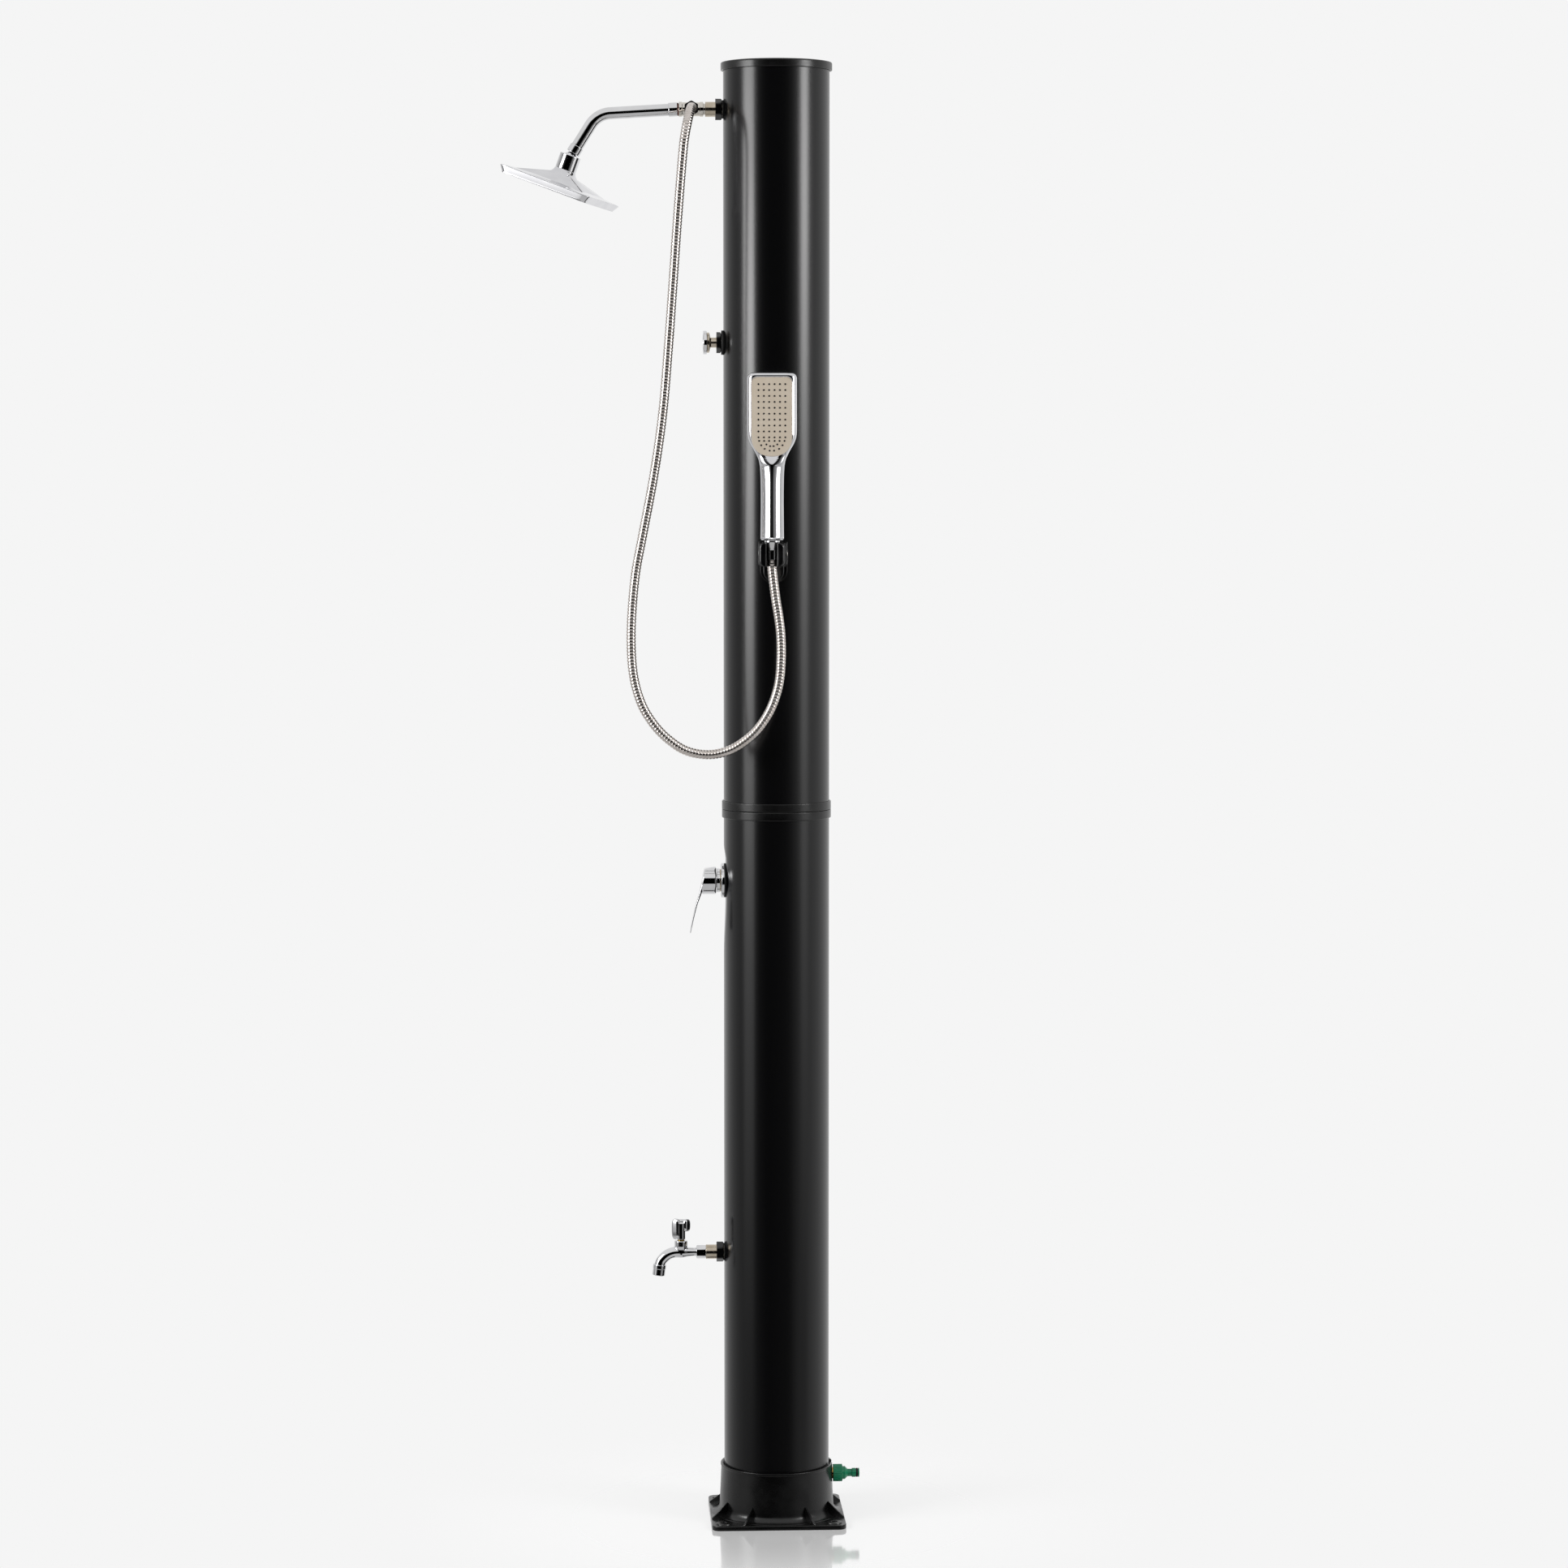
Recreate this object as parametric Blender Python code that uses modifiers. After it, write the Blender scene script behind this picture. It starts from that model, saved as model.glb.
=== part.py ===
# Solar shower: a free-standing black water column that the sun warms, with a square rain head
# on a bent arm, a hand shower on a metal hose, a lever mixer, a foot tap, a dial thermometer
# and a garden-hose inlet. Metres, +Z up. The origin is on the column's axis, on the ground.
# The arm, thermometer, mixer and tap point to -X, the inlet to +X, the hand shower to -Y.
import math

import bmesh
import bpy
import numpy as np
from mathutils import Matrix, Vector

# Space kept between pieces that touch on the real object
clearance = 0.0003

# Column
total_height = 2.170
tank_diameter = 0.157
tank_wall = 0.0032
seam_height = 1.069
coupling_band = 0.0123
coupling_proud = 0.0027
coupling_web = 0.004
coupling_skirt = 0.022
coupling_skirt_wall = 0.003
coupling_neck_radius = 0.060
coupling_spigot = 0.016
seal_groove_radius = 0.0665
seal_groove_width = 0.0044
seal_groove_depth = 0.0022
cap_band = 0.0118
cap_top = 0.004
cap_proud = 0.0037
cap_round = 0.0022
cap_skirt = 0.020
bottom_disc = 0.003
bottom_skirt = 0.022
seat_depth = 0.0028
seat_above = 0.030
seat_fade_above = 0.026
seat_below = 0.024
seat_fade_below = 0.092

# Foot
foot_width = 0.200
foot_thickness = 0.007
foot_corner = 0.012
collar_height = 0.081
collar_gap = 0.002
collar_wall = 0.0028
collar_spread = 0.0024
collar_bead = 0.0008
collar_flare = 0.012
rib_angle = 28.0
rib_reach = 0.112
rib_rise = 0.041
rib_width = 0.003
bolt_spacing = 0.165
bolt_hole_radius = 0.0045
boss_radius = 0.011
boss_rise = 0.0018
inlet_notch = 0.020

# Heights of what is screwed to the column: the upper tank's fittings are set from its top,
# and the mixer from the seam
arm_below_top = 0.0685
thermometer_below_top = 0.410
mixer_below_seam = 0.107
tap_height = 0.402
inlet_height = 0.063
arm_height = total_height - arm_below_top
thermometer_height = total_height - thermometer_below_top
mixer_height = seam_height - mixer_below_seam

# Wall fittings of the arm and of the tap
fitting_reach_inside = 0.020
fitting_wall = 0.0026
arm_washer_thickness = 0.0014
tap_washer_thickness = 0.0006
back_nut_length = 0.006
back_nut_radius = 0.0160
arm_nipple_radius = 0.0110
arm_nut_radius = 0.0160
arm_nut_length = 0.0098
arm_nipple_length = 0.0150
tap_nipple_radius = 0.01075
tap_nut_radius = 0.0155
tap_nut_length = 0.0107
tap_nipple_length = 0.0161
nut_chamfer = 0.0026

# Diverter tee behind the arm
tee_length = 0.0362
tee_radius = 0.0110
tee_neck = 0.0024
tee_bore_radius = 0.0066
branch_radius = 0.0085
branch_length = 0.0135
branch_stub_radius = 0.0062
branch_stub_length = 0.0065
branch_bore_radius = 0.0042
hose_nut_radius = 0.0114
hose_nut_length = 0.0104
diverter_bonnet_length = 0.0150
diverter_spindle_radius = 0.0040
diverter_disc_radius = 0.0100
diverter_disc_thickness = 0.0050
diverter_bar_length = 0.0250
diverter_bar_width = 0.0070
diverter_bar_height = 0.0065

# Shower arm
arm_tube_radius = 0.0090
arm_tube_wall = 0.0015
arm_droop = 3.5
arm_reach = 0.1194
arm_leg = 0.0774
arm_leg_slope = 57.7
arm_bend_radius = 0.037
arm_entry = 0.0030
ferrule_radius = 0.0100
rear_ferrule_start = 0.0022
rear_ferrule_length = 0.0126
front_ferrule_length = 0.0117
front_ferrule_to_ball = 0.0095
front_ferrule_lip = 0.0020
o_ring_start = 0.0007
o_ring_thickness = 0.0012

# Rain head, in a frame at the ball's centre whose +Z runs back up the head's axis
ball_radius = 0.0105
ball_stem_radius = 0.0055
ball_bore_radius = 0.0032
ball_stem_length = 0.0190
head_tilt = 20.0
head_turn = -20.0
head_roll = 4.2
cup_wall = 0.0011
cup_top_angle = 75.0
seal_cup_hole_angle = 24.0
backing_cup_hole_angle = 30.0
head_nut_radius = 0.01585
head_nut_above = 0.0055
head_nut_below = 0.0169
head_nut_roof = 0.0025
head_nut_wall = 0.0020
head_neck_length = 0.0029
head_neck_wall = 0.0035
head_half = 0.0740
head_edge_top = 0.0412
head_edge_bottom = 0.0478
head_face_depth = 0.0522
head_shell_wall = 0.0025
nozzle_plate_inset = 0.0030

# Dial thermometer, distances from the column's axis
bezel_face = 0.1084
bezel_back = 0.1031
bezel_radius = 0.0175
bezel_window_radius = 0.0138
bezel_lip = 0.0012
case_radius = 0.0150
case_wall = 0.0015
case_back = 0.0993
case_cone_back = 0.0972
stem_radius = 0.0075
probe_radius = 0.0030
probe_end = 0.0420
dial_floor = 0.0052
dial_thickness = 0.0008
lens_thickness = 0.0008
pointer_length = 0.0105
pointer_width = 0.0014
pointer_thickness = 0.0007
pointer_pin_radius = 0.0010
thermometer_nut_radius = 0.0158
thermometer_nut_length = 0.0068
saddle_radius = 0.0180
saddle_thickness = 0.0032

# Mixer, distances from the column's axis start at the pressed seat
mixer_gasket_radius = 0.0255
mixer_gasket_thickness = 0.0018
mixer_flange_radius = 0.0260
mixer_flange_thickness = 0.0053
mixer_neck_radius = 0.0168
mixer_neck_out = 0.0124
mixer_body_radius = 0.0200
mixer_body_length = 0.0420
mixer_port_radius = 0.0075
mixer_port_bore = 0.0040
mixer_port_reach = 0.0280
mixer_port_inside = 0.0325
mixer_passage_radius = 0.0030
mixer_passage_offset = 0.0050
mixer_port_apart = 0.0190
mixer_ring_radius = 0.0180
mixer_ring_length = 0.0048
mixer_ring_lip = 0.0012
cartridge_radius = 0.0140
cartridge_length = 0.0400
rotor_radius = 0.0085
rotor_length = 0.0270
rotor_slot_length = 0.0130
rotor_slot_depth = 0.0080
lever_stem_width = 0.0050
lever_stem_height = 0.0070
lever_stem_depth = 0.0068
lever_cap_radius = 0.0207
lever_cap_wall = 0.0016
lever_cap_gap = 0.0009
lever_cap_depth = 0.0215
lever_cap_hollow = 0.0095
lever_face_slant = 11.0
lever_brow_slant = 16.0
lever_blade_width = 0.0270
lever_tip_width = 0.0210
lever_blade_thickness = 0.0030
lever_tip_thickness = 0.0020

# Foot tap, distances from the column's axis
tap_hex_length = 0.0141
tap_hex_radius = 0.0100
tap_waist_radius = 0.0062
tap_centre = 0.1433
tap_run_radius = 0.0086
tap_bonnet_radius = 0.0100
tap_bonnet_rise = 0.0175
tap_spindle_radius = 0.0048
tap_spindle_rise = 0.0300
tap_spindle_depth = 0.0050
tap_handle_radius = 0.01475
tap_handle_scallop = 0.0032
tap_handle_lobes = 4
tap_handle_low = 0.0190
tap_handle_height = 0.0315
tap_spout_radius = 0.0082
tap_bore_radius = 0.0044
tap_spout_line = [(0.0105, 0.0006), (0.0205, 0.0044), (0.0287, 0.0120), (0.0319, 0.0185)]
tap_spout_lean = 6.7
aerator_radius = 0.0100
aerator_length = 0.0163
aerator_overlap = 0.0100

# Inlet, distances from the column's axis
inlet_nipple_radius = 0.0085
inlet_nipple_wall = 0.0022
inlet_nipple_end = 0.0935
inlet_flange_radius = 0.0120
inlet_flange_thickness = 0.0040
inlet_reach_inside = 0.0260
adaptor_start = 0.0852
adaptor_nut_radius = 0.0130
adaptor_nut_length = 0.0140
adaptor_step_radius = 0.00975
adaptor_step_length = 0.0040
adaptor_cone_length = 0.0039
adaptor_neck_radius = 0.00565
adaptor_neck_length = 0.0067
adaptor_ring_radius = 0.0068
adaptor_ring_length = 0.0058
adaptor_groove_radius = 0.0050
adaptor_groove_length = 0.0035
adaptor_lip_length = 0.0018
adaptor_bore_radius = 0.0032

# Pipes inside the column
pipe_radius = 0.0055
pipe_bore_radius = 0.0040
pipe_bend_radius = 0.022
riser_offset = 0.028
pickup_offset = 0.002
pickup_loop_drop = 0.022
pickup_top_gap = 0.030
feed_offset = 0.020
crossover_drop = 0.120

# Holder, in a frame that is turned about the column's axis; radial distances are from that axis
holder_turn = 5.5
pivot_height = 1.4505
pivot_out = 0.0200
drum_radius = 0.0130
drum_half_width = 0.0160
wall_plate_thickness = 0.0060
wall_plate_half_width = 0.0200
wall_plate_up = 0.0210
wall_plate_down = 0.0430
holder_neck_half_width = 0.0140
holder_neck_half_height = 0.0090
pin_radius = 0.0030
ear_radius = 0.0182
ear_width = 0.0050
prong_half_width = 0.0192
cradle_front = 0.0145
cradle_behind = 0.0118
cradle_down = 0.0178
cradle_corner = 0.0050
slot_width = 0.0150

# Hand shower; heights are from the bottom of its handle
handset_out = 0.0455
handset_above_pivot = 0.0205
handset_height = pivot_height + handset_above_pivot
cone_nut_top_radius = 0.0113
cone_nut_band = 0.0040
cone_nut_upper_radius = 0.01025
cone_nut_lower_radius = 0.0082
cone_nut_length = 0.0280
cone_nut_bore_radius = 0.0074
handset_stub_radius = 0.0085
handset_stub_length = 0.0120
handset_bore_radius = 0.0062
handset_length = 0.2430
handle_half_width = 0.0172
handle_half_thickness = 0.0130
head_half_width = 0.0360
head_half_thickness = 0.0110
face_half_width = 0.0295
face_bottom = 0.1217
face_top = 0.2360
face_corner = 0.0080
face_curve = 0.0290
face_thickness = 0.0025
face_proud = 0.0002
chamber_half_width = 0.0220
chamber_depth = 0.0070
chamber_margin = 0.0120

# Hose
hose_radius = 0.0070
hose_valley_radius = 0.0060
hose_bore_radius = 0.0045
hose_ribs = 80
hose_straight = 0.0140
hose_low = 1.1575
bore_points = 38

# Sides of round pieces
tank_sides = 24
large_sides = 20
medium_sides = 12
small_sides = 8

# Each turned cutter and piece to be joined is turned by 1 to 4 of this, in radians, so that
# its facets stay off the edges of what it meets
facet_turn = 0.011

tank_radius = tank_diameter / 2
tank_bore_radius = tank_radius - tank_wall
up = Vector((0, 0, 1))
left = Vector((-1, 0, 0))
right = Vector((1, 0, 0))
front = Vector((0, -1, 0))


def clear_scene():
    for obj in list(bpy.data.objects):
        bpy.data.objects.remove(obj)
    for collection in list(bpy.data.collections):
        bpy.data.collections.remove(collection)


def new_collection(name):
    collection = bpy.data.collections.new(name)
    bpy.context.scene.collection.children.link(collection)
    return collection


clear_scene()
parts = new_collection("solar_shower")
guides = new_collection("cutters_and_guides")


def linear(value):
    """One sRGB channel, 0 to 1, as linear light."""
    return value / 12.92 if value <= 0.04045 else ((value + 0.055) / 1.055) ** 2.4


def material(name, colour, roughness, metallic=0.0):
    """A Principled material of one sRGB hex colour."""
    made = bpy.data.materials.new(name)
    made.use_nodes = True
    shader = made.node_tree.nodes["Principled BSDF"]
    channels = [linear(int(colour[i : i + 2], 16) / 255) for i in (1, 3, 5)]
    shader.inputs["Base Color"].default_value = (*channels, 1.0)
    shader.inputs["Roughness"].default_value = roughness
    shader.inputs["Metallic"].default_value = metallic
    return made


black_pvc = material("black_pvc", "#1a191a", 0.32)
black_abs = material("black_abs", "#17171a", 0.28)
black_rubber = material("black_rubber", "#111111", 0.6)
red_rubber = material("red_rubber", "#7a3a28", 0.55)
chrome = material("chrome", "#e4e4e6", 0.08, 1.0)
nickel = material("nickel", "#cbc1b2", 0.22, 1.0)
brass = material("brass", "#b59a5c", 0.3, 1.0)
steel = material("stainless_steel", "#d3cfc8", 0.25, 1.0)
green_plastic = material("green_plastic", "#0b7a55", 0.35)
beige_plastic = material("beige_plastic", "#c8bfb2", 0.45)
grey_plastic = material("grey_plastic", "#9a9a98", 0.5)
white_enamel = material("white_enamel", "#f0efe9", 0.4)
clear_lens = material("clear_lens", "#f4f7f7", 0.05)
pex = material("pex_pipe", "#d8d4c6", 0.4)


def anchor(name, origin, axis, forward=up):
    """An empty at origin whose +Z is axis and whose +X leans to forward."""
    z = Vector(axis).normalized()
    x = (Vector(forward) - Vector(forward).dot(z) * z).normalized()
    y = z.cross(x)
    empty = bpy.data.objects.new(name, None)
    empty.empty_display_size = 0.02
    empty.matrix_world = Matrix.Translation(origin) @ Matrix((x, y, z)).transposed().to_4x4()
    guides.objects.link(empty)
    bpy.context.view_layer.update()
    return empty


def put(mesh_or_curve, name, frame, look=None):
    """Puts new data in the scene under a frame's empty, as a part if it has a material."""
    obj = bpy.data.objects.new(name, mesh_or_curve)
    if look is None:
        guides.objects.link(obj)
        obj.hide_render = True
        obj.display_type = "WIRE"
    else:
        parts.objects.link(obj)
        obj.data.materials.append(look)
    obj.parent = frame
    return obj


def turned(name, profile, frame, look=None, sides=medium_sides, ring=False):
    """A profile of (radius, height) points, from the top down its outer side, swept about +Z."""
    mesh = bpy.data.meshes.new(name)
    edges = [(i, i + 1) for i in range(len(profile) - 1)]
    if ring:
        edges.append((len(profile) - 1, 0))
    mesh.from_pydata([(radius, 0, height) for radius, height in profile], edges, [])
    obj = put(mesh, name, frame, look)
    if look is None:
        obj.rotation_euler.z = facet_turn * (1 + len(guides.objects) % 4)
    sweep = obj.modifiers.new("sweep", "SCREW")
    sweep.steps = sides
    sweep.render_steps = sides
    sweep.use_merge_vertices = True
    sweep.merge_threshold = 1e-6
    return obj


def rod(name, radius, low, high, frame, look=None, sides=medium_sides):
    """A plain cylinder along +Z."""
    return turned(name, [(0, high), (radius, high), (radius, low), (0, low)], frame, look, sides)


def sleeve(name, radius, bore, low, high, frame, look=None, sides=medium_sides):
    """A plain ring or tube along +Z."""
    profile = [(radius, high), (radius, low), (bore, low), (bore, high)]
    return turned(name, profile, frame, look, sides, ring=True)


def from_bmesh(name, bm, frame, look=None):
    mesh = bpy.data.meshes.new(name)
    bm.to_mesh(mesh)
    bm.free()
    return put(mesh, name, frame, look)


def block(name, low, high, frame, look=None, corner=0.0, upright_only=True, segments=3):
    """A box between two corners, with its upright edges, or all of them, rounded."""
    bm = bmesh.new()
    bmesh.ops.create_cube(bm, size=1.0)
    size = Vector(high) - Vector(low)
    bmesh.ops.scale(bm, vec=size, verts=bm.verts)
    bmesh.ops.translate(bm, vec=(Vector(low) + Vector(high)) / 2, verts=bm.verts)
    if corner > 0:
        edges = [
            edge
            for edge in bm.edges
            if not upright_only or abs(edge.verts[0].co.z - edge.verts[1].co.z) > size.z / 2
        ]
        bmesh.ops.bevel(bm, geom=edges, offset=corner, segments=segments, profile=0.5, affect="EDGES")
    return from_bmesh(name, bm, frame, look)


def mesh_of_curve(curve, name, frame, look=None):
    """A curve's solid as a mesh object with its caps welded; the curve is removed."""
    guide = put(curve, name + "_curve", frame)
    bpy.context.view_layer.update()
    graph = bpy.context.evaluated_depsgraph_get()
    mesh = bpy.data.meshes.new_from_object(guide.evaluated_get(graph))
    bpy.data.objects.remove(guide)
    bm = bmesh.new()
    bm.from_mesh(mesh)
    bmesh.ops.remove_doubles(bm, verts=bm.verts, dist=1e-6)
    bm.to_mesh(mesh)
    bm.free()
    return put(mesh, name, frame, look)


def tube(name, points, radius, frame=None, look=None, resolution=2, radii=None, tilt=0.0):
    """A round tube with filled caps along points; radii, if given, are shares of radius."""
    curve = bpy.data.curves.new(name, "CURVE")
    curve.dimensions = "3D"
    curve.bevel_depth = radius
    curve.bevel_resolution = resolution
    curve.use_fill_caps = True
    spline = curve.splines.new("POLY")
    spline.points.add(len(points) - 1)
    for i, point in enumerate(points):
        spline.points[i].co = (*point, 1.0)
        spline.points[i].radius = 1.0 if radii is None else radii[i]
        spline.points[i].tilt = tilt
    return mesh_of_curve(curve, name, frame, look)


def outline_plate(name, outline, low, high, frame, look=None):
    """A flat outline in the frame's XY plane, from height low to height high."""
    curve = bpy.data.curves.new(name, "CURVE")
    curve.dimensions = "2D"
    curve.fill_mode = "BOTH"
    curve.extrude = (high - low) / 2
    spline = curve.splines.new("POLY")
    spline.use_cyclic_u = True
    spline.points.add(len(outline) - 1)
    for i, (x, y) in enumerate(outline):
        spline.points[i].co = (x, y, 0, 1)
    obj = mesh_of_curve(curve, name, frame, look)
    obj.data.transform(Matrix.Translation((0, 0, (low + high) / 2)))
    return obj


def combine(obj, others, operation):
    for other in others:
        modifier = obj.modifiers.new(other.name, "BOOLEAN")
        modifier.operation = operation
        modifier.object = other
        modifier.solver = "EXACT"
    return obj


def cut(obj, *others):
    return combine(obj, others, "DIFFERENCE")


def join(obj, *others):
    return combine(obj, others, "UNION")


def loft(name, rings, frame, look=None, closed=False):
    """A skin over rings of equal point counts, from the top down; its ends are capped, or
    the last ring meets the first when closed."""
    bm = bmesh.new()
    made = [[bm.verts.new(point) for point in ring] for ring in rings]
    count = len(rings[0])
    pairs = list(zip(made, made[1:]))
    if closed:
        pairs.append((made[-1], made[0]))
    for above, below in pairs:
        for i in range(count):
            j = (i + 1) % count
            bm.faces.new((above[i], below[i], below[j], above[j]))
    if not closed:
        bm.faces.new(made[0])
        bm.faces.new(list(reversed(made[-1])))
    return from_bmesh(name, bm, frame, look)


def squircle(half_width, half_depth, squareness, height, count=24):
    """Points of a superellipse: squareness 2 is an ellipse, and larger is squarer."""
    angle = np.linspace(0, 2 * math.pi, count, endpoint=False)
    across, along = np.cos(angle), np.sin(angle)
    across = np.sign(across) * np.abs(across) ** (2 / squareness)
    along = np.sign(along) * np.abs(along) ** (2 / squareness)
    return [(half_width * c, half_depth * s, height) for c, s in zip(across, along)]


def arc(centre_x, centre_y, radius, start, end, steps):
    """Points on an arc in a plane, angles in degrees."""
    turns = [math.radians(start + (end - start) * i / steps) for i in range(steps + 1)]
    return [(centre_x + radius * math.cos(t), centre_y + radius * math.sin(t)) for t in turns]


def smooth_step(value):
    value = min(1.0, max(0.0, value))
    return value * value * (3 - 2 * value)


column = anchor("column_axis", (0, 0, 0), up, right)
arm_axis = anchor("arm_axis", (0, 0, arm_height), left)
thermometer_axis = anchor("thermometer_axis", (0, 0, thermometer_height), left)
mixer_axis = anchor("mixer_axis", (0, 0, mixer_height), left)
tap_axis = anchor("tap_axis", (0, 0, tap_height), left)
inlet_axis = anchor("inlet_axis", (0, 0, inlet_height), right)

lower_tank_low = foot_thickness + 2 * clearance + bottom_disc
lower_tank_high = seam_height - clearance / 2 - coupling_web - clearance
upper_tank_low = seam_height + clearance / 2 + coupling_web + clearance
upper_tank_high = total_height - cap_top - clearance


# The foot: a square plate, a flared collar round the tank, ribs, bosses and bolt holes
def make_foot():
    half = foot_width / 2
    foot = block(
        "base_foot",
        (-half, -half, 0),
        (half, half, foot_thickness),
        column,
        black_abs,
        corner=foot_corner,
    )
    socket = tank_radius + collar_gap
    rim = socket + collar_wall
    base = rim + collar_spread
    flare = arc(
        base + collar_flare, foot_thickness + collar_flare, collar_flare, 180, 270, 3
    )
    sunk = foot_thickness / 2
    collar_profile = [
        (rim + collar_bead / 2, collar_height),
        (rim + collar_bead, collar_height - collar_bead),
        (rim + collar_bead, collar_height - 3 * collar_bead),
        (rim, collar_height - 4 * collar_bead),
        *flare,
        (base + collar_flare, sunk),
        (socket, sunk),
        (socket, collar_height),
    ]
    collar = turned("collar", collar_profile, column, sides=tank_sides, ring=True)
    ribs = []
    rib_foot = foot_thickness + boss_rise
    rib_outline = [
        (socket + collar_wall / 2, sunk),
        (rib_reach, sunk),
        (rib_reach, rib_foot),
        (socket + collar_wall / 2, rib_rise),
    ]
    for quarter in range(4):
        for side in (-1, 1):
            turn = math.radians(90 * quarter + side * rib_angle)
            direction = Vector((math.cos(turn), math.sin(turn), 0))
            frame = anchor("rib_axis", (0, 0, 0), up.cross(direction), direction)
            outline = [(x, -y) for x, y in rib_outline]
            ribs.append(
                outline_plate("rib", outline, -rib_width / 2, rib_width / 2, frame)
            )
    bosses = []
    holes = []
    for x in (-1, 1):
        for y in (-1, 1):
            at = (x * bolt_spacing / 2, y * bolt_spacing / 2, 0)
            corner = anchor("bolt_axis", at, up, right)
            bosses.append(rod("boss", boss_radius, sunk, foot_thickness + boss_rise, corner))
            holes.append(
                rod("bolt_hole", bolt_hole_radius, -sunk, foot_thickness * 2, corner, sides=12)
            )
    notch_floor = inlet_height - inlet_notch / 2
    notch = block(
        "notch",
        (tank_radius, -inlet_notch / 2, notch_floor),
        (base + collar_flare, inlet_notch / 2, collar_height * 2),
        column,
    )
    join(foot, collar, *ribs, *bosses)
    cut(foot, notch, *holes)
    return foot


def tank_section(name, heights, press=None):
    """One tube of the tank from its outer skin; press moves a point of the skin."""
    bm = bmesh.new()
    line = [bm.verts.new((tank_radius, 0, height)) for height in heights]
    edges = [bm.edges.new(pair) for pair in zip(line, line[1:])]
    bmesh.ops.spin(
        bm,
        geom=line + edges,
        cent=(0, 0, 0),
        axis=up,
        angle=2 * math.pi,
        steps=tank_sides,
        use_merge=True,
    )
    bmesh.ops.remove_doubles(bm, verts=bm.verts, dist=1e-6)
    if press is not None:
        for vert in bm.verts:
            vert.co = press(vert.co)
    bmesh.ops.recalc_face_normals(bm, faces=bm.faces)
    for face in bm.faces:
        if face.normal.dot(Vector((face.calc_center_median().xy.to_3d()))) < 0:
            face.normal_flip()
    obj = from_bmesh(name, bm, column, black_pvc)
    wall = obj.modifiers.new("wall", "SOLIDIFY")
    wall.thickness = tank_wall
    wall.offset = -1
    wall.use_even_offset = True
    return obj


def wall_hole(axis, radius):
    """A cutter through one side of the tank."""
    return rod("wall_hole", radius, tank_radius / 2, tank_radius * 1.5, axis, sides=large_sides)


def make_tanks():
    seat_top = mixer_height + seat_above
    seat_bottom = mixer_height - seat_below

    def press(point):
        above = (point.z - seat_top) / seat_fade_above
        below = (seat_bottom - point.z) / seat_fade_below
        depth = seat_depth * (1 - smooth_step(max(above, below)))
        return Vector((max(point.x, depth - tank_radius), point.y, point.z))

    fades = [seat_bottom - seat_fade_below * i / 2 for i in (2, 1, 0)]
    tops = [seat_top, seat_top + seat_fade_above]
    heights = [lower_tank_high, *reversed(tops), *reversed(fades), lower_tank_low]
    lower = tank_section("lower_tank", heights, press)
    cut(
        lower,
        wall_hole(mixer_axis, mixer_neck_radius + clearance),
        wall_hole(tap_axis, tap_nipple_radius + clearance),
        wall_hole(inlet_axis, inlet_nipple_radius + clearance),
    )
    upper = tank_section("upper_tank", [upper_tank_high, upper_tank_low])
    cut(
        upper,
        wall_hole(arm_axis, arm_nipple_radius + clearance),
        wall_hole(thermometer_axis, stem_radius + clearance),
    )


def make_couplings():
    outer = tank_radius + coupling_proud
    over_tank = tank_radius + clearance
    in_tank = tank_bore_radius - clearance
    skirt = in_tank - coupling_skirt_wall
    top = seam_height - clearance / 2
    groove_in = seal_groove_radius
    groove_out = seal_groove_radius + seal_groove_width
    lower_profile = [
        (outer, top),
        (outer, top - coupling_band),
        (over_tank, top - coupling_band),
        (over_tank, top - coupling_web),
        (in_tank, top - coupling_web),
        (in_tank, top - coupling_skirt),
        (skirt, top - coupling_skirt),
        (skirt, top - coupling_web),
        (coupling_neck_radius, top - coupling_web),
        (coupling_neck_radius, top),
        (groove_in, top),
        (groove_in, top - seal_groove_depth),
        (groove_out, top - seal_groove_depth),
        (groove_out, top),
    ]
    turned("lower_flange", lower_profile, column, black_abs, tank_sides, ring=True)
    bottom = seam_height + clearance / 2
    spigot = coupling_neck_radius - clearance
    upper_profile = [
        (outer, bottom + coupling_band),
        (outer, bottom),
        (spigot, bottom),
        (spigot, bottom - coupling_spigot),
        (spigot - coupling_skirt_wall, bottom - coupling_spigot),
        (spigot - coupling_skirt_wall, bottom + coupling_web),
        (skirt, bottom + coupling_web),
        (skirt, bottom + coupling_skirt),
        (in_tank, bottom + coupling_skirt),
        (in_tank, bottom + coupling_web),
        (over_tank, bottom + coupling_web),
        (over_tank, bottom + coupling_band),
    ]
    turned("upper_flange", upper_profile, column, black_abs, tank_sides, ring=True)
    sleeve(
        "flange_seal",
        groove_out - clearance,
        groove_in + clearance,
        top - seal_groove_depth + clearance,
        top,
        column,
        black_rubber,
        tank_sides,
    )


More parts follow.
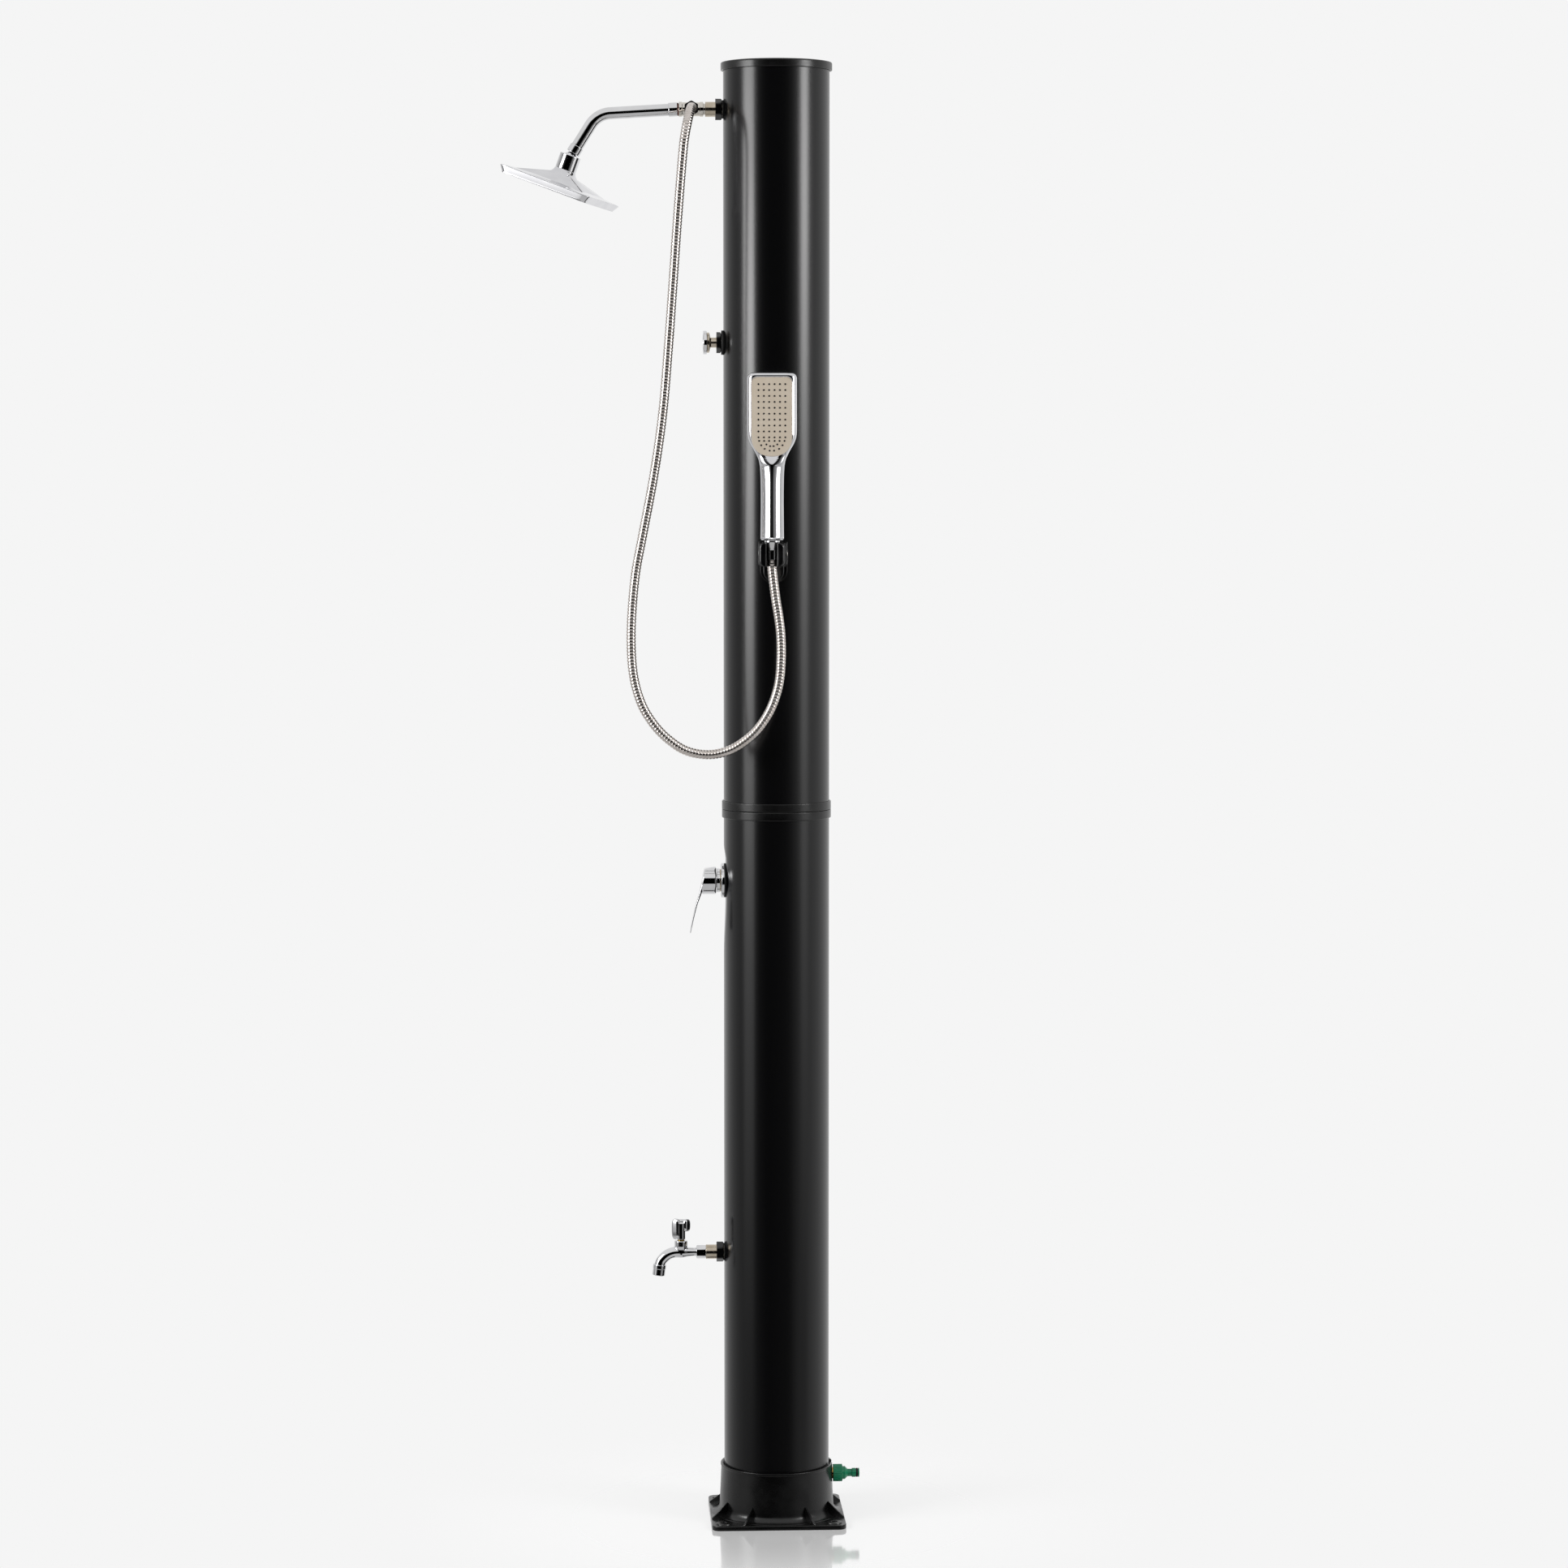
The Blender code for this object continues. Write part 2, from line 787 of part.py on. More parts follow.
def make_caps():
    outer = tank_radius + cap_proud
    over_tank = tank_radius + clearance
    in_tank = tank_bore_radius - clearance
    skirt = in_tank - coupling_skirt_wall
    under = total_height - cap_top
    cap_profile = [
        (0, total_height),
        (outer - cap_round, total_height),
        (outer - cap_round * 0.3, total_height - cap_round * 0.3),
        (outer, total_height - cap_round),
        (outer, total_height - cap_band),
        (over_tank, total_height - cap_band),
        (over_tank, under),
        (in_tank, under),
        (in_tank, under - cap_skirt),
        (skirt, under - cap_skirt),
        (skirt, under),
        (0, under),
    ]
    turned("top_cap", cap_profile, column, black_abs, tank_sides)
    floor = foot_thickness + clearance
    disc_top = floor + bottom_disc
    bottom_profile = [
        (0, disc_top),
        (skirt, disc_top),
        (skirt, disc_top + bottom_skirt),
        (in_tank, disc_top + bottom_skirt),
        (in_tank, disc_top),
        (tank_radius, disc_top),
        (tank_radius, floor),
        (0, floor),
    ]
    turned("tank_bottom_cap", bottom_profile, column, black_abs, tank_sides)


def tank_skin(height, reach):
    """A cutter with the tank's own facets, a clearance outside it."""
    radius = tank_radius + clearance
    skin = rod("tank_skin", radius, height - reach, height + reach, column, sides=tank_sides)
    skin.rotation_euler.z = 0
    return skin


def bore_at(aside):
    """How far out the tank's faceted bore is, this far to the side of a wall fitting."""
    return tank_bore_radius - aside * math.tan(math.pi / tank_sides)


def saddle(name, axis, radius, bore, thickness, look):
    """A washer whose back is cut to the tank's curve."""
    start = math.sqrt(tank_radius**2 - radius**2) - clearance
    ring = sleeve(name, radius, bore, start - thickness, tank_radius + thickness, axis, look)
    return cut(ring, tank_skin(axis.matrix_world.translation.z, radius * 2))


def hex_nut(name, axis, radius, bore, low, high, look, chamfer_low=0.0, chamfer_high=0.0):
    """A six-sided nut with a round bore; each end may be chamfered."""
    profile = [(0, high), (radius - chamfer_high, high)]
    if chamfer_high > 0:
        profile.append((radius, high - chamfer_high * 0.6))
    if chamfer_low > 0:
        profile.append((radius, low + chamfer_low * 0.6))
    profile += [(radius - chamfer_low, low), (0, low)]
    nut = turned(name, profile, axis, look, sides=6)
    margin = (high - low) / 2
    return cut(nut, rod(name + "_bore", bore, low - margin, high + margin, axis))


def wall_fitting(name, axis, radius, washer, nut_radius, nut_length, nipple_length):
    """A nipple through the tank's wall, with its washer and its outer and inner nut.
    Returns where the nipple ends outside."""
    bore = radius + clearance
    saddle(name + "_washer", axis, radius + fitting_wall, bore, washer, black_rubber)
    nut_low = tank_radius + washer + clearance
    nut_high = nut_low + nut_length
    hex_nut(
        name + "_lock_nut", axis, nut_radius, bore, nut_low, nut_high, black_abs, nut_chamfer, 0.0
    )
    inner = tank_bore_radius - fitting_reach_inside
    end = nut_high + nipple_length
    sleeve(name + "_nipple", radius, radius - fitting_wall, inner, end, axis, nickel)
    back_high = bore_at(back_nut_radius) - clearance
    hex_nut(
        name + "_back_nut",
        axis,
        back_nut_radius,
        bore,
        back_high - back_nut_length,
        back_high,
        black_abs,
    )
    return end


# The tee that sends water to the arm or to the hose
def make_tee(nipple_end):
    start = nipple_end + clearance
    mouth = start + tee_neck + tee_length
    stub = arm_nipple_radius - fitting_wall - clearance
    stub_start = nipple_end - fitting_wall * 3
    tee = turned(
        "diverter_tee",
        [
            (0, mouth),
            (tee_radius, mouth),
            (tee_radius, start + tee_neck),
            (tee_radius - fitting_wall, start + tee_neck),
            (tee_radius - fitting_wall, start),
            (stub, start),
            (stub, stub_start),
            (0, stub_start),
        ],
        arm_axis,
        nickel,
    )
    middle = (start + tee_neck + mouth) / 2
    centre = Vector((-middle, 0, arm_height))
    branch_axis = anchor("branch_axis", centre, front)
    stub_end = branch_length + branch_stub_length
    branch = turned(
        "branch",
        [
            (0, stub_end),
            (branch_stub_radius, stub_end),
            (branch_stub_radius, branch_length),
            (branch_radius, branch_length),
            (branch_radius, -diverter_bonnet_length),
            (0, -diverter_bonnet_length),
        ],
        branch_axis,
    )
    join(tee, branch)
    margin = tee_radius
    main_bore = rod("main_bore", tee_bore_radius, stub_start - margin, mouth + margin, arm_axis)
    mouth_bore = rod(
        "mouth_bore",
        arm_tube_radius + 2 * clearance,
        mouth - arm_entry - 2 * clearance,
        mouth + margin,
        arm_axis,
    )
    branch_bore = rod(
        "branch_bore", branch_bore_radius, 0, stub_end + margin, branch_axis, sides=small_sides
    )
    spindle_bore = rod(
        "spindle_bore",
        diverter_spindle_radius + clearance,
        -diverter_bonnet_length - margin,
        0,
        branch_axis,
        sides=small_sides,
    )
    cut(tee, main_bore, mouth_bore, branch_bore, spindle_bore)
    nut_low = branch_length + clearance
    nut_high = nut_low + hose_nut_length
    hex_nut(
        "hose_tee_nut",
        branch_axis,
        hose_nut_radius,
        branch_stub_radius + clearance,
        nut_low,
        nut_high,
        black_abs,
        0.0,
        nut_chamfer / 2,
    )
    knob_axis = anchor("diverter_axis", centre, -front)
    disc_low = diverter_bonnet_length + clearance
    disc_high = disc_low + diverter_disc_thickness
    knob = turned(
        "diverter_knob",
        [
            (0, disc_high),
            (diverter_disc_radius, disc_high),
            (diverter_disc_radius, disc_low),
            (diverter_spindle_radius, disc_low),
            (diverter_spindle_radius, -diverter_spindle_radius),
            (0, -diverter_spindle_radius),
        ],
        knob_axis,
        nickel,
        small_sides,
    )
    bar = block(
        "bar",
        (-diverter_bar_length / 2, -diverter_bar_width / 2, disc_high - diverter_disc_thickness / 2),
        (diverter_bar_length / 2, diverter_bar_width / 2, disc_high + diverter_bar_height),
        knob_axis,
        corner=diverter_bar_width / 4,
    )
    join(knob, bar)
    hose_start = centre + front * (nut_high + clearance)
    return mouth, hose_start


# The bent arm, from the tee's mouth to the ball of the rain head
def make_arm(mouth):
    start = Vector((-mouth, 0, arm_height))
    droop = math.radians(arm_droop)
    slope = math.radians(arm_leg_slope)
    run = Vector((-math.cos(droop), 0, -math.sin(droop)))
    leg = Vector((-math.cos(slope), 0, -math.sin(slope)))
    corner = start + run * arm_reach
    ball = corner + leg * arm_leg
    half_turn = (slope - droop) / 2
    tangent = arm_bend_radius * math.tan(half_turn)
    inward = (leg - run).normalized()
    centre = corner + inward * (arm_bend_radius / math.cos(half_turn))
    spoke = corner - run * tangent - centre
    bend = []
    for i in range(6):
        turn = Matrix.Rotation(-2 * half_turn * i / 5, 3, "Y")
        bend.append(centre + turn @ spoke)
    tube_end = ball - leg * (front_ferrule_to_ball + front_ferrule_lip + clearance)
    points = [start - run * arm_entry, *bend, tube_end]
    arm = tube("shower_arm", points, arm_tube_radius, None, chrome, resolution=4)
    longer = [points[0] - run * arm_tube_radius, *points[1:-1], tube_end + leg * arm_tube_radius]
    cut(arm, tube("arm_bore", longer, arm_tube_radius - arm_tube_wall))
    run_axis = anchor("arm_run_axis", start, run)
    over_tube = arm_tube_radius + clearance
    sleeve(
        "arm_o_ring",
        ferrule_radius,
        over_tube,
        o_ring_start,
        o_ring_start + o_ring_thickness,
        run_axis,
        red_rubber,
    )
    sleeve(
        "arm_rear_ferrule",
        ferrule_radius + clearance,
        over_tube,
        rear_ferrule_start,
        rear_ferrule_start + rear_ferrule_length,
        run_axis,
        chrome,
    )
    leg_axis = anchor("arm_leg_axis", ball, -leg)
    low = front_ferrule_to_ball
    turned(
        "arm_front_ferrule",
        [
            (ferrule_radius + clearance, low + front_ferrule_length),
            (ferrule_radius + clearance, low),
            (ball_stem_radius + clearance, low),
            (ball_stem_radius + clearance, low + front_ferrule_lip),
            (over_tube, low + front_ferrule_lip),
            (over_tube, low + front_ferrule_length),
        ],
        leg_axis,
        chrome,
        ring=True,
    )
    top_angle = math.degrees(math.acos(ball_stem_radius / ball_radius))
    sphere = arc(0, 0, ball_radius, top_angle, -90, 8)
    bottom_angle = math.asin(ball_bore_radius / ball_radius)
    sphere = [point for point in sphere if point[0] > ball_radius * math.sin(bottom_angle) * 1.2]
    ball_low = -ball_radius * math.cos(bottom_angle)
    turned(
        "swivel_ball",
        [
            (ball_stem_radius, ball_stem_length),
            *sphere,
            (ball_bore_radius, ball_low),
            (ball_bore_radius, ball_stem_length),
        ],
        leg_axis,
        chrome,
        ring=True,
    )
    return ball


def cup(name, inner, outer, hole_angle, frame, look):
    """Part of a spherical shell under the ball, open at its pole."""
    outside = arc(0, 0, outer, cup_top_angle - 90, hole_angle - 90, 3)
    inside = arc(0, 0, inner, hole_angle - 90, cup_top_angle - 90, 3)
    return turned(name, [*outside, *inside], frame, look, ring=True)


# The square rain head and the cups that hold it on the ball
def make_rain_head(ball):
    tilt = math.radians(head_tilt)
    turn = math.radians(head_turn)
    roll = Matrix.Rotation(math.radians(head_roll), 3, "X")
    axis = roll @ Vector((math.sin(tilt), 0, math.cos(tilt)))
    across = roll @ Vector((math.cos(tilt), 0, -math.sin(tilt)))
    forward = across * math.cos(turn) + axis.cross(across) * math.sin(turn)
    head_axis = anchor("rain_head_axis", ball, axis, forward)
    # The chord of a faceted sphere lies inside it, so each cup's inner radius allows for that
    facet = 1 / math.cos(math.radians(180 / medium_sides))
    seal_in = (ball_radius + clearance) * facet
    seal_out = seal_in + cup_wall
    backing_in = (seal_out + clearance) * facet
    backing_out = backing_in + cup_wall
    cup("swivel_seal_cup", seal_in, seal_out, seal_cup_hole_angle, head_axis, grey_plastic)
    cup(
        "swivel_backing_cup",
        backing_in,
        backing_out,
        backing_cup_hole_angle,
        head_axis,
        grey_plastic,
    )
    roof = head_nut_above - head_nut_roof
    mouth_low = math.sqrt(seal_in**2 - roof**2)
    mouth_high = math.sqrt(seal_in**2 - head_nut_above**2)
    cavity = head_nut_radius - head_nut_wall
    edge = head_nut_wall * 0.4
    turned(
        "head_nut",
        [
            (mouth_high + clearance, head_nut_above),
            (head_nut_radius - edge, head_nut_above),
            (head_nut_radius, head_nut_above - edge),
            (head_nut_radius, -head_nut_below),
            (cavity, -head_nut_below),
            (cavity, roof),
            (mouth_low + clearance, roof),
        ],
        head_axis,
        chrome,
        large_sides,
        ring=True,
    )
    neck = cavity - clearance
    neck_bore = neck - head_neck_wall
    neck_top = -head_nut_below + head_neck_length
    shoulder = -head_nut_below - clearance
    rise = head_edge_top - head_nut_below - clearance
    # Share of the way out to the square edge, squareness, and share of the drop to it
    flare = [(0.04, 2.2, 0.23), (0.17, 2.8, 0.50), (0.415, 4.0, 0.73), (0.732, 7, 0.89)]
    flare += [(0.957, 16, 0.965)]
    outside = [
        squircle(neck, neck, 2, neck_top),
        squircle(neck, neck, 2, shoulder),
        squircle(head_nut_radius, head_nut_radius, 2, shoulder),
    ]
    for share, squareness, drop in flare:
        span = head_nut_radius + (head_half - head_nut_radius) * share
        outside.append(squircle(span, span, squareness, shoulder - rise * drop))
    chamfer = head_shell_wall / 2
    outside += [
        squircle(head_half, head_half, 20, -head_edge_top),
        squircle(head_half, head_half, 20, -head_edge_bottom),
        squircle(head_half - chamfer, head_half - chamfer, 20, -head_edge_bottom - chamfer),
    ]
    wall = head_shell_wall
    inner_edge = head_half - nozzle_plate_inset
    inside = [
        squircle(inner_edge, inner_edge, 20, -head_edge_bottom - chamfer),
        squircle(inner_edge, inner_edge, 20, -head_edge_top - wall * 0.8),
    ]
    for share, squareness, drop in reversed(flare[1:-1]):
        span = head_nut_radius + (head_half - head_nut_radius) * share - wall
        inside.append(squircle(span, span, squareness, shoulder - rise * drop - wall))
    inside += [
        squircle(neck_bore, neck_bore, 2, shoulder - wall),
        squircle(neck_bore, neck_bore, 2, neck_top),
    ]
    loft("head_shell", outside + inside, head_axis, chrome, closed=True)
    plate = inner_edge - clearance
    plate_top = -head_edge_bottom + wall
    bevel = -head_edge_bottom - chamfer
    loft(
        "nozzle_plate",
        [
            squircle(plate, plate, 20, plate_top),
            squircle(plate, plate, 20, bevel),
            squircle(plate - wall, plate - wall, 20, -head_face_depth),
        ],
        head_axis,
        grey_plastic,
    )


def make_thermometer():
    axis = thermometer_axis
    saddle(
        "thermometer_gasket",
        axis,
        saddle_radius,
        stem_radius + clearance,
        saddle_thickness,
        black_rubber,
    )
    nut_low = tank_radius + saddle_thickness + clearance
    hex_nut(
        "thermometer_nut",
        axis,
        thermometer_nut_radius,
        stem_radius + clearance,
        nut_low,
        nut_low + thermometer_nut_length,
        black_abs,
        nut_chamfer,
        0.0,
    )
    rim = bezel_face - bezel_lip - lens_thickness - 2 * clearance
    floor = rim - dial_floor
    recess = case_radius - case_wall
    probe_shoulder = tank_bore_radius - stem_radius
    case = turned(
        "thermometer_case",
        [
            (0, floor),
            (recess, floor),
            (recess, rim),
            (case_radius, rim),
            (case_radius, case_back),
            (stem_radius, case_cone_back),
            (stem_radius, probe_shoulder),
            (probe_radius, probe_shoulder - stem_radius + probe_radius),
            (probe_radius, probe_end),
            (0, probe_end),
        ],
        axis,
        nickel,
    )
    pin_hole = pointer_pin_radius + clearance
    pin_depth = floor - dial_floor / 2
    cut(case, rod("pin_hole", pin_hole, pin_depth, bezel_face, axis, sides=10))
    dial_low = floor + clearance
    sleeve(
        "thermometer_dial",
        recess - clearance,
        pin_hole,
        dial_low,
        dial_low + dial_thickness,
        axis,
        white_enamel,
    )
    lens_low = rim + clearance
    rod(
        "thermometer_lens",
        case_radius,
        lens_low,
        lens_low + lens_thickness,
        axis,
        clear_lens,
    )
    over_case = case_radius + clearance
    under_lip = bezel_face - bezel_lip
    edge = bezel_lip / 2
    turned(
        "thermometer_bezel",
        [
            (bezel_window_radius, bezel_face),
            (bezel_radius - edge, bezel_face),
            (bezel_radius, bezel_face - edge),
            (bezel_radius, bezel_back),
            (over_case, bezel_back),
            (over_case, under_lip),
            (bezel_window_radius, under_lip),
        ],
        axis,
        chrome,
        ring=True,
    )
    hand_low = dial_low + dial_thickness + clearance
    hand_high = hand_low + pointer_thickness
    hub = 2 * pointer_pin_radius
    pointer = turned(
        "thermometer_pointer",
        [
            (0, hand_high),
            (hub, hand_high),
            (hub, hand_low),
            (pointer_pin_radius, hand_low),
            (pointer_pin_radius, pin_depth + clearance),
            (0, pin_depth + clearance),
        ],
        axis,
        black_abs,
        10,
    )
    hand = block(
        "hand",
        (-pointer_length / 3, -pointer_width / 2, hand_low + pointer_thickness * 0.1),
        (pointer_length, pointer_width / 2, hand_high - pointer_thickness * 0.1),
        axis,
    )
    join(pointer, hand)


# The single-lever mixer, clamped through the pressed seat
def make_mixer():
    axis = mixer_axis
    seat = tank_radius - seat_depth
    inner_wall = seat - tank_wall
    neck_bore = mixer_neck_radius + clearance
    gasket_low = seat + clearance
    flange_low = gasket_low + mixer_gasket_thickness + clearance
    flange_high = flange_low + mixer_flange_thickness
    neck_high = seat + mixer_neck_out
    body_high = inner_wall - clearance
    body_low = body_high - mixer_body_length
    sleeve(
        "mixer_gasket",
        mixer_gasket_radius,
        neck_bore,
        gasket_low,
        gasket_low + mixer_gasket_thickness,
        axis,
        black_rubber,
        large_sides,
    )
    sleeve(
        "mixer_flange",
        mixer_flange_radius,
        neck_bore,
        flange_low,
        flange_high,
        axis,
        chrome,
        large_sides,
    )
    body = turned(
        "mixer_body",
        [
            (0, neck_high),
            (mixer_neck_radius, neck_high),
            (mixer_neck_radius, body_high),
            (mixer_body_radius, body_high),
            (mixer_body_radius, body_low),
            (0, body_low),
        ],
        axis,
        brass,
        large_sides,
    )
    port_x = -(inner_wall - mixer_port_inside)
    ports = {
        "riser": (Vector((port_x, 0, mixer_height)), up),
        "hot": (Vector((port_x, -mixer_port_apart / 2, mixer_height)), -up),
        "cold": (Vector((port_x, mixer_port_apart / 2, mixer_height)), -up),
    }
    bosses = []
    bores = []
    for name, (place, way) in ports.items():
        frame = anchor(name + "_port_axis", place, way, right)
        bosses.append(
            rod(name + "_port", mixer_port_radius, mixer_port_bore, mixer_port_reach, frame)
        )
        bores.append(
            rod(
                name + "_port_bore",
                mixer_port_bore,
                0,
                mixer_port_reach * 1.5,
                frame,
                sides=small_sides,
            )
        )
        along = anchor(name + "_passage_axis", place + way * mixer_passage_offset, left, front)
        bores.append(
            rod(
                name + "_passage",
                mixer_passage_radius,
                0,
                mixer_body_length / 3,
                along,
                sides=small_sides,
            )
        )
    cartridge_low = neck_high - cartridge_length
    pocket = rod(
        "cartridge_pocket",
        cartridge_radius + clearance,
        cartridge_low - clearance,
        neck_high + mixer_neck_out,
        axis,
    )
    join(body, *bosses)
    cut(body, pocket, *bores)
    ring_high = neck_high + clearance + mixer_ring_lip
    turned(
        "mixer_ring",
        [
            (mixer_ring_radius, ring_high),
            (mixer_ring_radius, ring_high - mixer_ring_length),
            (neck_bore, ring_high - mixer_ring_length),
            (neck_bore, neck_high + clearance),
            (cartridge_radius - fitting_wall, neck_high + clearance),
            (cartridge_radius - fitting_wall, ring_high),
        ],
        axis,
        chrome,
        large_sides,
        ring=True,
    )
    cartridge_high = neck_high
    rotor_high = ring_high - clearance
    rotor_low = rotor_high - rotor_length
    cartridge = rod(
        "mixer_cartridge", cartridge_radius, cartridge_low, cartridge_high, axis, grey_plastic
    )
    cut(
        cartridge,
        rod(
            "rotor_bore",
            rotor_radius + clearance,
            rotor_low - clearance,
            cartridge_high + rotor_length,
            axis,
        ),
    )
    rotor = rod("mixer_spindle", rotor_radius, rotor_low, rotor_high, axis, white_enamel)
    slot_half = lever_stem_width / 2 + clearance
    slot = block(
        "stem_slot",
        (-rotor_slot_length / 2, -slot_half, rotor_high - rotor_slot_depth),
        (rotor_slot_length / 2, slot_half, rotor_high + rotor_slot_depth),
        axis,
    )
    cut(rotor, slot)
    make_lever(ring_high, rotor_high)
    return ports


# The lever: a slanted cap over the cartridge with a thin curved blade under it
def make_lever(ring_high, rotor_high):
    skirt = ring_high + lever_cap_gap
    face = skirt + lever_cap_depth
    axis = anchor("lever_lift_axis", (-skirt, 0, mixer_height), left)
    depth = face - skirt
    lever = rod("mixer_lever", lever_cap_radius, 0, depth, axis, chrome, large_sides)
    reach = 3 * lever_cap_radius
    face_plane = block("face_plane", (-reach, -reach, 0), (reach, reach, reach), axis)
    face_plane.location = (0, 0, depth - lever_cap_radius * math.tan(math.radians(lever_face_slant)))
    face_plane.rotation_euler = (0, math.radians(lever_face_slant), 0)
    brow_plane = block("brow_plane", (0, -reach, -reach), (reach, reach, reach), axis)
    brow_plane.location = (lever_cap_radius, 0, depth * 0.15)
    brow_plane.rotation_euler = (0, -math.radians(lever_brow_slant), 0)
    hollow = rod(
        "cap_hollow",
        lever_cap_radius - lever_cap_wall,
        -lever_cap_depth,
        lever_cap_hollow,
        axis,
        sides=large_sides,
    )
    # Centreline of the blade: distance outward from the skirt, and height
    line = [
        (0.0140, 0.0060),
        (0.0208, -0.0110),
        (0.0229, -0.0190),
        (0.0280, -0.0370),
        (0.0330, -0.0530),
        (0.0368, -0.0670),
        (0.0378, -0.0775),
    ]
    rings = []
    for i, (out, height) in enumerate(line):
        share = i / (len(line) - 1)
        before = Vector(line[max(0, i - 1)])
        after = Vector(line[min(len(line) - 1, i + 1)])
        along = (after - before).normalized()
        normal = Vector((-along.y, along.x))
        thick = lever_blade_thickness + (lever_tip_thickness - lever_blade_thickness) * share
        wide = lever_blade_width + (lever_tip_width - lever_blade_width) * share
        corners = [(-1, -1), (-1, 1), (1, 1), (1, -1)]
        rings.append(
            [
                (
                    height + normal.y * side * thick / 2,
                    across * wide / 2,
                    out + normal.x * side * thick / 2,
                )
                for side, across in corners
            ]
        )
    blade = loft("blade", rings, axis)
    blade_top = block(
        "stem",
        (-lever_stem_height / 2, -lever_stem_width / 2, -lever_stem_depth - (skirt - rotor_high)),
        (lever_stem_height / 2, lever_stem_width / 2, lever_cap_hollow + lever_cap_wall),
        axis,
    )
    cut(lever, face_plane, brow_plane, hollow)
    join(lever, blade, blade_top)
    return lever


# The foot tap: an angle tap with a lobed handle and a curved spout
def make_tap(nipple_end):
    axis = tap_axis
    start = nipple_end + clearance
    hex_high = start + tap_hex_length
    stub = tap_nipple_radius - fitting_wall - clearance
    body = turned(
        "tap_body",
        [
            (0, tap_centre),
            (tap_run_radius, tap_centre),
            (tap_waist_radius, hex_high + tap_waist_radius * 0.6),
            (tap_waist_radius, hex_high - clearance),
            (stub, start + clearance),
            (stub, nipple_end - fitting_wall * 3),
            (0, nipple_end - fitting_wall * 3),
        ],
        axis,
        chrome,
    )
    edge = nut_chamfer * 0.6
    hexagon = turned(
        "tap_hex",
        [
            (0, hex_high),
            (tap_hex_radius - edge, hex_high),
            (tap_hex_radius, hex_high - edge),
            (tap_hex_radius, start + edge),
            (tap_hex_radius - edge, start),
            (0, start),
        ],
        axis,
        sides=6,
    )
    middle = Vector((-tap_centre, 0, tap_height))
    upright = anchor("tap_spindle_axis", middle, up, right)
    bonnet = turned(
        "bonnet",
        [
            (0, tap_bonnet_rise),
            (tap_bonnet_radius, tap_bonnet_rise),
            (tap_bonnet_radius, tap_bonnet_rise * 0.45),
            (tap_run_radius, 0),
            (0, -tap_run_radius * 0.5),
        ],
        upright,
    )
    lean = math.radians(tap_spout_lean)
    fall = Vector((-math.sin(lean), 0, -math.cos(lean)))
    given = [middle + right * tap_run_radius * 0.3]
    given += [middle + Vector((-out, 0, -drop)) for out, drop in tap_spout_line]
    line, _ = smooth_route(given, 8)
    spout_end = Vector(line[-1]) + fall * aerator_overlap
    spout_points = [*[Vector(point) for point in line], spout_end]
    # The tilt keeps the spout's facets off those of the straight run
    spout = tube("spout", spout_points, tap_spout_radius, resolution=3, tilt=0.12)
    inner = tap_spout_radius - fitting_wall
    longer = [*spout_points[:-1], spout_end + fall * tap_spout_radius]
    spout_bore = tube("spout_bore", longer, inner)
    run_bore = rod(
        "run_bore",
        tap_bore_radius,
        nipple_end - fitting_wall * 6,
        tap_centre + tap_bore_radius / 3,
        axis,
        sides=small_sides,
    )
    spindle_bore = rod(
        "tap_spindle_bore",
        tap_spindle_radius + clearance,
        0,
        tap_bonnet_rise * 2,
        upright,
        sides=large_sides,
    )
    join(body, hexagon, bonnet, spout)
    cut(body, run_bore, spout_bore, spindle_bore)
    rod(
        "tap_spindle",
        tap_spindle_radius,
        tap_spindle_depth,
        tap_spindle_rise,
        upright,
        brass,
        large_sides,
    )
    handle_rings = []
    steps = 24
    for height, share in [(1.0, 0.62), (0.965, 0.82), (0.90, 0.93), (0.78, 1.0), (0.0, 1.0)]:
        ring = []
        for i in range(steps):
            turn = 2 * math.pi * i / steps
            dip = tap_handle_scallop * (0.5 - 0.5 * math.cos(tap_handle_lobes * turn))
            reach = (tap_handle_radius - dip) * share
            ring.append(
                (
                    reach * math.cos(turn),
                    reach * math.sin(turn),
                    tap_handle_low + tap_handle_height * height,
                )
            )
        handle_rings.append(ring)
    handle = loft("tap_handle", handle_rings, upright, chrome)
    handle_hollow = rod(
        "handle_hollow",
        tap_bonnet_radius * 0.8,
        0,
        tap_handle_low + tap_handle_height * 0.2,
        upright,
    )
    handle_bore = rod(
        "handle_bore",
        tap_spindle_radius + clearance,
        0,
        tap_spindle_rise + clearance,
        upright,
        sides=large_sides,
    )
    cut(handle, handle_hollow, handle_bore)
    mouth_axis = anchor("aerator_axis", spout_end, fall)
    sleeve(
        "tap_aerator",
        aerator_radius,
        tap_spout_radius + 2 * clearance,
        -aerator_overlap,
        aerator_length - aerator_overlap,
        mouth_axis,
        chrome,
    )


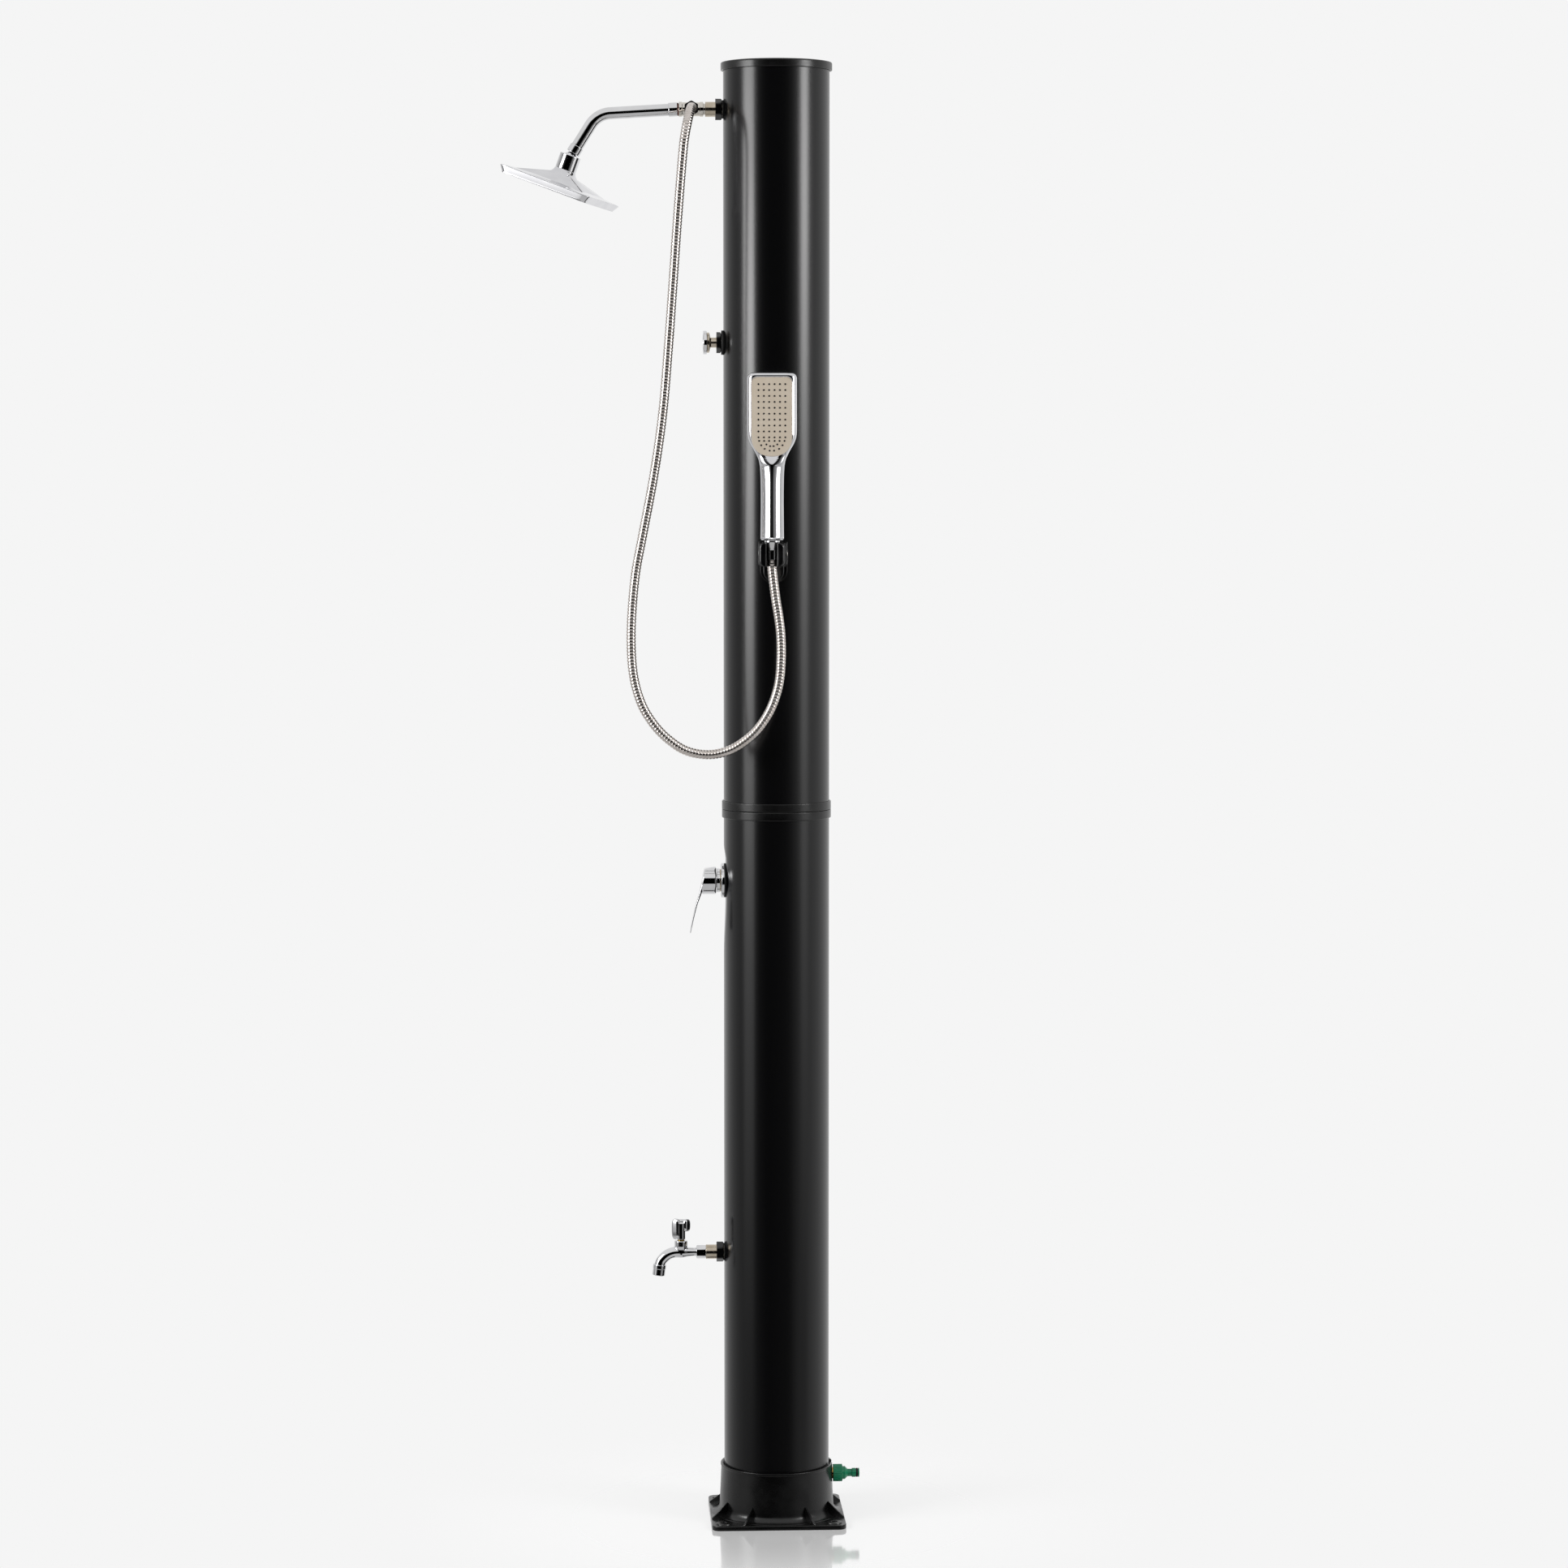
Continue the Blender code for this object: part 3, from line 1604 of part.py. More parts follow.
# The garden-hose inlet: a brass nipple and a plastic quick-connect tail
def make_inlet():
    axis = inlet_axis
    flange_high = bore_at(inlet_flange_radius) - clearance
    flange_low = flange_high - inlet_flange_thickness
    inner = tank_bore_radius - inlet_reach_inside
    nipple_bore = inlet_nipple_radius - inlet_nipple_wall
    turned(
        "inlet_nipple",
        [
            (inlet_nipple_radius, inlet_nipple_end),
            (inlet_nipple_radius, flange_high),
            (inlet_flange_radius, flange_high),
            (inlet_flange_radius, flange_low),
            (inlet_nipple_radius, flange_low),
            (inlet_nipple_radius, inner),
            (nipple_bore, inner),
            (nipple_bore, inlet_nipple_end),
        ],
        axis,
        brass,
        ring=True,
    )
    over_nipple = inlet_nipple_radius + clearance
    lengths = [
        adaptor_nut_length,
        adaptor_step_length,
        adaptor_cone_length,
        adaptor_neck_length,
        adaptor_ring_length,
        adaptor_groove_length,
        adaptor_lip_length,
    ]
    ends = [adaptor_start]
    for length in lengths:
        ends.append(ends[-1] + length)
    edge = adaptor_lip_length / 3
    socket_end = inlet_nipple_end + clearance
    turned(
        "inlet_adaptor",
        [
            (adaptor_ring_radius - edge, ends[7]),
            (adaptor_ring_radius, ends[7] - edge),
            (adaptor_ring_radius, ends[6]),
            (adaptor_groove_radius, ends[6]),
            (adaptor_groove_radius, ends[5]),
            (adaptor_ring_radius, ends[5]),
            (adaptor_ring_radius, ends[4]),
            (adaptor_neck_radius, ends[4]),
            (adaptor_neck_radius, ends[3]),
            (adaptor_step_radius, ends[2]),
            (adaptor_step_radius, ends[1]),
            (adaptor_nut_radius, ends[1]),
            (adaptor_nut_radius, ends[0]),
            (over_nipple, ends[0]),
            (over_nipple, socket_end),
            (adaptor_bore_radius, socket_end),
            (adaptor_bore_radius, ends[7]),
        ],
        axis,
        green_plastic,
        ring=True,
    )
    sleeve(
        "inlet_o_ring",
        adaptor_ring_radius,
        adaptor_groove_radius + clearance,
        ends[5] + clearance,
        ends[6] - clearance,
        axis,
        black_rubber,
    )
    return Vector((inner - clearance, 0, inlet_height))


def rounded_path(corners, radius, steps=2):
    """Straight runs between corners, with each inner corner rounded."""
    points = [corners[0]]
    for before, corner, after in zip(corners, corners[1:], corners[2:]):
        came = (corner - before).normalized()
        goes = (after - corner).normalized()
        half_turn = came.angle(goes) / 2
        tangent = radius * math.tan(half_turn)
        centre = corner + (goes - came).normalized() * (radius / math.cos(half_turn))
        spoke = corner - came * tangent - centre
        hinge = came.cross(goes).normalized()
        for i in range(steps + 1):
            turn = Matrix.Rotation(2 * half_turn * i / steps, 3, hinge)
            points.append(centre + turn @ spoke)
    points.append(corners[-1])
    return points


def pipe(name, corners):
    """A pipe inside the tank along rounded corners, open at both ends."""
    points = rounded_path(corners, pipe_bend_radius)
    made = tube(name, points, pipe_radius, None, pex, resolution=1)
    first = (points[0] - points[1]).normalized() * pipe_radius
    last = (points[-1] - points[-2]).normalized() * pipe_radius
    longer = [points[0] + first, *points[1:-1], points[-1] + last]
    return cut(made, tube(name + "_bore", longer, pipe_bore_radius, resolution=1))


def make_pipes(ports, inlet_end):
    port_gap = mixer_port_reach + clearance
    riser_low = ports["riser"][0] + up * port_gap
    arm_end = Vector((-(tank_bore_radius - fitting_reach_inside - clearance), 0, arm_height))
    shift = crossover_drop
    pipe(
        "riser_pipe",
        [
            riser_low,
            riser_low + up * shift,
            Vector((-riser_offset, 0, riser_low.z + 2 * shift)),
            Vector((-riser_offset, 0, arm_height)),
            arm_end,
        ],
    )
    hot_top = ports["hot"][0] - up * port_gap
    loop_z = hot_top.z - pickup_loop_drop - pipe_bend_radius
    loop_x = pickup_offset + pipe_bend_radius
    pipe(
        "hot_pickup_pipe",
        [
            hot_top,
            Vector((hot_top.x, hot_top.y, loop_z)),
            Vector((loop_x, hot_top.y, loop_z)),
            Vector((loop_x, hot_top.y, total_height - cap_top - pickup_top_gap)),
        ],
    )
    cold_top = ports["cold"][0] - up * port_gap
    cross_high = cold_top.z - shift
    pipe(
        "cold_feed_pipe",
        [
            inlet_end,
            Vector((feed_offset - pipe_bend_radius, 0, inlet_height)),
            Vector((feed_offset - pipe_bend_radius, 0, cross_high - shift)),
            Vector((cold_top.x, cold_top.y, cross_high)),
            cold_top,
        ],
    )


# The holder on the wall of the tank and its tilting cradle
def make_holder():
    turn = math.radians(holder_turn)
    out = Vector((-math.sin(turn), -math.cos(turn), 0))
    across = Vector((math.cos(turn), -math.sin(turn), 0))
    pivot_radial = tank_radius + pivot_out
    pivot = out * pivot_radial + up * pivot_height
    pivot_axis = anchor("holder_pivot_axis", pivot, across, up)
    wall_axis = anchor("holder_wall_axis", up * pivot_height, out, up)
    corner = wall_plate_half_width * 0.9
    plate_out = tank_radius + wall_plate_thickness
    base = block(
        "holder_base",
        (-wall_plate_down, -wall_plate_half_width, tank_radius * 0.9),
        (wall_plate_up, wall_plate_half_width, plate_out),
        wall_axis,
        black_abs,
        corner=corner,
        segments=5,
    )
    neck = block(
        "holder_neck",
        (-holder_neck_half_height, -holder_neck_half_width, tank_radius),
        (holder_neck_half_height, holder_neck_half_width, pivot_radial),
        wall_axis,
    )
    drum = rod("drum", drum_radius, -drum_half_width, drum_half_width, pivot_axis)
    join(base, neck, drum)
    ear_low = drum_half_width + clearance
    ear_high = ear_low + ear_width
    pin_hole = rod(
        "pin_bore", pin_radius + clearance, -2 * ear_high, 2 * ear_high, pivot_axis, sides=small_sides
    )
    ear_space = ear_radius + 2 * clearance
    beyond = 2 * wall_plate_half_width
    cut(
        base,
        tank_skin(pivot_height, 2 * wall_plate_down),
        pin_hole,
        rod("ear_space", ear_space, drum_half_width, beyond, pivot_axis, sides=large_sides),
        rod("ear_space", ear_space, -beyond, -drum_half_width, pivot_axis, sides=large_sides),
    )
    rod("holder_pin", pin_radius, -ear_high, ear_high, pivot_axis, steel, small_sides)
    cone = handset_frame()
    cone_top = handset_height - clearance
    cradle_top = cone_top - cone_nut_band - clearance - handset_height
    cradle_bottom = pivot_height - cradle_down - handset_height
    corners = arc(
        prong_half_width - cradle_corner, cradle_corner - cradle_front, cradle_corner, 0, -90, 3
    )
    outline = [(prong_half_width, cradle_behind), *corners]
    outline += [(-x, y) for x, y in reversed(outline)]
    cradle = outline_plate("holder_cradle", outline, cradle_bottom, cradle_top, cone, black_abs)
    ears = [
        rod("ear", ear_radius, ear_low, ear_high, pivot_axis, sides=large_sides),
        rod("ear", ear_radius, -ear_high, -ear_low, pivot_axis, sides=large_sides),
    ]
    steepness = (cone_nut_upper_radius - cone_nut_lower_radius) / (cone_nut_length - cone_nut_band)
    rest = 2 * clearance
    top_radius = cone_nut_upper_radius + rest
    low_radius = top_radius - steepness * (cradle_top - cradle_bottom)
    margin = cone_nut_band
    seat = turned(
        "cone_seat",
        [
            (0, cradle_top + margin),
            (top_radius + steepness * margin, cradle_top + margin),
            (low_radius - steepness * margin, cradle_bottom - margin),
            (0, cradle_bottom - margin),
        ],
        cone,
    )
    slot = block(
        "hose_slot",
        (-slot_width / 2, -cradle_front * 2, cradle_bottom - margin),
        (slot_width / 2, 0, cradle_top + margin),
        cone,
    )
    drum_space = rod(
        "drum_space",
        drum_radius + 2 * clearance,
        -ear_low,
        ear_low,
        pivot_axis,
    )
    join(cradle, *ears)
    cut(cradle, seat, slot, drum_space, pin_hole)


def handset_frame():
    """The hand shower's frame: -Y faces out from the column, +Z is up its handle."""
    turn = math.radians(holder_turn)
    out = Vector((-math.sin(turn), -math.cos(turn), 0))
    across = Vector((math.cos(turn), -math.sin(turn), 0))
    place = out * (tank_radius + handset_out) + up * handset_height
    return anchor("handset_axis", place, up, across)


def make_handset():
    frame = handset_frame()
    low = 0.003
    waist = 0.108
    neck = [(0.1185, 0.14, 0.6), (0.129, 0.46, 0.3), (0.1397, 0.79, 0.05), (0.155, 1.0, 0.0)]
    sections = [
        (0.0, handle_half_width * 0.90, handle_half_thickness * 0.88, 2.4),
        (low, handle_half_width * 0.99, handle_half_thickness, 2.4),
        (waist * 0.5, handle_half_width * 0.97, handle_half_thickness, 2.4),
        (waist, handle_half_width * 1.01, handle_half_thickness * 0.96, 2.6),
    ]
    for height, wide, thick in neck:
        sections.append(
            (
                height,
                handle_half_width + (head_half_width - handle_half_width) * wide,
                head_half_thickness + (handle_half_thickness - head_half_thickness) * thick,
                2.8 + 2.2 * wide,
            )
        )
    for height, wide, thick in [(0.229, 1.0, 1.0), (0.2365, 0.955, 0.97), (0.2412, 0.83, 0.88)]:
        share = height / 0.243
        sections.append(
            (
                handset_length * share,
                head_half_width * wide,
                head_half_thickness * thick,
                5.0,
            )
        )
    sections.append((handset_length, head_half_width * 0.66, head_half_thickness * 0.72, 4.0))
    rings = [
        squircle(wide, thick, square, height, 20)
        for height, wide, thick, square in reversed(sections)
    ]
    body = loft("handset_body", rings, frame, chrome)
    stub = rod(
        "handset_stub",
        handset_stub_radius,
        -handset_stub_length,
        low,
        frame,
    )
    face_frame = anchor(
        "face_axis",
        frame.matrix_world.translation,
        frame.matrix_world.to_3x3() @ Vector((0, -1, 0)),
        up,
    )
    half = face_half_width

    def face_outline(grow):
        """The face's outline as (height, across) points, grown by a margin."""
        top = face_top + grow
        wide = half + grow
        radius = face_corner + grow
        curve_top = face_bottom + face_curve
        right_side = arc(top - radius, wide - radius, radius, 0, 90, 3)
        bottom = []
        for i in range(1, 8):
            turn = math.pi / 2 + math.pi / 2 * i / 8
            bottom.append(
                (
                    curve_top + (face_curve + grow) * math.cos(turn),
                    wide * math.sin(turn) ** 0.8,
                )
            )
        side = [*right_side, (curve_top, wide), *bottom]
        tip = [(face_bottom - grow, 0)]
        return side + tip + [(x, -y) for x, y in reversed(side)]

    back = head_half_thickness + face_proud - face_thickness
    pocket = outline_plate(
        "face_pocket",
        face_outline(clearance),
        back - clearance,
        head_half_thickness * 2,
        face_frame,
    )
    outline_plate(
        "handset_face",
        face_outline(0.0),
        back,
        back + face_thickness,
        face_frame,
        beige_plastic,
    )
    chamber = block(
        "water_chamber",
        (
            face_bottom + face_curve,
            -chamber_half_width,
            back - chamber_depth,
        ),
        (face_top - chamber_margin, chamber_half_width, head_half_thickness),
        face_frame,
    )
    bore = rod(
        "handle_bore",
        handset_bore_radius,
        -handset_stub_length * 2,
        face_bottom + face_curve + chamber_depth,
        frame,
        sides=small_sides,
    )
    join(body, stub)
    cut(body, pocket, chamber, bore)
    over_stub = handset_stub_radius + clearance
    nut_top = -clearance
    nut_bottom = nut_top - cone_nut_length
    inner_step = -handset_stub_length - clearance
    turned(
        "hose_cone_nut",
        [
            (cone_nut_top_radius, nut_top),
            (cone_nut_top_radius, nut_top - cone_nut_band),
            (cone_nut_upper_radius, nut_top - cone_nut_band - clearance),
            (cone_nut_lower_radius, nut_bottom),
            (cone_nut_bore_radius, nut_bottom),
            (cone_nut_bore_radius, inner_step),
            (over_stub, inner_step),
            (over_stub, nut_top),
        ],
        frame,
        chrome,
        ring=True,
    )
    return frame.matrix_world @ Vector((0, 0, nut_bottom - clearance))


# The hose hangs free from the tee to the hand shower. Its route is chosen by hand:
# straight out of the tee, down beside the column, round and up in front of it.
# A height is a share of the strand's own height above the lowest point.
falling_strand = [
    (-0.1270, -0.0560, 0.9979),
    (-0.1295, -0.0720, 0.9899),
    (-0.1330, -0.0860, 0.9751),
    (-0.1370, -0.0955, 0.9539),
    (-0.1405, -0.0995, 0.9243),
    (-0.1480, -0.1005, 0.8289),
    (-0.1547, -0.1005, 0.7304),
    (-0.1612, -0.1005, 0.6382),
    (-0.1700, -0.1005, 0.5302),
    (-0.1830, -0.1005, 0.4338),
    (-0.1995, -0.1005, 0.3416),
    (-0.2105, -0.1010, 0.2791),
    (-0.2163, -0.1015, 0.2113),
    (-0.2168, -0.1025, 0.1594),
    (-0.2130, -0.1035, 0.1181),
    (-0.2035, -0.1045, 0.0821),
    (-0.1895, -0.1050, 0.0546),
    (-0.1690, -0.1060, 0.0291),
    (-0.1400, -0.1070, 0.0074),
    (-0.1080, -0.1080, 0.0000),
]
rising_strand = [
    (-0.0790, -0.1090, 0.0158),
    (-0.0550, -0.1100, 0.0597),
    (-0.0320, -0.1120, 0.1334),
    (-0.0135, -0.1140, 0.2369),
    (-0.0022, -0.1165, 0.3598),
    (0.0012, -0.1190, 0.4861),
    (0.0007, -0.1205, 0.6125),
    (-0.0025, -0.1218, 0.7108),
    (-0.0070, -0.1228, 0.8091),
]


def smooth_route(points, count):
    """count points, evenly spaced, on one smooth curve through the given points."""
    given = np.array(points, float)
    ends = [2 * given[0] - given[1], 2 * given[-1] - given[-2]]
    padded = np.vstack([ends[0], given, ends[1]])
    fine = []
    share = np.linspace(0, 1, 24, endpoint=False)[:, None]
    for i in range(1, len(padded) - 2):
        a, b, c, d = padded[i - 1 : i + 3]
        fine.append(
            0.5
            * (
                2 * b
                + (c - a) * share
                + (2 * a - 5 * b + 4 * c - d) * share**2
                + (3 * b - a - 3 * c + d) * share**3
            )
        )
    line = np.vstack([*fine, given[-1]])
    steps = np.linalg.norm(np.diff(line, axis=0), axis=1)
    along = np.concatenate([[0], np.cumsum(steps)])
    at = np.linspace(0, along[-1], count)
    even = np.stack([np.interp(at, along, line[:, k]) for k in range(3)], axis=1)
    return even, along[-1]


def make_hose(start, end):
    straight_out = start + front * hose_straight
    straight_in = end - up * hose_straight
    falling = start.z - hose_low
    rising = end.z - hose_low
    middle = [(x, y, hose_low + share * falling) for x, y, share in falling_strand]
    middle += [(x, y, hose_low + share * rising) for x, y, share in rising_strand]
    points = [tuple(start), tuple(straight_out), *middle, tuple(straight_in), tuple(end)]
    count = 2 * hose_ribs + 1
    line, length = smooth_route(points, count)
    radii = [1.0 if i % 2 else hose_valley_radius / hose_radius for i in range(count)]
    hose = tube("hose", [tuple(p) for p in line], hose_radius, None, steel, 2, radii)
    core, _ = smooth_route(points, bore_points)
    core[0] -= np.array(front) * hose_radius
    core[-1] += np.array(up) * hose_radius
    cut(hose, tube("hose_bore", [tuple(p) for p in core], hose_bore_radius))
    print(f"hose length {length:.4f} m, rib pitch {1000 * length / hose_ribs:.1f} mm")


def bake_and_smooth():
    """Gives each part its finished mesh, smooth where it is round and sharp at its edges."""
    bpy.context.view_layer.update()
    graph = bpy.context.evaluated_depsgraph_get()
    made = {obj: bpy.data.meshes.new_from_object(obj.evaluated_get(graph)) for obj in parts.objects}
    for obj, mesh in made.items():
        obj.modifiers.clear()
        obj.data = mesh
        mesh.shade_smooth()
        mesh.set_sharp_from_angle(angle=math.radians(32))


make_foot()
make_tanks()
make_couplings()
make_caps()
arm_nipple_end = wall_fitting(
    "outlet",
    arm_axis,
    arm_nipple_radius,
    arm_washer_thickness,
    arm_nut_radius,
    arm_nut_length,
    arm_nipple_length,
)
tap_nipple_end = wall_fitting(
    "tap",
    tap_axis,
    tap_nipple_radius,
    tap_washer_thickness,
    tap_nut_radius,
    tap_nut_length,
    tap_nipple_length,
)
tee_mouth, hose_start = make_tee(arm_nipple_end)
ball_centre = make_arm(tee_mouth)
make_rain_head(ball_centre)
make_thermometer()
mixer_ports = make_mixer()
make_tap(tap_nipple_end)
inlet_end = make_inlet()
make_pipes(mixer_ports, inlet_end)
make_holder()
hose_end = make_handset()
make_hose(hose_start, hose_end)
bake_and_smooth()
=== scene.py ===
# %% [markdown]
# # Solar shower
# A black water column warms in the sun, and a rain head, a hand shower, a lever mixer and a
# foot tap draw from it. The CAD part gives every place and every joint. This lesson dresses
# it: each cell makes one piece or one finish, and the piece rides on the CAD body it
# belongs to, so that it moves when the joint does. Lengths are in millimetres, as on a
# workshop drawing, and turn into metres when a mesh is made.

import math

import bpy
import numpy as np
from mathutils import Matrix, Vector
from mathutils.geometry import delaunay_2d_cdt


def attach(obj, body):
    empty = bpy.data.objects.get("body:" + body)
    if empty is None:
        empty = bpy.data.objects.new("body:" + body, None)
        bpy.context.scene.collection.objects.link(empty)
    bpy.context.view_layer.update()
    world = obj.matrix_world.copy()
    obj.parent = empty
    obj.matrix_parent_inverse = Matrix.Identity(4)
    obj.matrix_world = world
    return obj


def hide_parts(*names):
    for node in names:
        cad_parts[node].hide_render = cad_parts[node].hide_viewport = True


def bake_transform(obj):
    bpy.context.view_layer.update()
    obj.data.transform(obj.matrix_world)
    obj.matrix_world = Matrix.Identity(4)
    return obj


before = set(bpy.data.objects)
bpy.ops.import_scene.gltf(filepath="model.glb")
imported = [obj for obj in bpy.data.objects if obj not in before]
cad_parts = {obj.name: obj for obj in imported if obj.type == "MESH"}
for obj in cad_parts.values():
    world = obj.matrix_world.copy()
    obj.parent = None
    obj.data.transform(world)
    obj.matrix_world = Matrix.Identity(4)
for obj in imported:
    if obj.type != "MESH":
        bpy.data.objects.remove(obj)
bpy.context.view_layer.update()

# %% [markdown]
# ## The camera
# A product photograph of something tall is taken from far away with a long lens, so that
# its upright lines stay upright. A short lens close by would show the same frame but would
# swell the middle. So the camera stands 6.45 m away at eye height and looks down 4.4
# degrees, and its lens is worked out from how large the column is in the frame.

# %% Camera
image_size, focal_pixels = 1932, 5350
camera_yaw = math.radians(2.7) + math.atan(9.5 / focal_pixels)
camera_pitch = math.radians(4.4)
level_reach = math.cos(camera_pitch)
ahead = (
    math.sin(camera_yaw) * level_reach,
    math.cos(camera_yaw) * level_reach,
    -math.sin(camera_pitch),
)
camera_data = bpy.data.cameras.new("photo_camera")
camera_data.sensor_width = 36.0
camera_data.lens = focal_pixels / image_size * 36.0
camera_data.clip_end = 60.0
camera = bpy.data.objects.new("photo_camera", camera_data)
camera.location = (-0.304, -6.443, 1.602)
camera.rotation_euler = Vector(ahead).to_track_quat("-Z", "Y").to_euler()
bpy.context.scene.collection.objects.link(camera)
bpy.context.scene.camera = camera
print(f"lens {camera_data.lens:.1f} mm")

# %% [markdown]
# ## Tools for surfaces
# Nearly every piece here is turned on a lathe, bent from tube or moulded. All of these are
# grids: rows of points along the piece and columns round it. One function turns such a grid
# into a mesh, closes its ends and turns its faces outward, and the others only work out
# where the points are, as whole arrays.


# %% From a grid to a mesh
def outward(points, faces):
    """The same faces, all turned over if the volume they enclose comes out negative.
    The volume is the sum of a . (b x c) / 6 over the triangles that fan out from each
    face's first corner."""
    total = 0.0
    for size in sorted({len(face) for face in faces}):
        same = np.array([face for face in faces if len(face) == size], int)
        for k in range(1, size - 1):
            a, b, c = points[same[:, 0]], points[same[:, k]], points[same[:, k + 1]]
            total += np.einsum("ij,ij->", a, np.cross(b, c)) / 6
    return faces if total >= 0 else [face[::-1] for face in faces]


def grid_faces(rows, columns, closed_rows=False, offset=0):
    """Quads between neighbouring rows of a grid whose columns go all the way round."""
    last = rows if closed_rows else rows - 1
    r, c = np.meshgrid(np.arange(last), np.arange(columns), indexing="ij")
    above, beside = (r + 1) % rows, (c + 1) % columns
    corners = [r * columns + c, r * columns + beside]
    corners += [above * columns + beside, above * columns + c]
    return (np.stack(corners, -1).reshape(-1, 4) + offset).tolist()


def shell(grid, ring=False):
    """A closed surface from a grid of shape (rows, columns, 3) whose columns go round. A
    ring's last row joins its first, so that the piece has a hole through it, and anything
    else closes each end row with a fan to its middle."""
    rows, columns = grid.shape[:2]
    points = grid.reshape(-1, 3)
    faces = grid_faces(rows, columns, ring)
    if not ring:
        points = np.vstack([points, grid[0].mean(0), grid[-1].mean(0)])
        here = np.arange(columns)
        after = (here + 1) % columns
        first, last = rows * columns, rows * columns + 1
        base = (rows - 1) * columns
        faces += np.stack([after, here, np.full(columns, first)], 1).tolist()
        faces += np.stack([base + here, base + after, np.full(columns, last)], 1).tolist()
    return points, outward(points, faces)


def merged(*shells):
    """Several closed surfaces as one list of points and faces."""
    points, faces, start = [], [], 0
    for some_points, some_faces in shells:
        points.append(some_points)
        faces += [[i + start for i in face] for face in some_faces]
        start += len(some_points)
    return np.vstack(points), faces


def piece(name, surface, finish, *stands_for, body="column"):
    """One finished object: the surface's mesh at the origin, riding on a CAD body."""
    points, faces = surface
    mesh = bpy.data.meshes.new(name)
    mesh.from_pydata((points / 1000).tolist(), [], faces)
    mesh.validate()
    mesh.update()
    mesh.polygons.foreach_set("use_smooth", np.full(len(mesh.polygons), True))
    mesh.materials.append(finish)
    made = bpy.data.objects.new(name, mesh)
    bpy.context.scene.collection.objects.link(made)
    if body:
        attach(made, body)
    if stands_for:
        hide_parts(*stands_for)
    print(f"{name}: {len(mesh.polygons)} faces")
    return made


print("grid tools ready")

# %% Frames, profiles and paths
UP, LEFT, FRONT = np.array([0, 0, 1.0]), np.array([-1.0, 0, 0]), np.array([0, -1.0, 0])
RIGHT = -LEFT


def full_turn(count):
    """Angles evenly spaced once round."""
    return np.linspace(0, 2 * np.pi, count, endpoint=False)


def arc(radius, angles):
    """Points of a circle's arc, as (x, y) rows."""
    return radius * np.stack([np.cos(angles), np.sin(angles)], 1)


def around(reach, height, angles):
    """A grid of points: each row's reach turned round the axis at the row's height."""
    sides = (reach * np.cos(angles), reach * np.sin(angles), height)
    return np.stack(np.broadcast_arrays(*sides), -1)


def frame_at(origin, axis, leaning):
    """A matrix whose third column is axis and whose first leans towards leaning."""
    z = np.array(axis, float) / np.linalg.norm(axis)
    x = np.array(leaning, float) - np.dot(leaning, z) * z
    x = x / np.linalg.norm(x)
    made = np.eye(4)
    made[:3, 0], made[:3, 1], made[:3, 2], made[:3, 3] = x, np.cross(z, x), z, origin
    return made


def further(matrix, distance):
    """The same frame, moved along its own axis."""
    made = matrix.copy()
    made[:3, 3] += distance * matrix[:3, 2]
    return made


def placed(points, matrix):
    """Points of a piece's own frame, moved to the CAD's frame."""
    return points @ matrix[:3, :3].T + matrix[:3, 3]


def moved(surface, matrix):
    """A surface of a piece's own frame, placed in the CAD's frame."""
    return placed(surface[0], matrix), surface[1]


def smooth_step(value):
    """3 v^2 - 2 v^3 of the value held between 0 and 1."""
    value = np.clip(value, 0, 1)
    return value * value * (3 - 2 * value)


def soft_min(a, b, softness):
    """The smaller of two arrays, blended where they are within a few softness:
    min(a, b) - k log(1 + exp(-|a - b| / k))."""
    return np.minimum(a, b) - softness * np.log1p(np.exp(-np.abs(a - b) / softness))


def eased(corners, radius, closed=False, steps=4):
    """A drawn outline whose corners are rounded. Each corner is cut back along both sides
    by radius times the tangent of half its turn, at most 0.45 of the side, and an arc
    joins the cuts. A point beside each arc keeps the flat next to it flat."""
    corners = [np.array(c, float) for c in corners]
    radii = radius if np.ndim(radius) else [radius] * len(corners)
    count = len(corners)
    line = []
    for i, corner in enumerate(corners):
        if not closed and i in (0, count - 1):
            line.append(corner)
            continue
        came, goes = corner - corners[i - 1], corners[(i + 1) % count] - corner
        in_length, out_length = np.linalg.norm(came), np.linalg.norm(goes)
        came, goes = came / in_length, goes / out_length
        turn = math.acos(max(-1.0, min(1.0, float(came @ goes))))
        if turn < 0.02 or radii[i] <= 0:
            line.append(corner)
            continue
        reach = min(radii[i] * math.tan(turn / 2), 0.45 * in_length, 0.45 * out_length)
        own = reach / math.tan(turn / 2)
        to_centre = (goes - came) / np.linalg.norm(goes - came)
        centre = corner + to_centre * own / math.cos(turn / 2)
        first, last = corner - came * reach - centre, corner + goes * reach - centre
        if reach * 1.5 < 0.4 * in_length:
            line.append(corner - came * reach * 1.5)
        share = np.linspace(0, 1, steps + 1)[:, None]
        spokes = np.sin((1 - share) * turn) * first + np.sin(share * turn) * last
        line += list(centre + spokes / math.sin(turn))
        if reach * 1.5 < 0.4 * out_length:
            line.append(corner + goes * reach * 1.5)
    return np.array(line)


def turned(profile, matrix, sides=96, ring=False):
    """A lathe shape: every (radius, height) of the profile swept once round the axis."""
    profile = np.asarray(profile, float)
    if not ring:
        profile = profile[profile[:, 0] > 1e-4]
    return shell(placed(around(profile[:, :1], profile[:, 1:], full_turn(sides)), matrix), ring)


def lathe(corners, radius, matrix, sides=96):
    """A lathe shape from a drawn profile with rounded corners. A profile that stays clear
    of the axis goes all the way round its own section, as a ring."""
    ring = min(r for r, _ in corners) > 0
    return turned(eased(corners, radius, closed=ring), matrix, sides, ring)


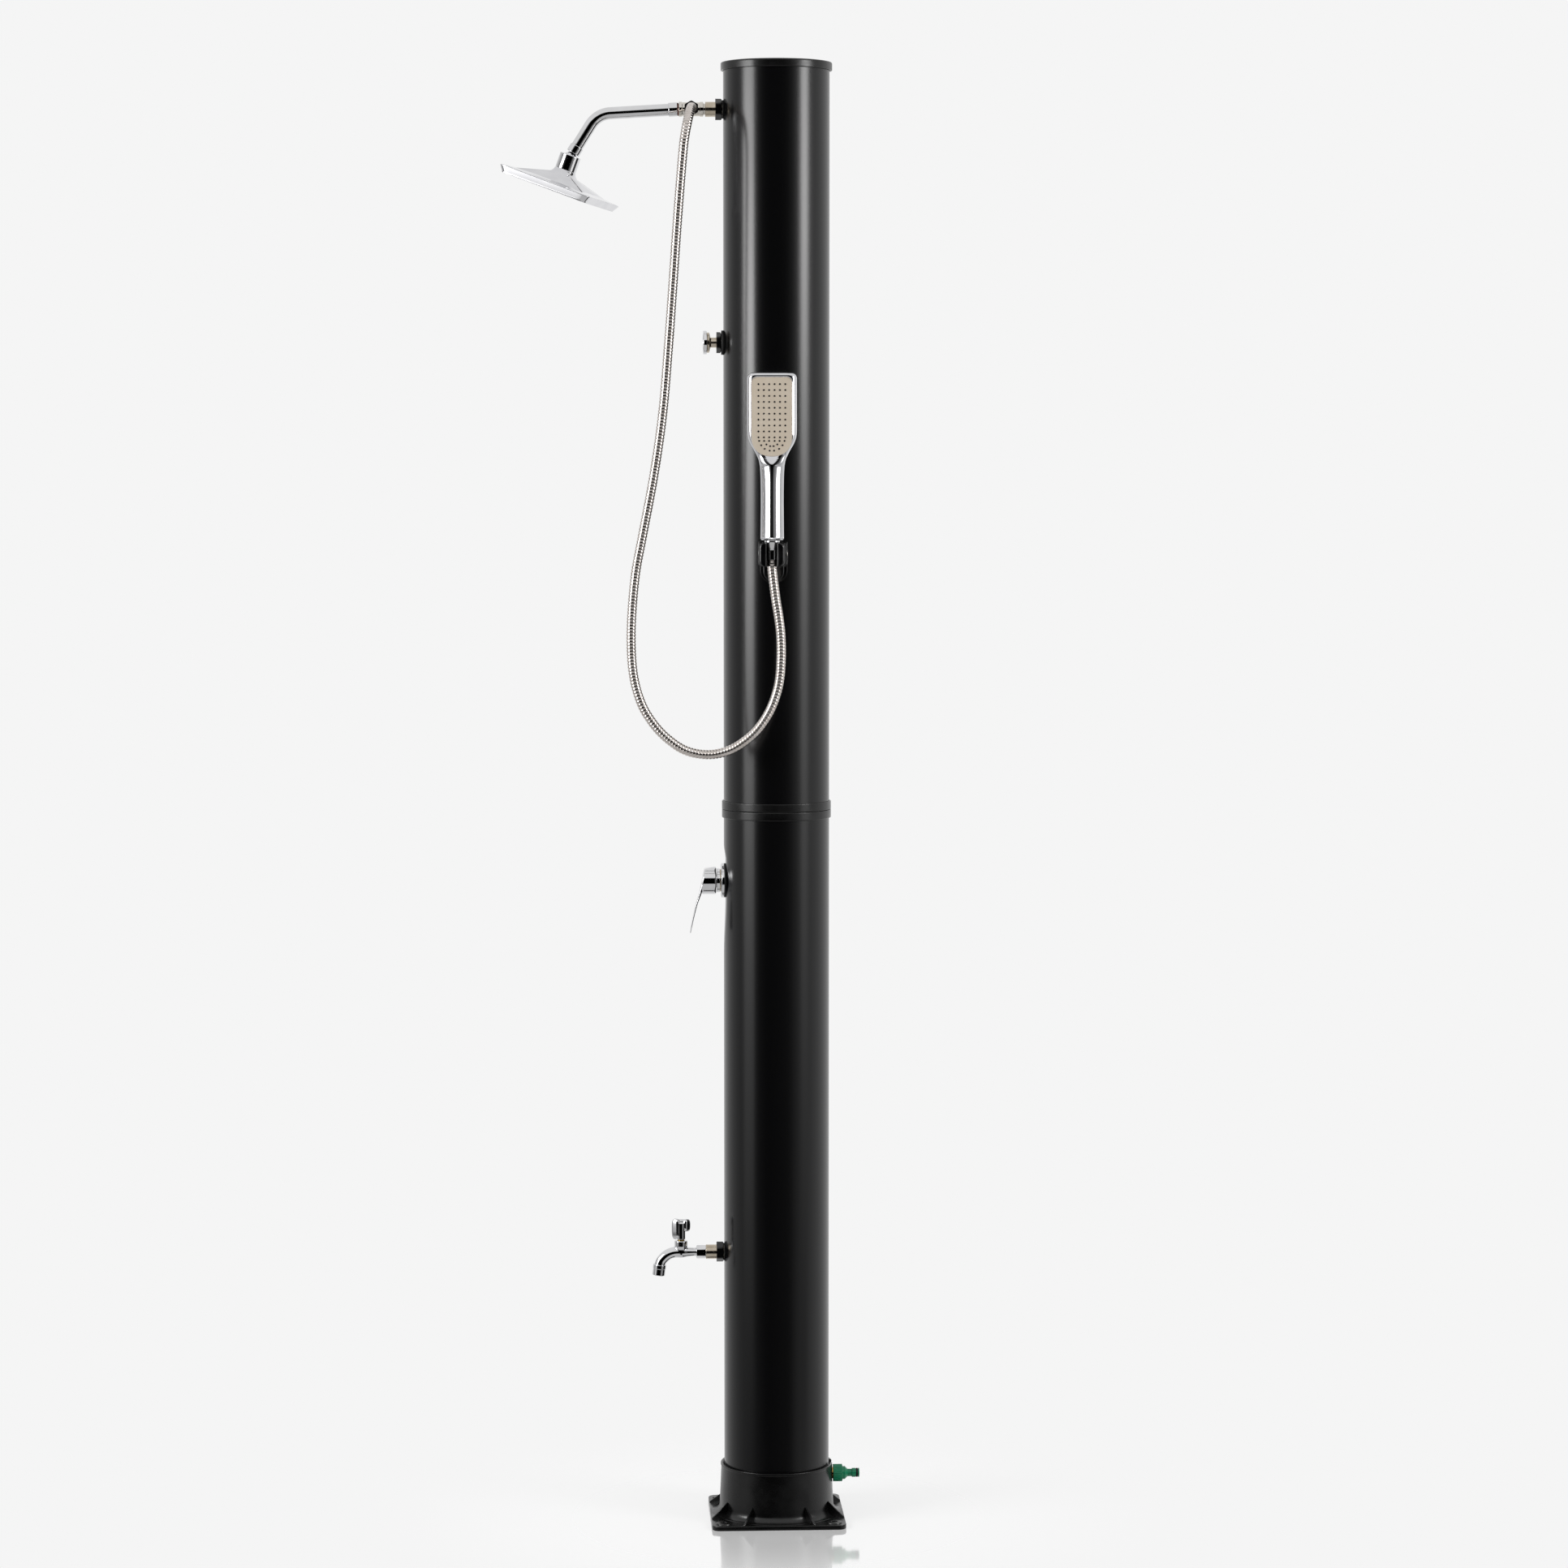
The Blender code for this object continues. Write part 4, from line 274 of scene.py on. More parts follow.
def tube_between(radius, bore, low, high, matrix, edge=0.5, sides=96):
    """A round sleeve with its edges rounded."""
    return lathe([(radius, low), (radius, high), (bore, high), (bore, low)], edge, matrix, sides)


def smooth_line(points, count):
    """count points evenly spaced along one curve through the given points. Between two
    neighbours it is the Catmull-Rom cubic, whose slope at each point is that of the line
    from the point before it to the one after it."""
    given = np.array(points, float)
    padded = np.vstack([2 * given[0] - given[1], given, 2 * given[-1] - given[-2]])
    a, b, c, d = padded[:-3, None], padded[1:-2, None], padded[2:-1, None], padded[3:, None]
    t = np.linspace(0, 1, 24, endpoint=False)[None, :, None]
    cubic = 2 * b + (c - a) * t + (2 * a - 5 * b + 4 * c - d) * t**2
    cubic = (cubic + (3 * b - a - 3 * c + d) * t**3) / 2
    line = np.vstack([cubic.reshape(-1, given.shape[1]), given[-1]])
    along = np.concatenate([[0], np.cumsum(np.linalg.norm(np.diff(line, axis=0), axis=1))])
    at = np.linspace(0, along[-1], count)
    even = np.stack([np.interp(at, along, line[:, k]) for k in range(line.shape[1])], 1)
    return even, along[-1]


def carried_frames(line, first_side):
    """At each point of a path, two directions across it. The side is carried along the
    path by removing the part along each new direction, so that it never spins."""
    ahead = np.gradient(line, axis=0)
    ahead /= np.linalg.norm(ahead, axis=1, keepdims=True)
    sides = np.zeros_like(line)
    side = np.array(first_side, float)
    for i, way in enumerate(ahead):
        side = side - (side @ way) * way
        side = side / np.linalg.norm(side)
        sides[i] = side
    return sides, np.cross(ahead, sides)


def swept(line, radii, first_side, sides=48):
    """A round tube along a path; radii gives its radius at each point."""
    one, other = carried_frames(line, first_side)
    angles = full_turn(sides)[None, :, None]
    reach = np.broadcast_to(np.asarray(radii, float), (len(line),))[:, None, None]
    rings = np.cos(angles) * one[:, None] + np.sin(angles) * other[:, None]
    return shell(line[:, None] + reach * rings)


def points_and_faces(holder):
    """What an object's mesh is once its modifiers or its font outline are worked out."""
    seen_as = holder.evaluated_get(bpy.context.evaluated_depsgraph_get())
    made = seen_as.to_mesh()
    points = np.empty(len(made.vertices) * 3)
    made.vertices.foreach_get("co", points)
    faces = [list(face.vertices) for face in made.polygons]
    seen_as.to_mesh_clear()
    bpy.data.objects.remove(holder)
    return points.reshape(-1, 3), faces


def blended(surface, voxel, rounds):
    """Overlapping closed shells made one skin: a voxel remesh joins them, and each round
    of smoothing moves every point halfway to the mean of its neighbours, which fills the
    inner corners as a casting's fillets do."""
    mesh = bpy.data.meshes.new("blending")
    mesh.from_pydata((surface[0] / 1000).tolist(), [], surface[1])
    rough_cast = bpy.data.objects.new("blending", mesh)
    bpy.context.scene.collection.objects.link(rough_cast)
    one_skin = rough_cast.modifiers.new("one_skin", "REMESH")
    one_skin.mode, one_skin.voxel_size = "VOXEL", voxel / 1000
    fillets = rough_cast.modifiers.new("fillets", "SMOOTH")
    fillets.factor, fillets.iterations = 0.5, rounds
    points, faces = points_and_faces(rough_cast)
    bpy.data.meshes.remove(mesh)
    return points * 1000, outward(points, faces)


print("profile and path tools ready")

# %% [markdown]
# ## Tools for finishes
# A finish is a small tree of shader nodes. One recipe covers nearly all of this object,
# moulded plastic and plated metal alike: fine grain as bump, and slow patches in which the
# surface is a little duller and of a second shade. It takes its colours in the hex form
# that a colour picker gives, and its grain in millimetres, because that is what one can
# measure on the real thing.


# %% Node tools
def linear(hex_colour):
    """An sRGB hex colour as linear RGBA: c / 12.92 below 0.04045, else
    ((c + 0.055) / 1.055) to the power 2.4."""
    c = np.array([int(hex_colour[i : i + 2], 16) for i in (1, 3, 5)]) / 255
    c = np.where(c <= 0.04045, c / 12.92, ((c + 0.055) / 1.055) ** 2.4)
    return (*c.tolist(), 1.0)


def add(tree, kind, settings=None, links=None):
    """Add a node of this kind, give it its settings, and link its inputs, which go by name
    or number. A node given as the source of a link stands for its first output."""
    node = tree.nodes.new("ShaderNode" + kind)
    for key, value in (settings or {}).items():
        if isinstance(key, str) and hasattr(node, key):
            setattr(node, key, value)
        else:
            node.inputs[key].default_value = value
    for key, source in (links or {}).items():
        tree.links.new(getattr(source, "outputs", [source])[0], node.inputs[key])
    return node


def new_finish(name, slot=None):
    """An empty material, its node tree and its Object coordinates. The slot is not used."""
    material = bpy.data.materials.new(name)
    material.use_nodes = True
    tree = material.node_tree
    tree.nodes.clear()
    return material, tree, add(tree, "TexCoord").outputs["Object"]


def coat(name, slot, shades, rough, swing, grain, depth, patch, metal=0.0, stretch=(1, 1, 1)):
    """A finish of two shades. Grain and patch are the sizes of the bumps and of the slow
    patches, depth is how high the bumps stand, and stretch makes both longer. The noise's
    middle half, 0.35 to 0.65, is spread over the shades and over rough +- swing."""
    material, tree, where = new_finish(name, slot)
    where = add(tree, "Mapping", {"Scale": tuple(1 / s for s in stretch)}, {"Vector": where})
    fine, patches = (
        add(
            tree,
            "TexNoise",
            {"Scale": 1000 / size, "Detail": detail, "Roughness": 0.55},
            {"Vector": where},
        )
        for size, detail in ((grain, 3.0), (patch, 2.0))
    )
    shade, dullness = (
        add(
            tree,
            "MapRange",
            {"From Min": 0.35, "From Max": 0.65, "To Min": low, "To Max": high},
            {"Value": patches},
        )
        for low, high in ((0.0, 1.0), (rough - swing, rough + swing))
    )
    both = {"data_type": "RGBA", 6: linear(shades[0]), 7: linear(shades[1])}
    mixed = add(tree, "Mix", both, {"Factor": shade})
    bump = add(tree, "Bump", {"Strength": 1.0, "Distance": depth / 1000}, {"Height": fine})
    shader = add(
        tree,
        "BsdfPrincipled",
        {"Metallic": metal},
        {"Base Color": mixed.outputs[2], "Roughness": dullness, "Normal": bump},
    )
    add(tree, "OutputMaterial", links={"Surface": shader})
    return material


print("finish tools ready")

# %% [markdown]
# ## The plastics and rubbers
# The tanks are extruded PVC pipe: the die leaves long faint lines up and down and a satin
# gloss. Foot, cap and couplings are injection-moulded ABS, a little rougher, with the fine
# pebble of a steel mould, and the wall nuts and the holder are glossier. Nitrile rubber is
# dull. The garden-hose tail is polypropylene coloured all through, and the hand shower's
# face is beige ABS.

# %% Plastics and rubbers
pvc_shades, upright_lines = ("#050506", "#070708"), (1, 1, 60)
extruded_pvc = coat(
    "extruded_black_pvc", "black_pvc", pvc_shades, 0.23, 0.03, 1.2, 0.003, 90, 0.0, upright_lines
)
(
    moulded_abs,
    glossy_abs,
    nitrile,
    red_fibre,
    green_tail,
    beige_face,
    nozzle_rubber,
    grey_abs,
    acetal,
    pex,
    dial_enamel,
    dial_ink,
) = (
    coat(name, slot, shades, rough, 0.06, grain, depth, patch)
    for name, slot, shades, rough, grain, depth, patch in (
        ("moulded_black_abs", "black_abs", ("#070707", "#0a0a0a"), 0.27, 0.8, 0.005, 35),
        ("glossy_black_abs", "black_abs", ("#050506", "#080809"), 0.17, 1.5, 0.002, 30),
        ("black_nitrile_rubber", "black_rubber", ("#0d0d0d", "#151515"), 0.62, 0.5, 0.012, 12),
        ("red_rubber_ring", "red_rubber", ("#7a3a28", "#66301f"), 0.55, 0.5, 0.010, 8),
        ("green_polypropylene", "green_plastic", ("#0a8a60", "#097c56"), 0.30, 0.6, 0.006, 10),
        ("beige_abs", "beige_plastic", ("#cbbfae", "#c6b9a7"), 0.36, 0.5, 0.004, 25),
        ("black_silicone", "black_rubber", ("#0d0d0e", "#141415"), 0.42, 0.4, 0.006, 8),
        ("grey_abs", "grey_plastic", ("#9a9a98", "#929290"), 0.38, 0.7, 0.006, 30),
        ("white_acetal", "white_plastic", ("#f0efe9", "#e8e7e0"), 0.35, 0.6, 0.004, 20),
        ("pex_tube", "clear_plastic", ("#d8d4c6", "#cfcab9"), 0.38, 1.0, 0.006, 30),
        ("white_dial_enamel", "white_enamel", ("#f0efe9", "#ecebe4"), 0.30, 0.4, 0.002, 20),
        ("printed_black_ink", "black_abs", ("#141414", "#1a1a1a"), 0.45, 0.4, 0.001, 6),
    )
)
print("plastics and rubbers ready")

# %% [markdown]
# ## The metals
# Chrome over polished brass is nearly a mirror, so what it shows is the studio. Chrome over
# moulded plastic is as bright but waves a little, because plastic shrinks as it cools. The
# nipples are nickel, warmer and softer than chrome, and the tee is nickel polished bright.
# The hose is wound from stainless strip, drawn and slightly dull.

# %% Metals
chrome, wavy_chrome, nickel, polished_nickel, brass, wound_steel, pin_steel = (
    coat(name, slot, shades, rough, 0.02, grain, depth, patch, 1.0)
    for name, slot, shades, rough, grain, depth, patch in (
        ("chrome_on_brass", "chrome", ("#e6e6e8", "#dededf"), 0.07, 3.0, 0.0006, 25),
        (
            "chrome_on_plastic",
            "chrome_plated_plastic",
            ("#e4e4e6", "#dcdcdf"),
            0.08,
            14.0,
            0.004,
            30,
        ),
        ("nickel_plate", "nickel", ("#cbc1b2", "#bfb3a0"), 0.20, 0.8, 0.002, 12),
        ("polished_nickel", "nickel", ("#dcd8d1", "#d2cdc4"), 0.09, 0.8, 0.001, 12),
        ("turned_brass", "brass", ("#b59a5c", "#a78c50"), 0.26, 0.5, 0.004, 10),
        ("wound_stainless_strip", "stainless_steel", ("#ddd6d1", "#cdc5bf"), 0.17, 0.7, 0.003, 15),
        ("drawn_stainless", "stainless_steel", ("#d3cfc8", "#c4bfb6"), 0.20, 0.5, 0.003, 10),
    )
)
print("metals ready")

# %% [markdown]
# The dial's glass is a flat disc, so light passes straight through it, and only a wave of
# two thousandths of a millimetre bends what it mirrors.

# %% Glass of the dial
lens_glass, lens_tree, lens_where = new_finish("dial_glass", "clear_lens")
lens_scale = add(lens_tree, "Mapping", {"Scale": (1, 1, 1)}, {"Vector": lens_where})
lens_noise = {"Scale": 1000 / 6.0, "Detail": 3.0, "Roughness": 0.55}
lens_wave = add(lens_tree, "TexNoise", lens_noise, {"Vector": lens_scale})
lens_bump = add(lens_tree, "Bump", {"Strength": 1.0, "Distance": 2e-6}, {"Height": lens_wave})
lens_look = {"Roughness": 0.03, "IOR": 1.5, "Transmission Weight": 1.0}
lens_look["Base Color"] = linear("#f4f7f7")
lens_shader = add(lens_tree, "BsdfPrincipled", lens_look, {"Normal": lens_bump})
add(lens_tree, "OutputMaterial", links={"Surface": lens_shader})
print("glass ready")

# %% [markdown]
# ## The metal hose
# A shower hose is a strip of stainless steel wound in a spiral over a rubber tube. It hangs
# from the tee, turns under its own weight and comes up to the hand shower, and the whole
# of it shows: 1.4 m. Its route is the CAD's. Modelling the spiral itself would show the
# same bands at this size, so each turn of the strip is one ring of the tube's profile:
# a rounded band and a narrow groove, 4.7 mm apart.

# %% Route of the hose
hose_start = np.array([-125.8, -24.5, 2101.5])
hose_end = np.array([-11.88, -123.43, 1442.4])
hose_low = 1157.5
# across, forward, and how far up from the lowest point to the strand's own end
falling = [(-127, -56, 0.9979), (-129.5, -72, 0.9899), (-133, -86, 0.9751)]
falling += [(-137, -95.5, 0.9539), (-140.5, -99.5, 0.9243), (-148, -100.5, 0.8289)]
falling += [(-154.7, -100.5, 0.7304), (-161.2, -100.5, 0.6382), (-170, -100.5, 0.5302)]
falling += [(-183, -100.5, 0.4338), (-199.5, -100.5, 0.3416), (-210.5, -101, 0.2791)]
falling += [(-216.3, -101.5, 0.2113), (-216.8, -102.5, 0.1594), (-213, -103.5, 0.1181)]
falling += [(-203.5, -104.5, 0.0821), (-189.5, -105, 0.0546), (-169, -106, 0.0291)]
falling += [(-140, -107, 0.0074), (-108, -108, 0.0000)]
rising = [(-79, -109, 0.0158), (-55, -110, 0.0597), (-32, -112, 0.1334)]
rising += [(-13.5, -114, 0.2369), (-2.2, -116.5, 0.3598), (1.2, -119, 0.4861)]
rising += [(0.7, -120.5, 0.6125), (-2.5, -121.8, 0.7108), (-7, -122.8, 0.8091)]
strands = []
for strand, end in ((falling, hose_start), (rising, hose_end)):
    strand = np.array(strand)
    strand[:, 2] = hose_low + strand[:, 2] * (end[2] - hose_low)
    strands.append(strand)
ends_in = [hose_end - UP * 14, hose_end, hose_end + UP * 30]
route = np.vstack([hose_start, hose_start + FRONT * 14, *strands, ends_in])
bands, rows_per_band = 304, 6
hose_rows = bands * rows_per_band + 1
hose_line, hose_length = smooth_line(route, hose_rows)
print(f"hose {hose_length:.0f} mm with its hidden end, a band every {hose_length / bands:.2f} mm")

# %% [markdown]
# The cradle tilts, and on the real shower the end of the hose goes with it while the rest hangs
# from the tee.
# A point of the hose goes by how far along the hose it is, not by how high it is, since
# both strands pass the same height. So the hose is first laid out straight along X, and only
# then is every ring carried to its place on the route.

# %% Hose
hose_radius, groove_radius, radius_in_nut = 7.0, 6.1, 5.0
band_shape = np.array([0.0, 0.86, 1.0, 1.0, 1.0, 0.86])[np.arange(hose_rows) % rows_per_band]
along_hose = np.linspace(0, hose_length, hose_rows)
inside_nut = np.clip((along_hose - (hose_length - 30)) / 2, 0, 1)
hose_reach = groove_radius + (hose_radius - groove_radius) * band_shape
hose_reach = hose_reach * (1 - inside_nut) + radius_in_nut * inside_nut
straight = np.stack([along_hose, 0 * along_hose, 0 * along_hose], 1)
straight_hose = swept(straight, hose_reach, UP, sides=20)
hose = piece("metal_hose", straight_hose, wound_steel, "hose", body=None)
rising_part = np.arange(hose_rows) > np.argmin(hose_line[:, 2])
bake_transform(hose)
routed_points, _ = swept(hose_line, hose_reach, RIGHT, sides=20)
routed_points[-2:] = hose_line[[0, -1]]
hose.data.vertices.foreach_set("co", (routed_points / 1000).astype(np.float32).ravel())
hose.data.update()

# %% [markdown]
# ## The two tanks
# Each tank is a length of 157 mm black pipe. The lower one was pressed flat while warm
# where the mixer is clamped, so that its round flange sits on a flat seat; above and below
# the seat the flat fades back into the round. The skin is a grid over angle and height,
# and the flat is a soft limit on how far out a point may be, because a hard limit would
# leave a crease that the warm plastic did not take.

# %% Tanks
tank_radius, tank_wall, seat_depth = 78.5, 3.2, 2.8
seam_height, total_height, mixer_height = 1069, 2170, 962
angles_round = full_turn(256)


def pressed(points):
    """Skin pushed in towards +X at the mixer's seat. With d the depth of the flat at this
    height, the distance to the left is the soft minimum of itself and R - d, soft over
    less where the flat is shallow."""
    above = (points[..., 2] - (mixer_height + 30)) / 26
    below = ((mixer_height - 24) - points[..., 2]) / 92
    share = 1 - smooth_step(np.maximum(above, below))
    soft = soft_min(-points[..., 0], tank_radius - seat_depth * share, 0.45 * share + 0.001)
    points[..., 0] = np.where(share > 0.001, -soft, points[..., 0])
    return points


def pipe(skin):
    """An open pipe: its skin at every height, then its bore back down, as one ring grid."""
    bore = (skin - tank_wall * around(1.0, 0.0, angles_round))[::-1]
    return shell(np.concatenate([skin, bore]), ring=True)


lower_heights = [10.6, 10.9, *np.linspace(30, 840, 12, endpoint=False)]
lower_heights += [*np.linspace(840, 1024, 93), 1030, 1064.2, 1064.5]
upper_heights = [1073.5, 1073.8, *np.linspace(1100, 2100, 22), 2165.4, 2165.7]
lower_skin, upper_skin = (
    around(tank_radius, np.array(heights)[:, None], angles_round)
    for heights in (lower_heights, upper_heights)
)
piece("lower_tank_pipe", pipe(pressed(lower_skin)), extruded_pvc, "lower_tank")
piece("upper_tank_pipe", pipe(upper_skin), extruded_pvc, "upper_tank")

# %% [markdown]
# ## Cap and couplings
# The tanks meet in two moulded rings with a dark seam between them, and a flat cap closes
# the top. They are lathe shapes with edges rounded as a mould leaves them: 1 mm on the
# couplings and 2.2 mm on the cap, which is what catches the light.

# %% Cap and couplings
coupling, cap_out, over_tank = tank_radius + 2.7, tank_radius + 3.7, tank_radius + 0.3
bore = tank_radius - tank_wall
above_seam, below_seam, top = (
    frame_at((0, 0, height), UP, RIGHT)
    for height in (seam_height + 0.15, seam_height - 0.15, total_height)
)
upper_ring = [(coupling, 12.3), (coupling, 0), (59.7, 0), (59.7, -16), (56.7, -16), (56.7, 4)]
upper_ring += [(over_tank, 4), (over_tank, 12.3)]
lower_ring = [(coupling, 0), (coupling, -12.3), (over_tank, -12.3), (over_tank, -4), (60, -4)]
lower_ring += [(60, 0), (66.5, 0), (66.5, -2.2), (70.9, -2.2), (70.9, 0)]
upper_ring = lathe(upper_ring, [1, 1, 0, 0, 0, 0, 0, 0.4], above_seam, 256)
piece("upper_coupling", upper_ring, moulded_abs, "upper_flange")
lower_ring = lathe(lower_ring, [1, 1, 0.4, 0, 0, 0, 0, 0, 0, 0], below_seam, 256)
piece("lower_coupling", lower_ring, moulded_abs, "lower_flange")
cap_profile = [(0, 0), (60, 0), (cap_out, 0), (cap_out, -11.8), (over_tank, -11.8)]
cap_profile += [(over_tank, -4), (bore, -4), (bore - 0.3, -24), (bore - 3.3, -24)]
cap_profile += [(bore - 3.3, -4), (0, -4)]
cap_edges = [0, 0, 2.2, 0.8, 0.4, 0, 0, 0, 0, 0, 0]
piece("top_cap_moulding", lathe(cap_profile, cap_edges, top, 256), moulded_abs, "top_cap")

# %% [markdown]
# ## The foot
# One moulding: a 200 mm square plate with a bolt hole in each corner, a collar that grips
# the tank, and eight thin ribs that brace it. A plate with holes is drawn as outlines:
# the edge and each hole are rings of points that step inward as they rise, which rounds
# them over, and a triangulation fills the flat between them.


# %% Plates with rounded edges
def rounded_rectangle(half_x, half_y, radius, steps=10):
    """Points anticlockwise round a rectangle whose corners are quarter circles."""
    turn = np.linspace(0, np.pi / 2, steps)
    inner = (half_x - radius, half_y - radius)
    signs = [(1, 1), (-1, 1), (-1, -1), (1, -1)]
    quarters = [
        np.multiply(sign, inner) + arc(radius, turn + k * np.pi / 2)
        for k, sign in enumerate(signs)
    ]
    return np.vstack(quarters)


def stepped_in(outline, distance):
    """A closed outline moved inward along its own normals. The normal is the direction
    to the next point less the one from the last, turned a quarter turn."""
    way = np.roll(outline, -1, 0) - np.roll(outline, 1, 0)
    normal = np.stack([-way[:, 1], way[:, 0]], 1)
    return outline + distance * normal / np.linalg.norm(normal, axis=1, keepdims=True)


def anticlockwise(outline):
    """The outline, reversed if its area, half the sum of x y' - x' y, is negative."""
    outline = np.asarray(outline)
    after = np.roll(outline, -1, 0)
    area = np.sum(outline[:, 0] * after[:, 1] - after[:, 0] * outline[:, 1])
    return outline if area > 0 else outline[::-1]


def plate(outline, low, high, edge, holes=(), between=0):
    """A flat plate with rounded edges and holes through it. Every contour goes up the
    plate's side as rings: near each flat a ring is inset by edge (1 - cos q) and lies
    edge (1 - sin q) short of the flat, for q from 0 to a right angle. The last rings of
    all contours are filled by one triangulation."""
    quarter = np.linspace(0, np.pi / 2, 5)
    inset, drop = 1 - np.cos(quarter), 1 - np.sin(quarter)
    points, faces, lowest, highest, start = [], [], [], [], 0
    contours = [(anticlockwise(outline), edge)]
    contours += [(anticlockwise(hole)[::-1], 0.4) for hole in holes]
    for contour, radius in contours:
        middle = np.linspace(low + radius, high - radius, between + 2)[1:-1]
        height = [low, *(low + radius * drop[::-1]), *middle, *(high - radius * drop), high]
        inward = radius * np.array([1.6, *inset[::-1], *(0 * middle), *inset, 1.6])
        count = len(contour)
        for i, h in zip(inward, height):
            points.append(np.column_stack([stepped_in(contour, i), np.full(count, h)]))
        faces += grid_faces(len(height), count, offset=start)
        lowest.append(np.arange(count) + start)
        start += len(height) * count
        highest.append(np.arange(count) + start - count)
    points = np.vstack(points)
    for rings, turned_over in ((lowest, True), (highest, False)):
        index = np.concatenate(rings)
        edges, at = [], 0
        for ring in rings:
            edges += [(at + i, at + (i + 1) % len(ring)) for i in range(len(ring))]
            at += len(ring)
        flat = [Vector(p) for p in points[index, :2] / 1000]
        _, _, cells, came_from, _, _ = delaunay_2d_cdt(flat, edges, [], 5, 1e-9)
        cells = [[int(index[came_from[i][0]]) for i in cell] for cell in cells]
        faces += [cell[::-1] for cell in cells] if turned_over else cells
    return points, outward(points, faces)


print("plate tools ready")

# %% Foot
collar_in, collar_out, collar_foot = tank_radius + 2, tank_radius + 4.8, tank_radius + 7.2
collar_top, flare_reach, plate_thick, notch_top = 81, 12, 7, 53
flare = arc(flare_reach, np.radians(np.linspace(180, 270, 9)))
flare += (collar_foot + flare_reach, plate_thick + flare_reach)
bead = [(collar_in, collar_top), (collar_out + 0.8, collar_top)]
bead += [(collar_out + 0.8, collar_top - 3), (collar_out, collar_top - 3.6)]
collar_line = eased([*bead, flare[0]], [0, 0.7, 0.7, 0.4, 0])
collar_base = [(collar_foot + flare_reach, 4), (collar_in, 4)]
collar_line = np.vstack([collar_line, flare[1:], collar_base])
notch = 10 / collar_out
notch_turns = np.linspace(-notch, notch, 13)
rest_turns = np.linspace(notch, 2 * np.pi - notch, 242)
rest_turns[[0, -1]] += (1e-4, -1e-4)
collar_grid = around(
    collar_line[:, :1], collar_line[:, 1:], np.concatenate([notch_turns, rest_turns])
)
collar_grid[:, :13, 2] = np.minimum(collar_grid[:, :13, 2], notch_top)
bolt_places = [(x * 82.5, y * 82.5) for x in (-1, 1) for y in (-1, 1)]
bolt_holes = [arc(4.5, full_turn(40)) + place for place in bolt_places]
base_plate = plate(rounded_rectangle(100, 100, 12), 0, plate_thick, 1.2, bolt_holes)
boss_profile = [(4.5, 4), (4.5, 8.8), (11, 8.8), (12.2, 6.8), (12.2, 4)]
bosses = [
    lathe(boss_profile, [0, 0.6, 0.8, 0.8, 0], frame_at((x, y, 0), UP, RIGHT), 64)
    for x, y in bolt_places
]
rib_line = eased([(81.5, -4), (112, -4), (112, -8.6), (81.5, -32)], [0, 0, 3, 0], closed=True)
ribs = []
for degrees in (90 * quarter + side * 28 for quarter in range(4) for side in (-1, 1)):
    way = np.array([math.cos(math.radians(degrees)), math.sin(math.radians(degrees)), 0])
    on_edge = frame_at((0, 0, 0), np.cross(UP, way), way)
    ribs.append(moved(plate(rib_line, -1.5, 1.5, 0.6), on_edge))
foot = merged(base_plate, shell(collar_grid, ring=True), *bosses, *ribs)
piece("moulded_foot", foot, moulded_abs, "base_foot")

# %% [markdown]
# ## Nuts and nipples in the wall
# A wall fitting is a threaded nipple held by a six-sided plastic nut on a rubber washer.
# A nut is a hexagon and a cone at once: the corners are turned away where the cone is
# narrower. So its radius at each angle is the smaller of the hexagon's and the cone's.


# %% Hexagon nuts
def nut(corner_radius, bore, low, high, cone_low, cone_high, matrix):
    """A hexagon nut between two heights with a round bore. Flat k of the hexagon gives
    cos(angle - k 60 degrees) / apothem; the sum of these, each to the 34th power, is
    nearly the largest of them, and its inverse is the radius. A cone's chamfer of c cuts
    the corners where the distance to the end is under 0.6 c."""
    angles = full_turn(144)
    flats = np.radians(60 * np.arange(6) + 30)
    apothem = corner_radius * math.cos(math.pi / 6)
    facing = np.maximum(np.cos(angles[:, None] - flats), 0) / apothem
    six = np.sum(facing**34, 1) ** (-1 / 34)
    rows = []
    for end, cone, way in ((low, cone_low, 1), (high, cone_high, -1)):
        cut = max(cone, 0.4)
        share = np.linspace(0, 1, 7)[0 if cone else 1 :]
        chamfer = np.column_stack([cut * (1 - share), end + way * 0.6 * cut * share])
        rows.append(np.vstack([[(cut + 1.2, end), (cut + 0.3, end)], chamfer])[::way])
    inset, heights = np.vstack(rows).T
    reach = soft_min(six, corner_radius - inset[:, None], 0.12)
    reach = np.vstack([np.full(144, bore), reach, np.full(144, bore)])
    grid = around(reach, np.array([low, *heights, high])[:, None], angles)
    return shell(placed(grid, matrix), ring=True)


def washer(radius, bore, out, matrix):
    """A washer whose back is cut to the tank: at each point the tank's skin lies at
    sqrt(R^2 - y^2), and the washer goes from 0.2 mm off it to its flat front, this far
    out of the tank."""
    angles = full_turn(96)
    front = tank_radius + out
    section = [(bore, 0), (radius, 0), (radius, front - 0.4), (radius - 0.4, front), (bore, front)]
    rows = []
    for r, height in section:
        row = around(r, height, angles)
        if not height:
            row[:, 2] = np.sqrt(tank_radius**2 - row[:, 1] ** 2) + 0.2
        rows.append(row)
    return shell(placed(np.array(rows), matrix), ring=True)


arm_height, thermometer_height, tap_height, inlet_height = 2101.5, 1760, 402, 63
arm_axis, thermometer_axis, mixer_axis, tap_axis = (
    frame_at((0, 0, height), LEFT, UP)
    for height in (arm_height, thermometer_height, mixer_height, tap_height)
)
inlet_axis = frame_at((0, 0, inlet_height), RIGHT, UP)
print("nut tools ready")

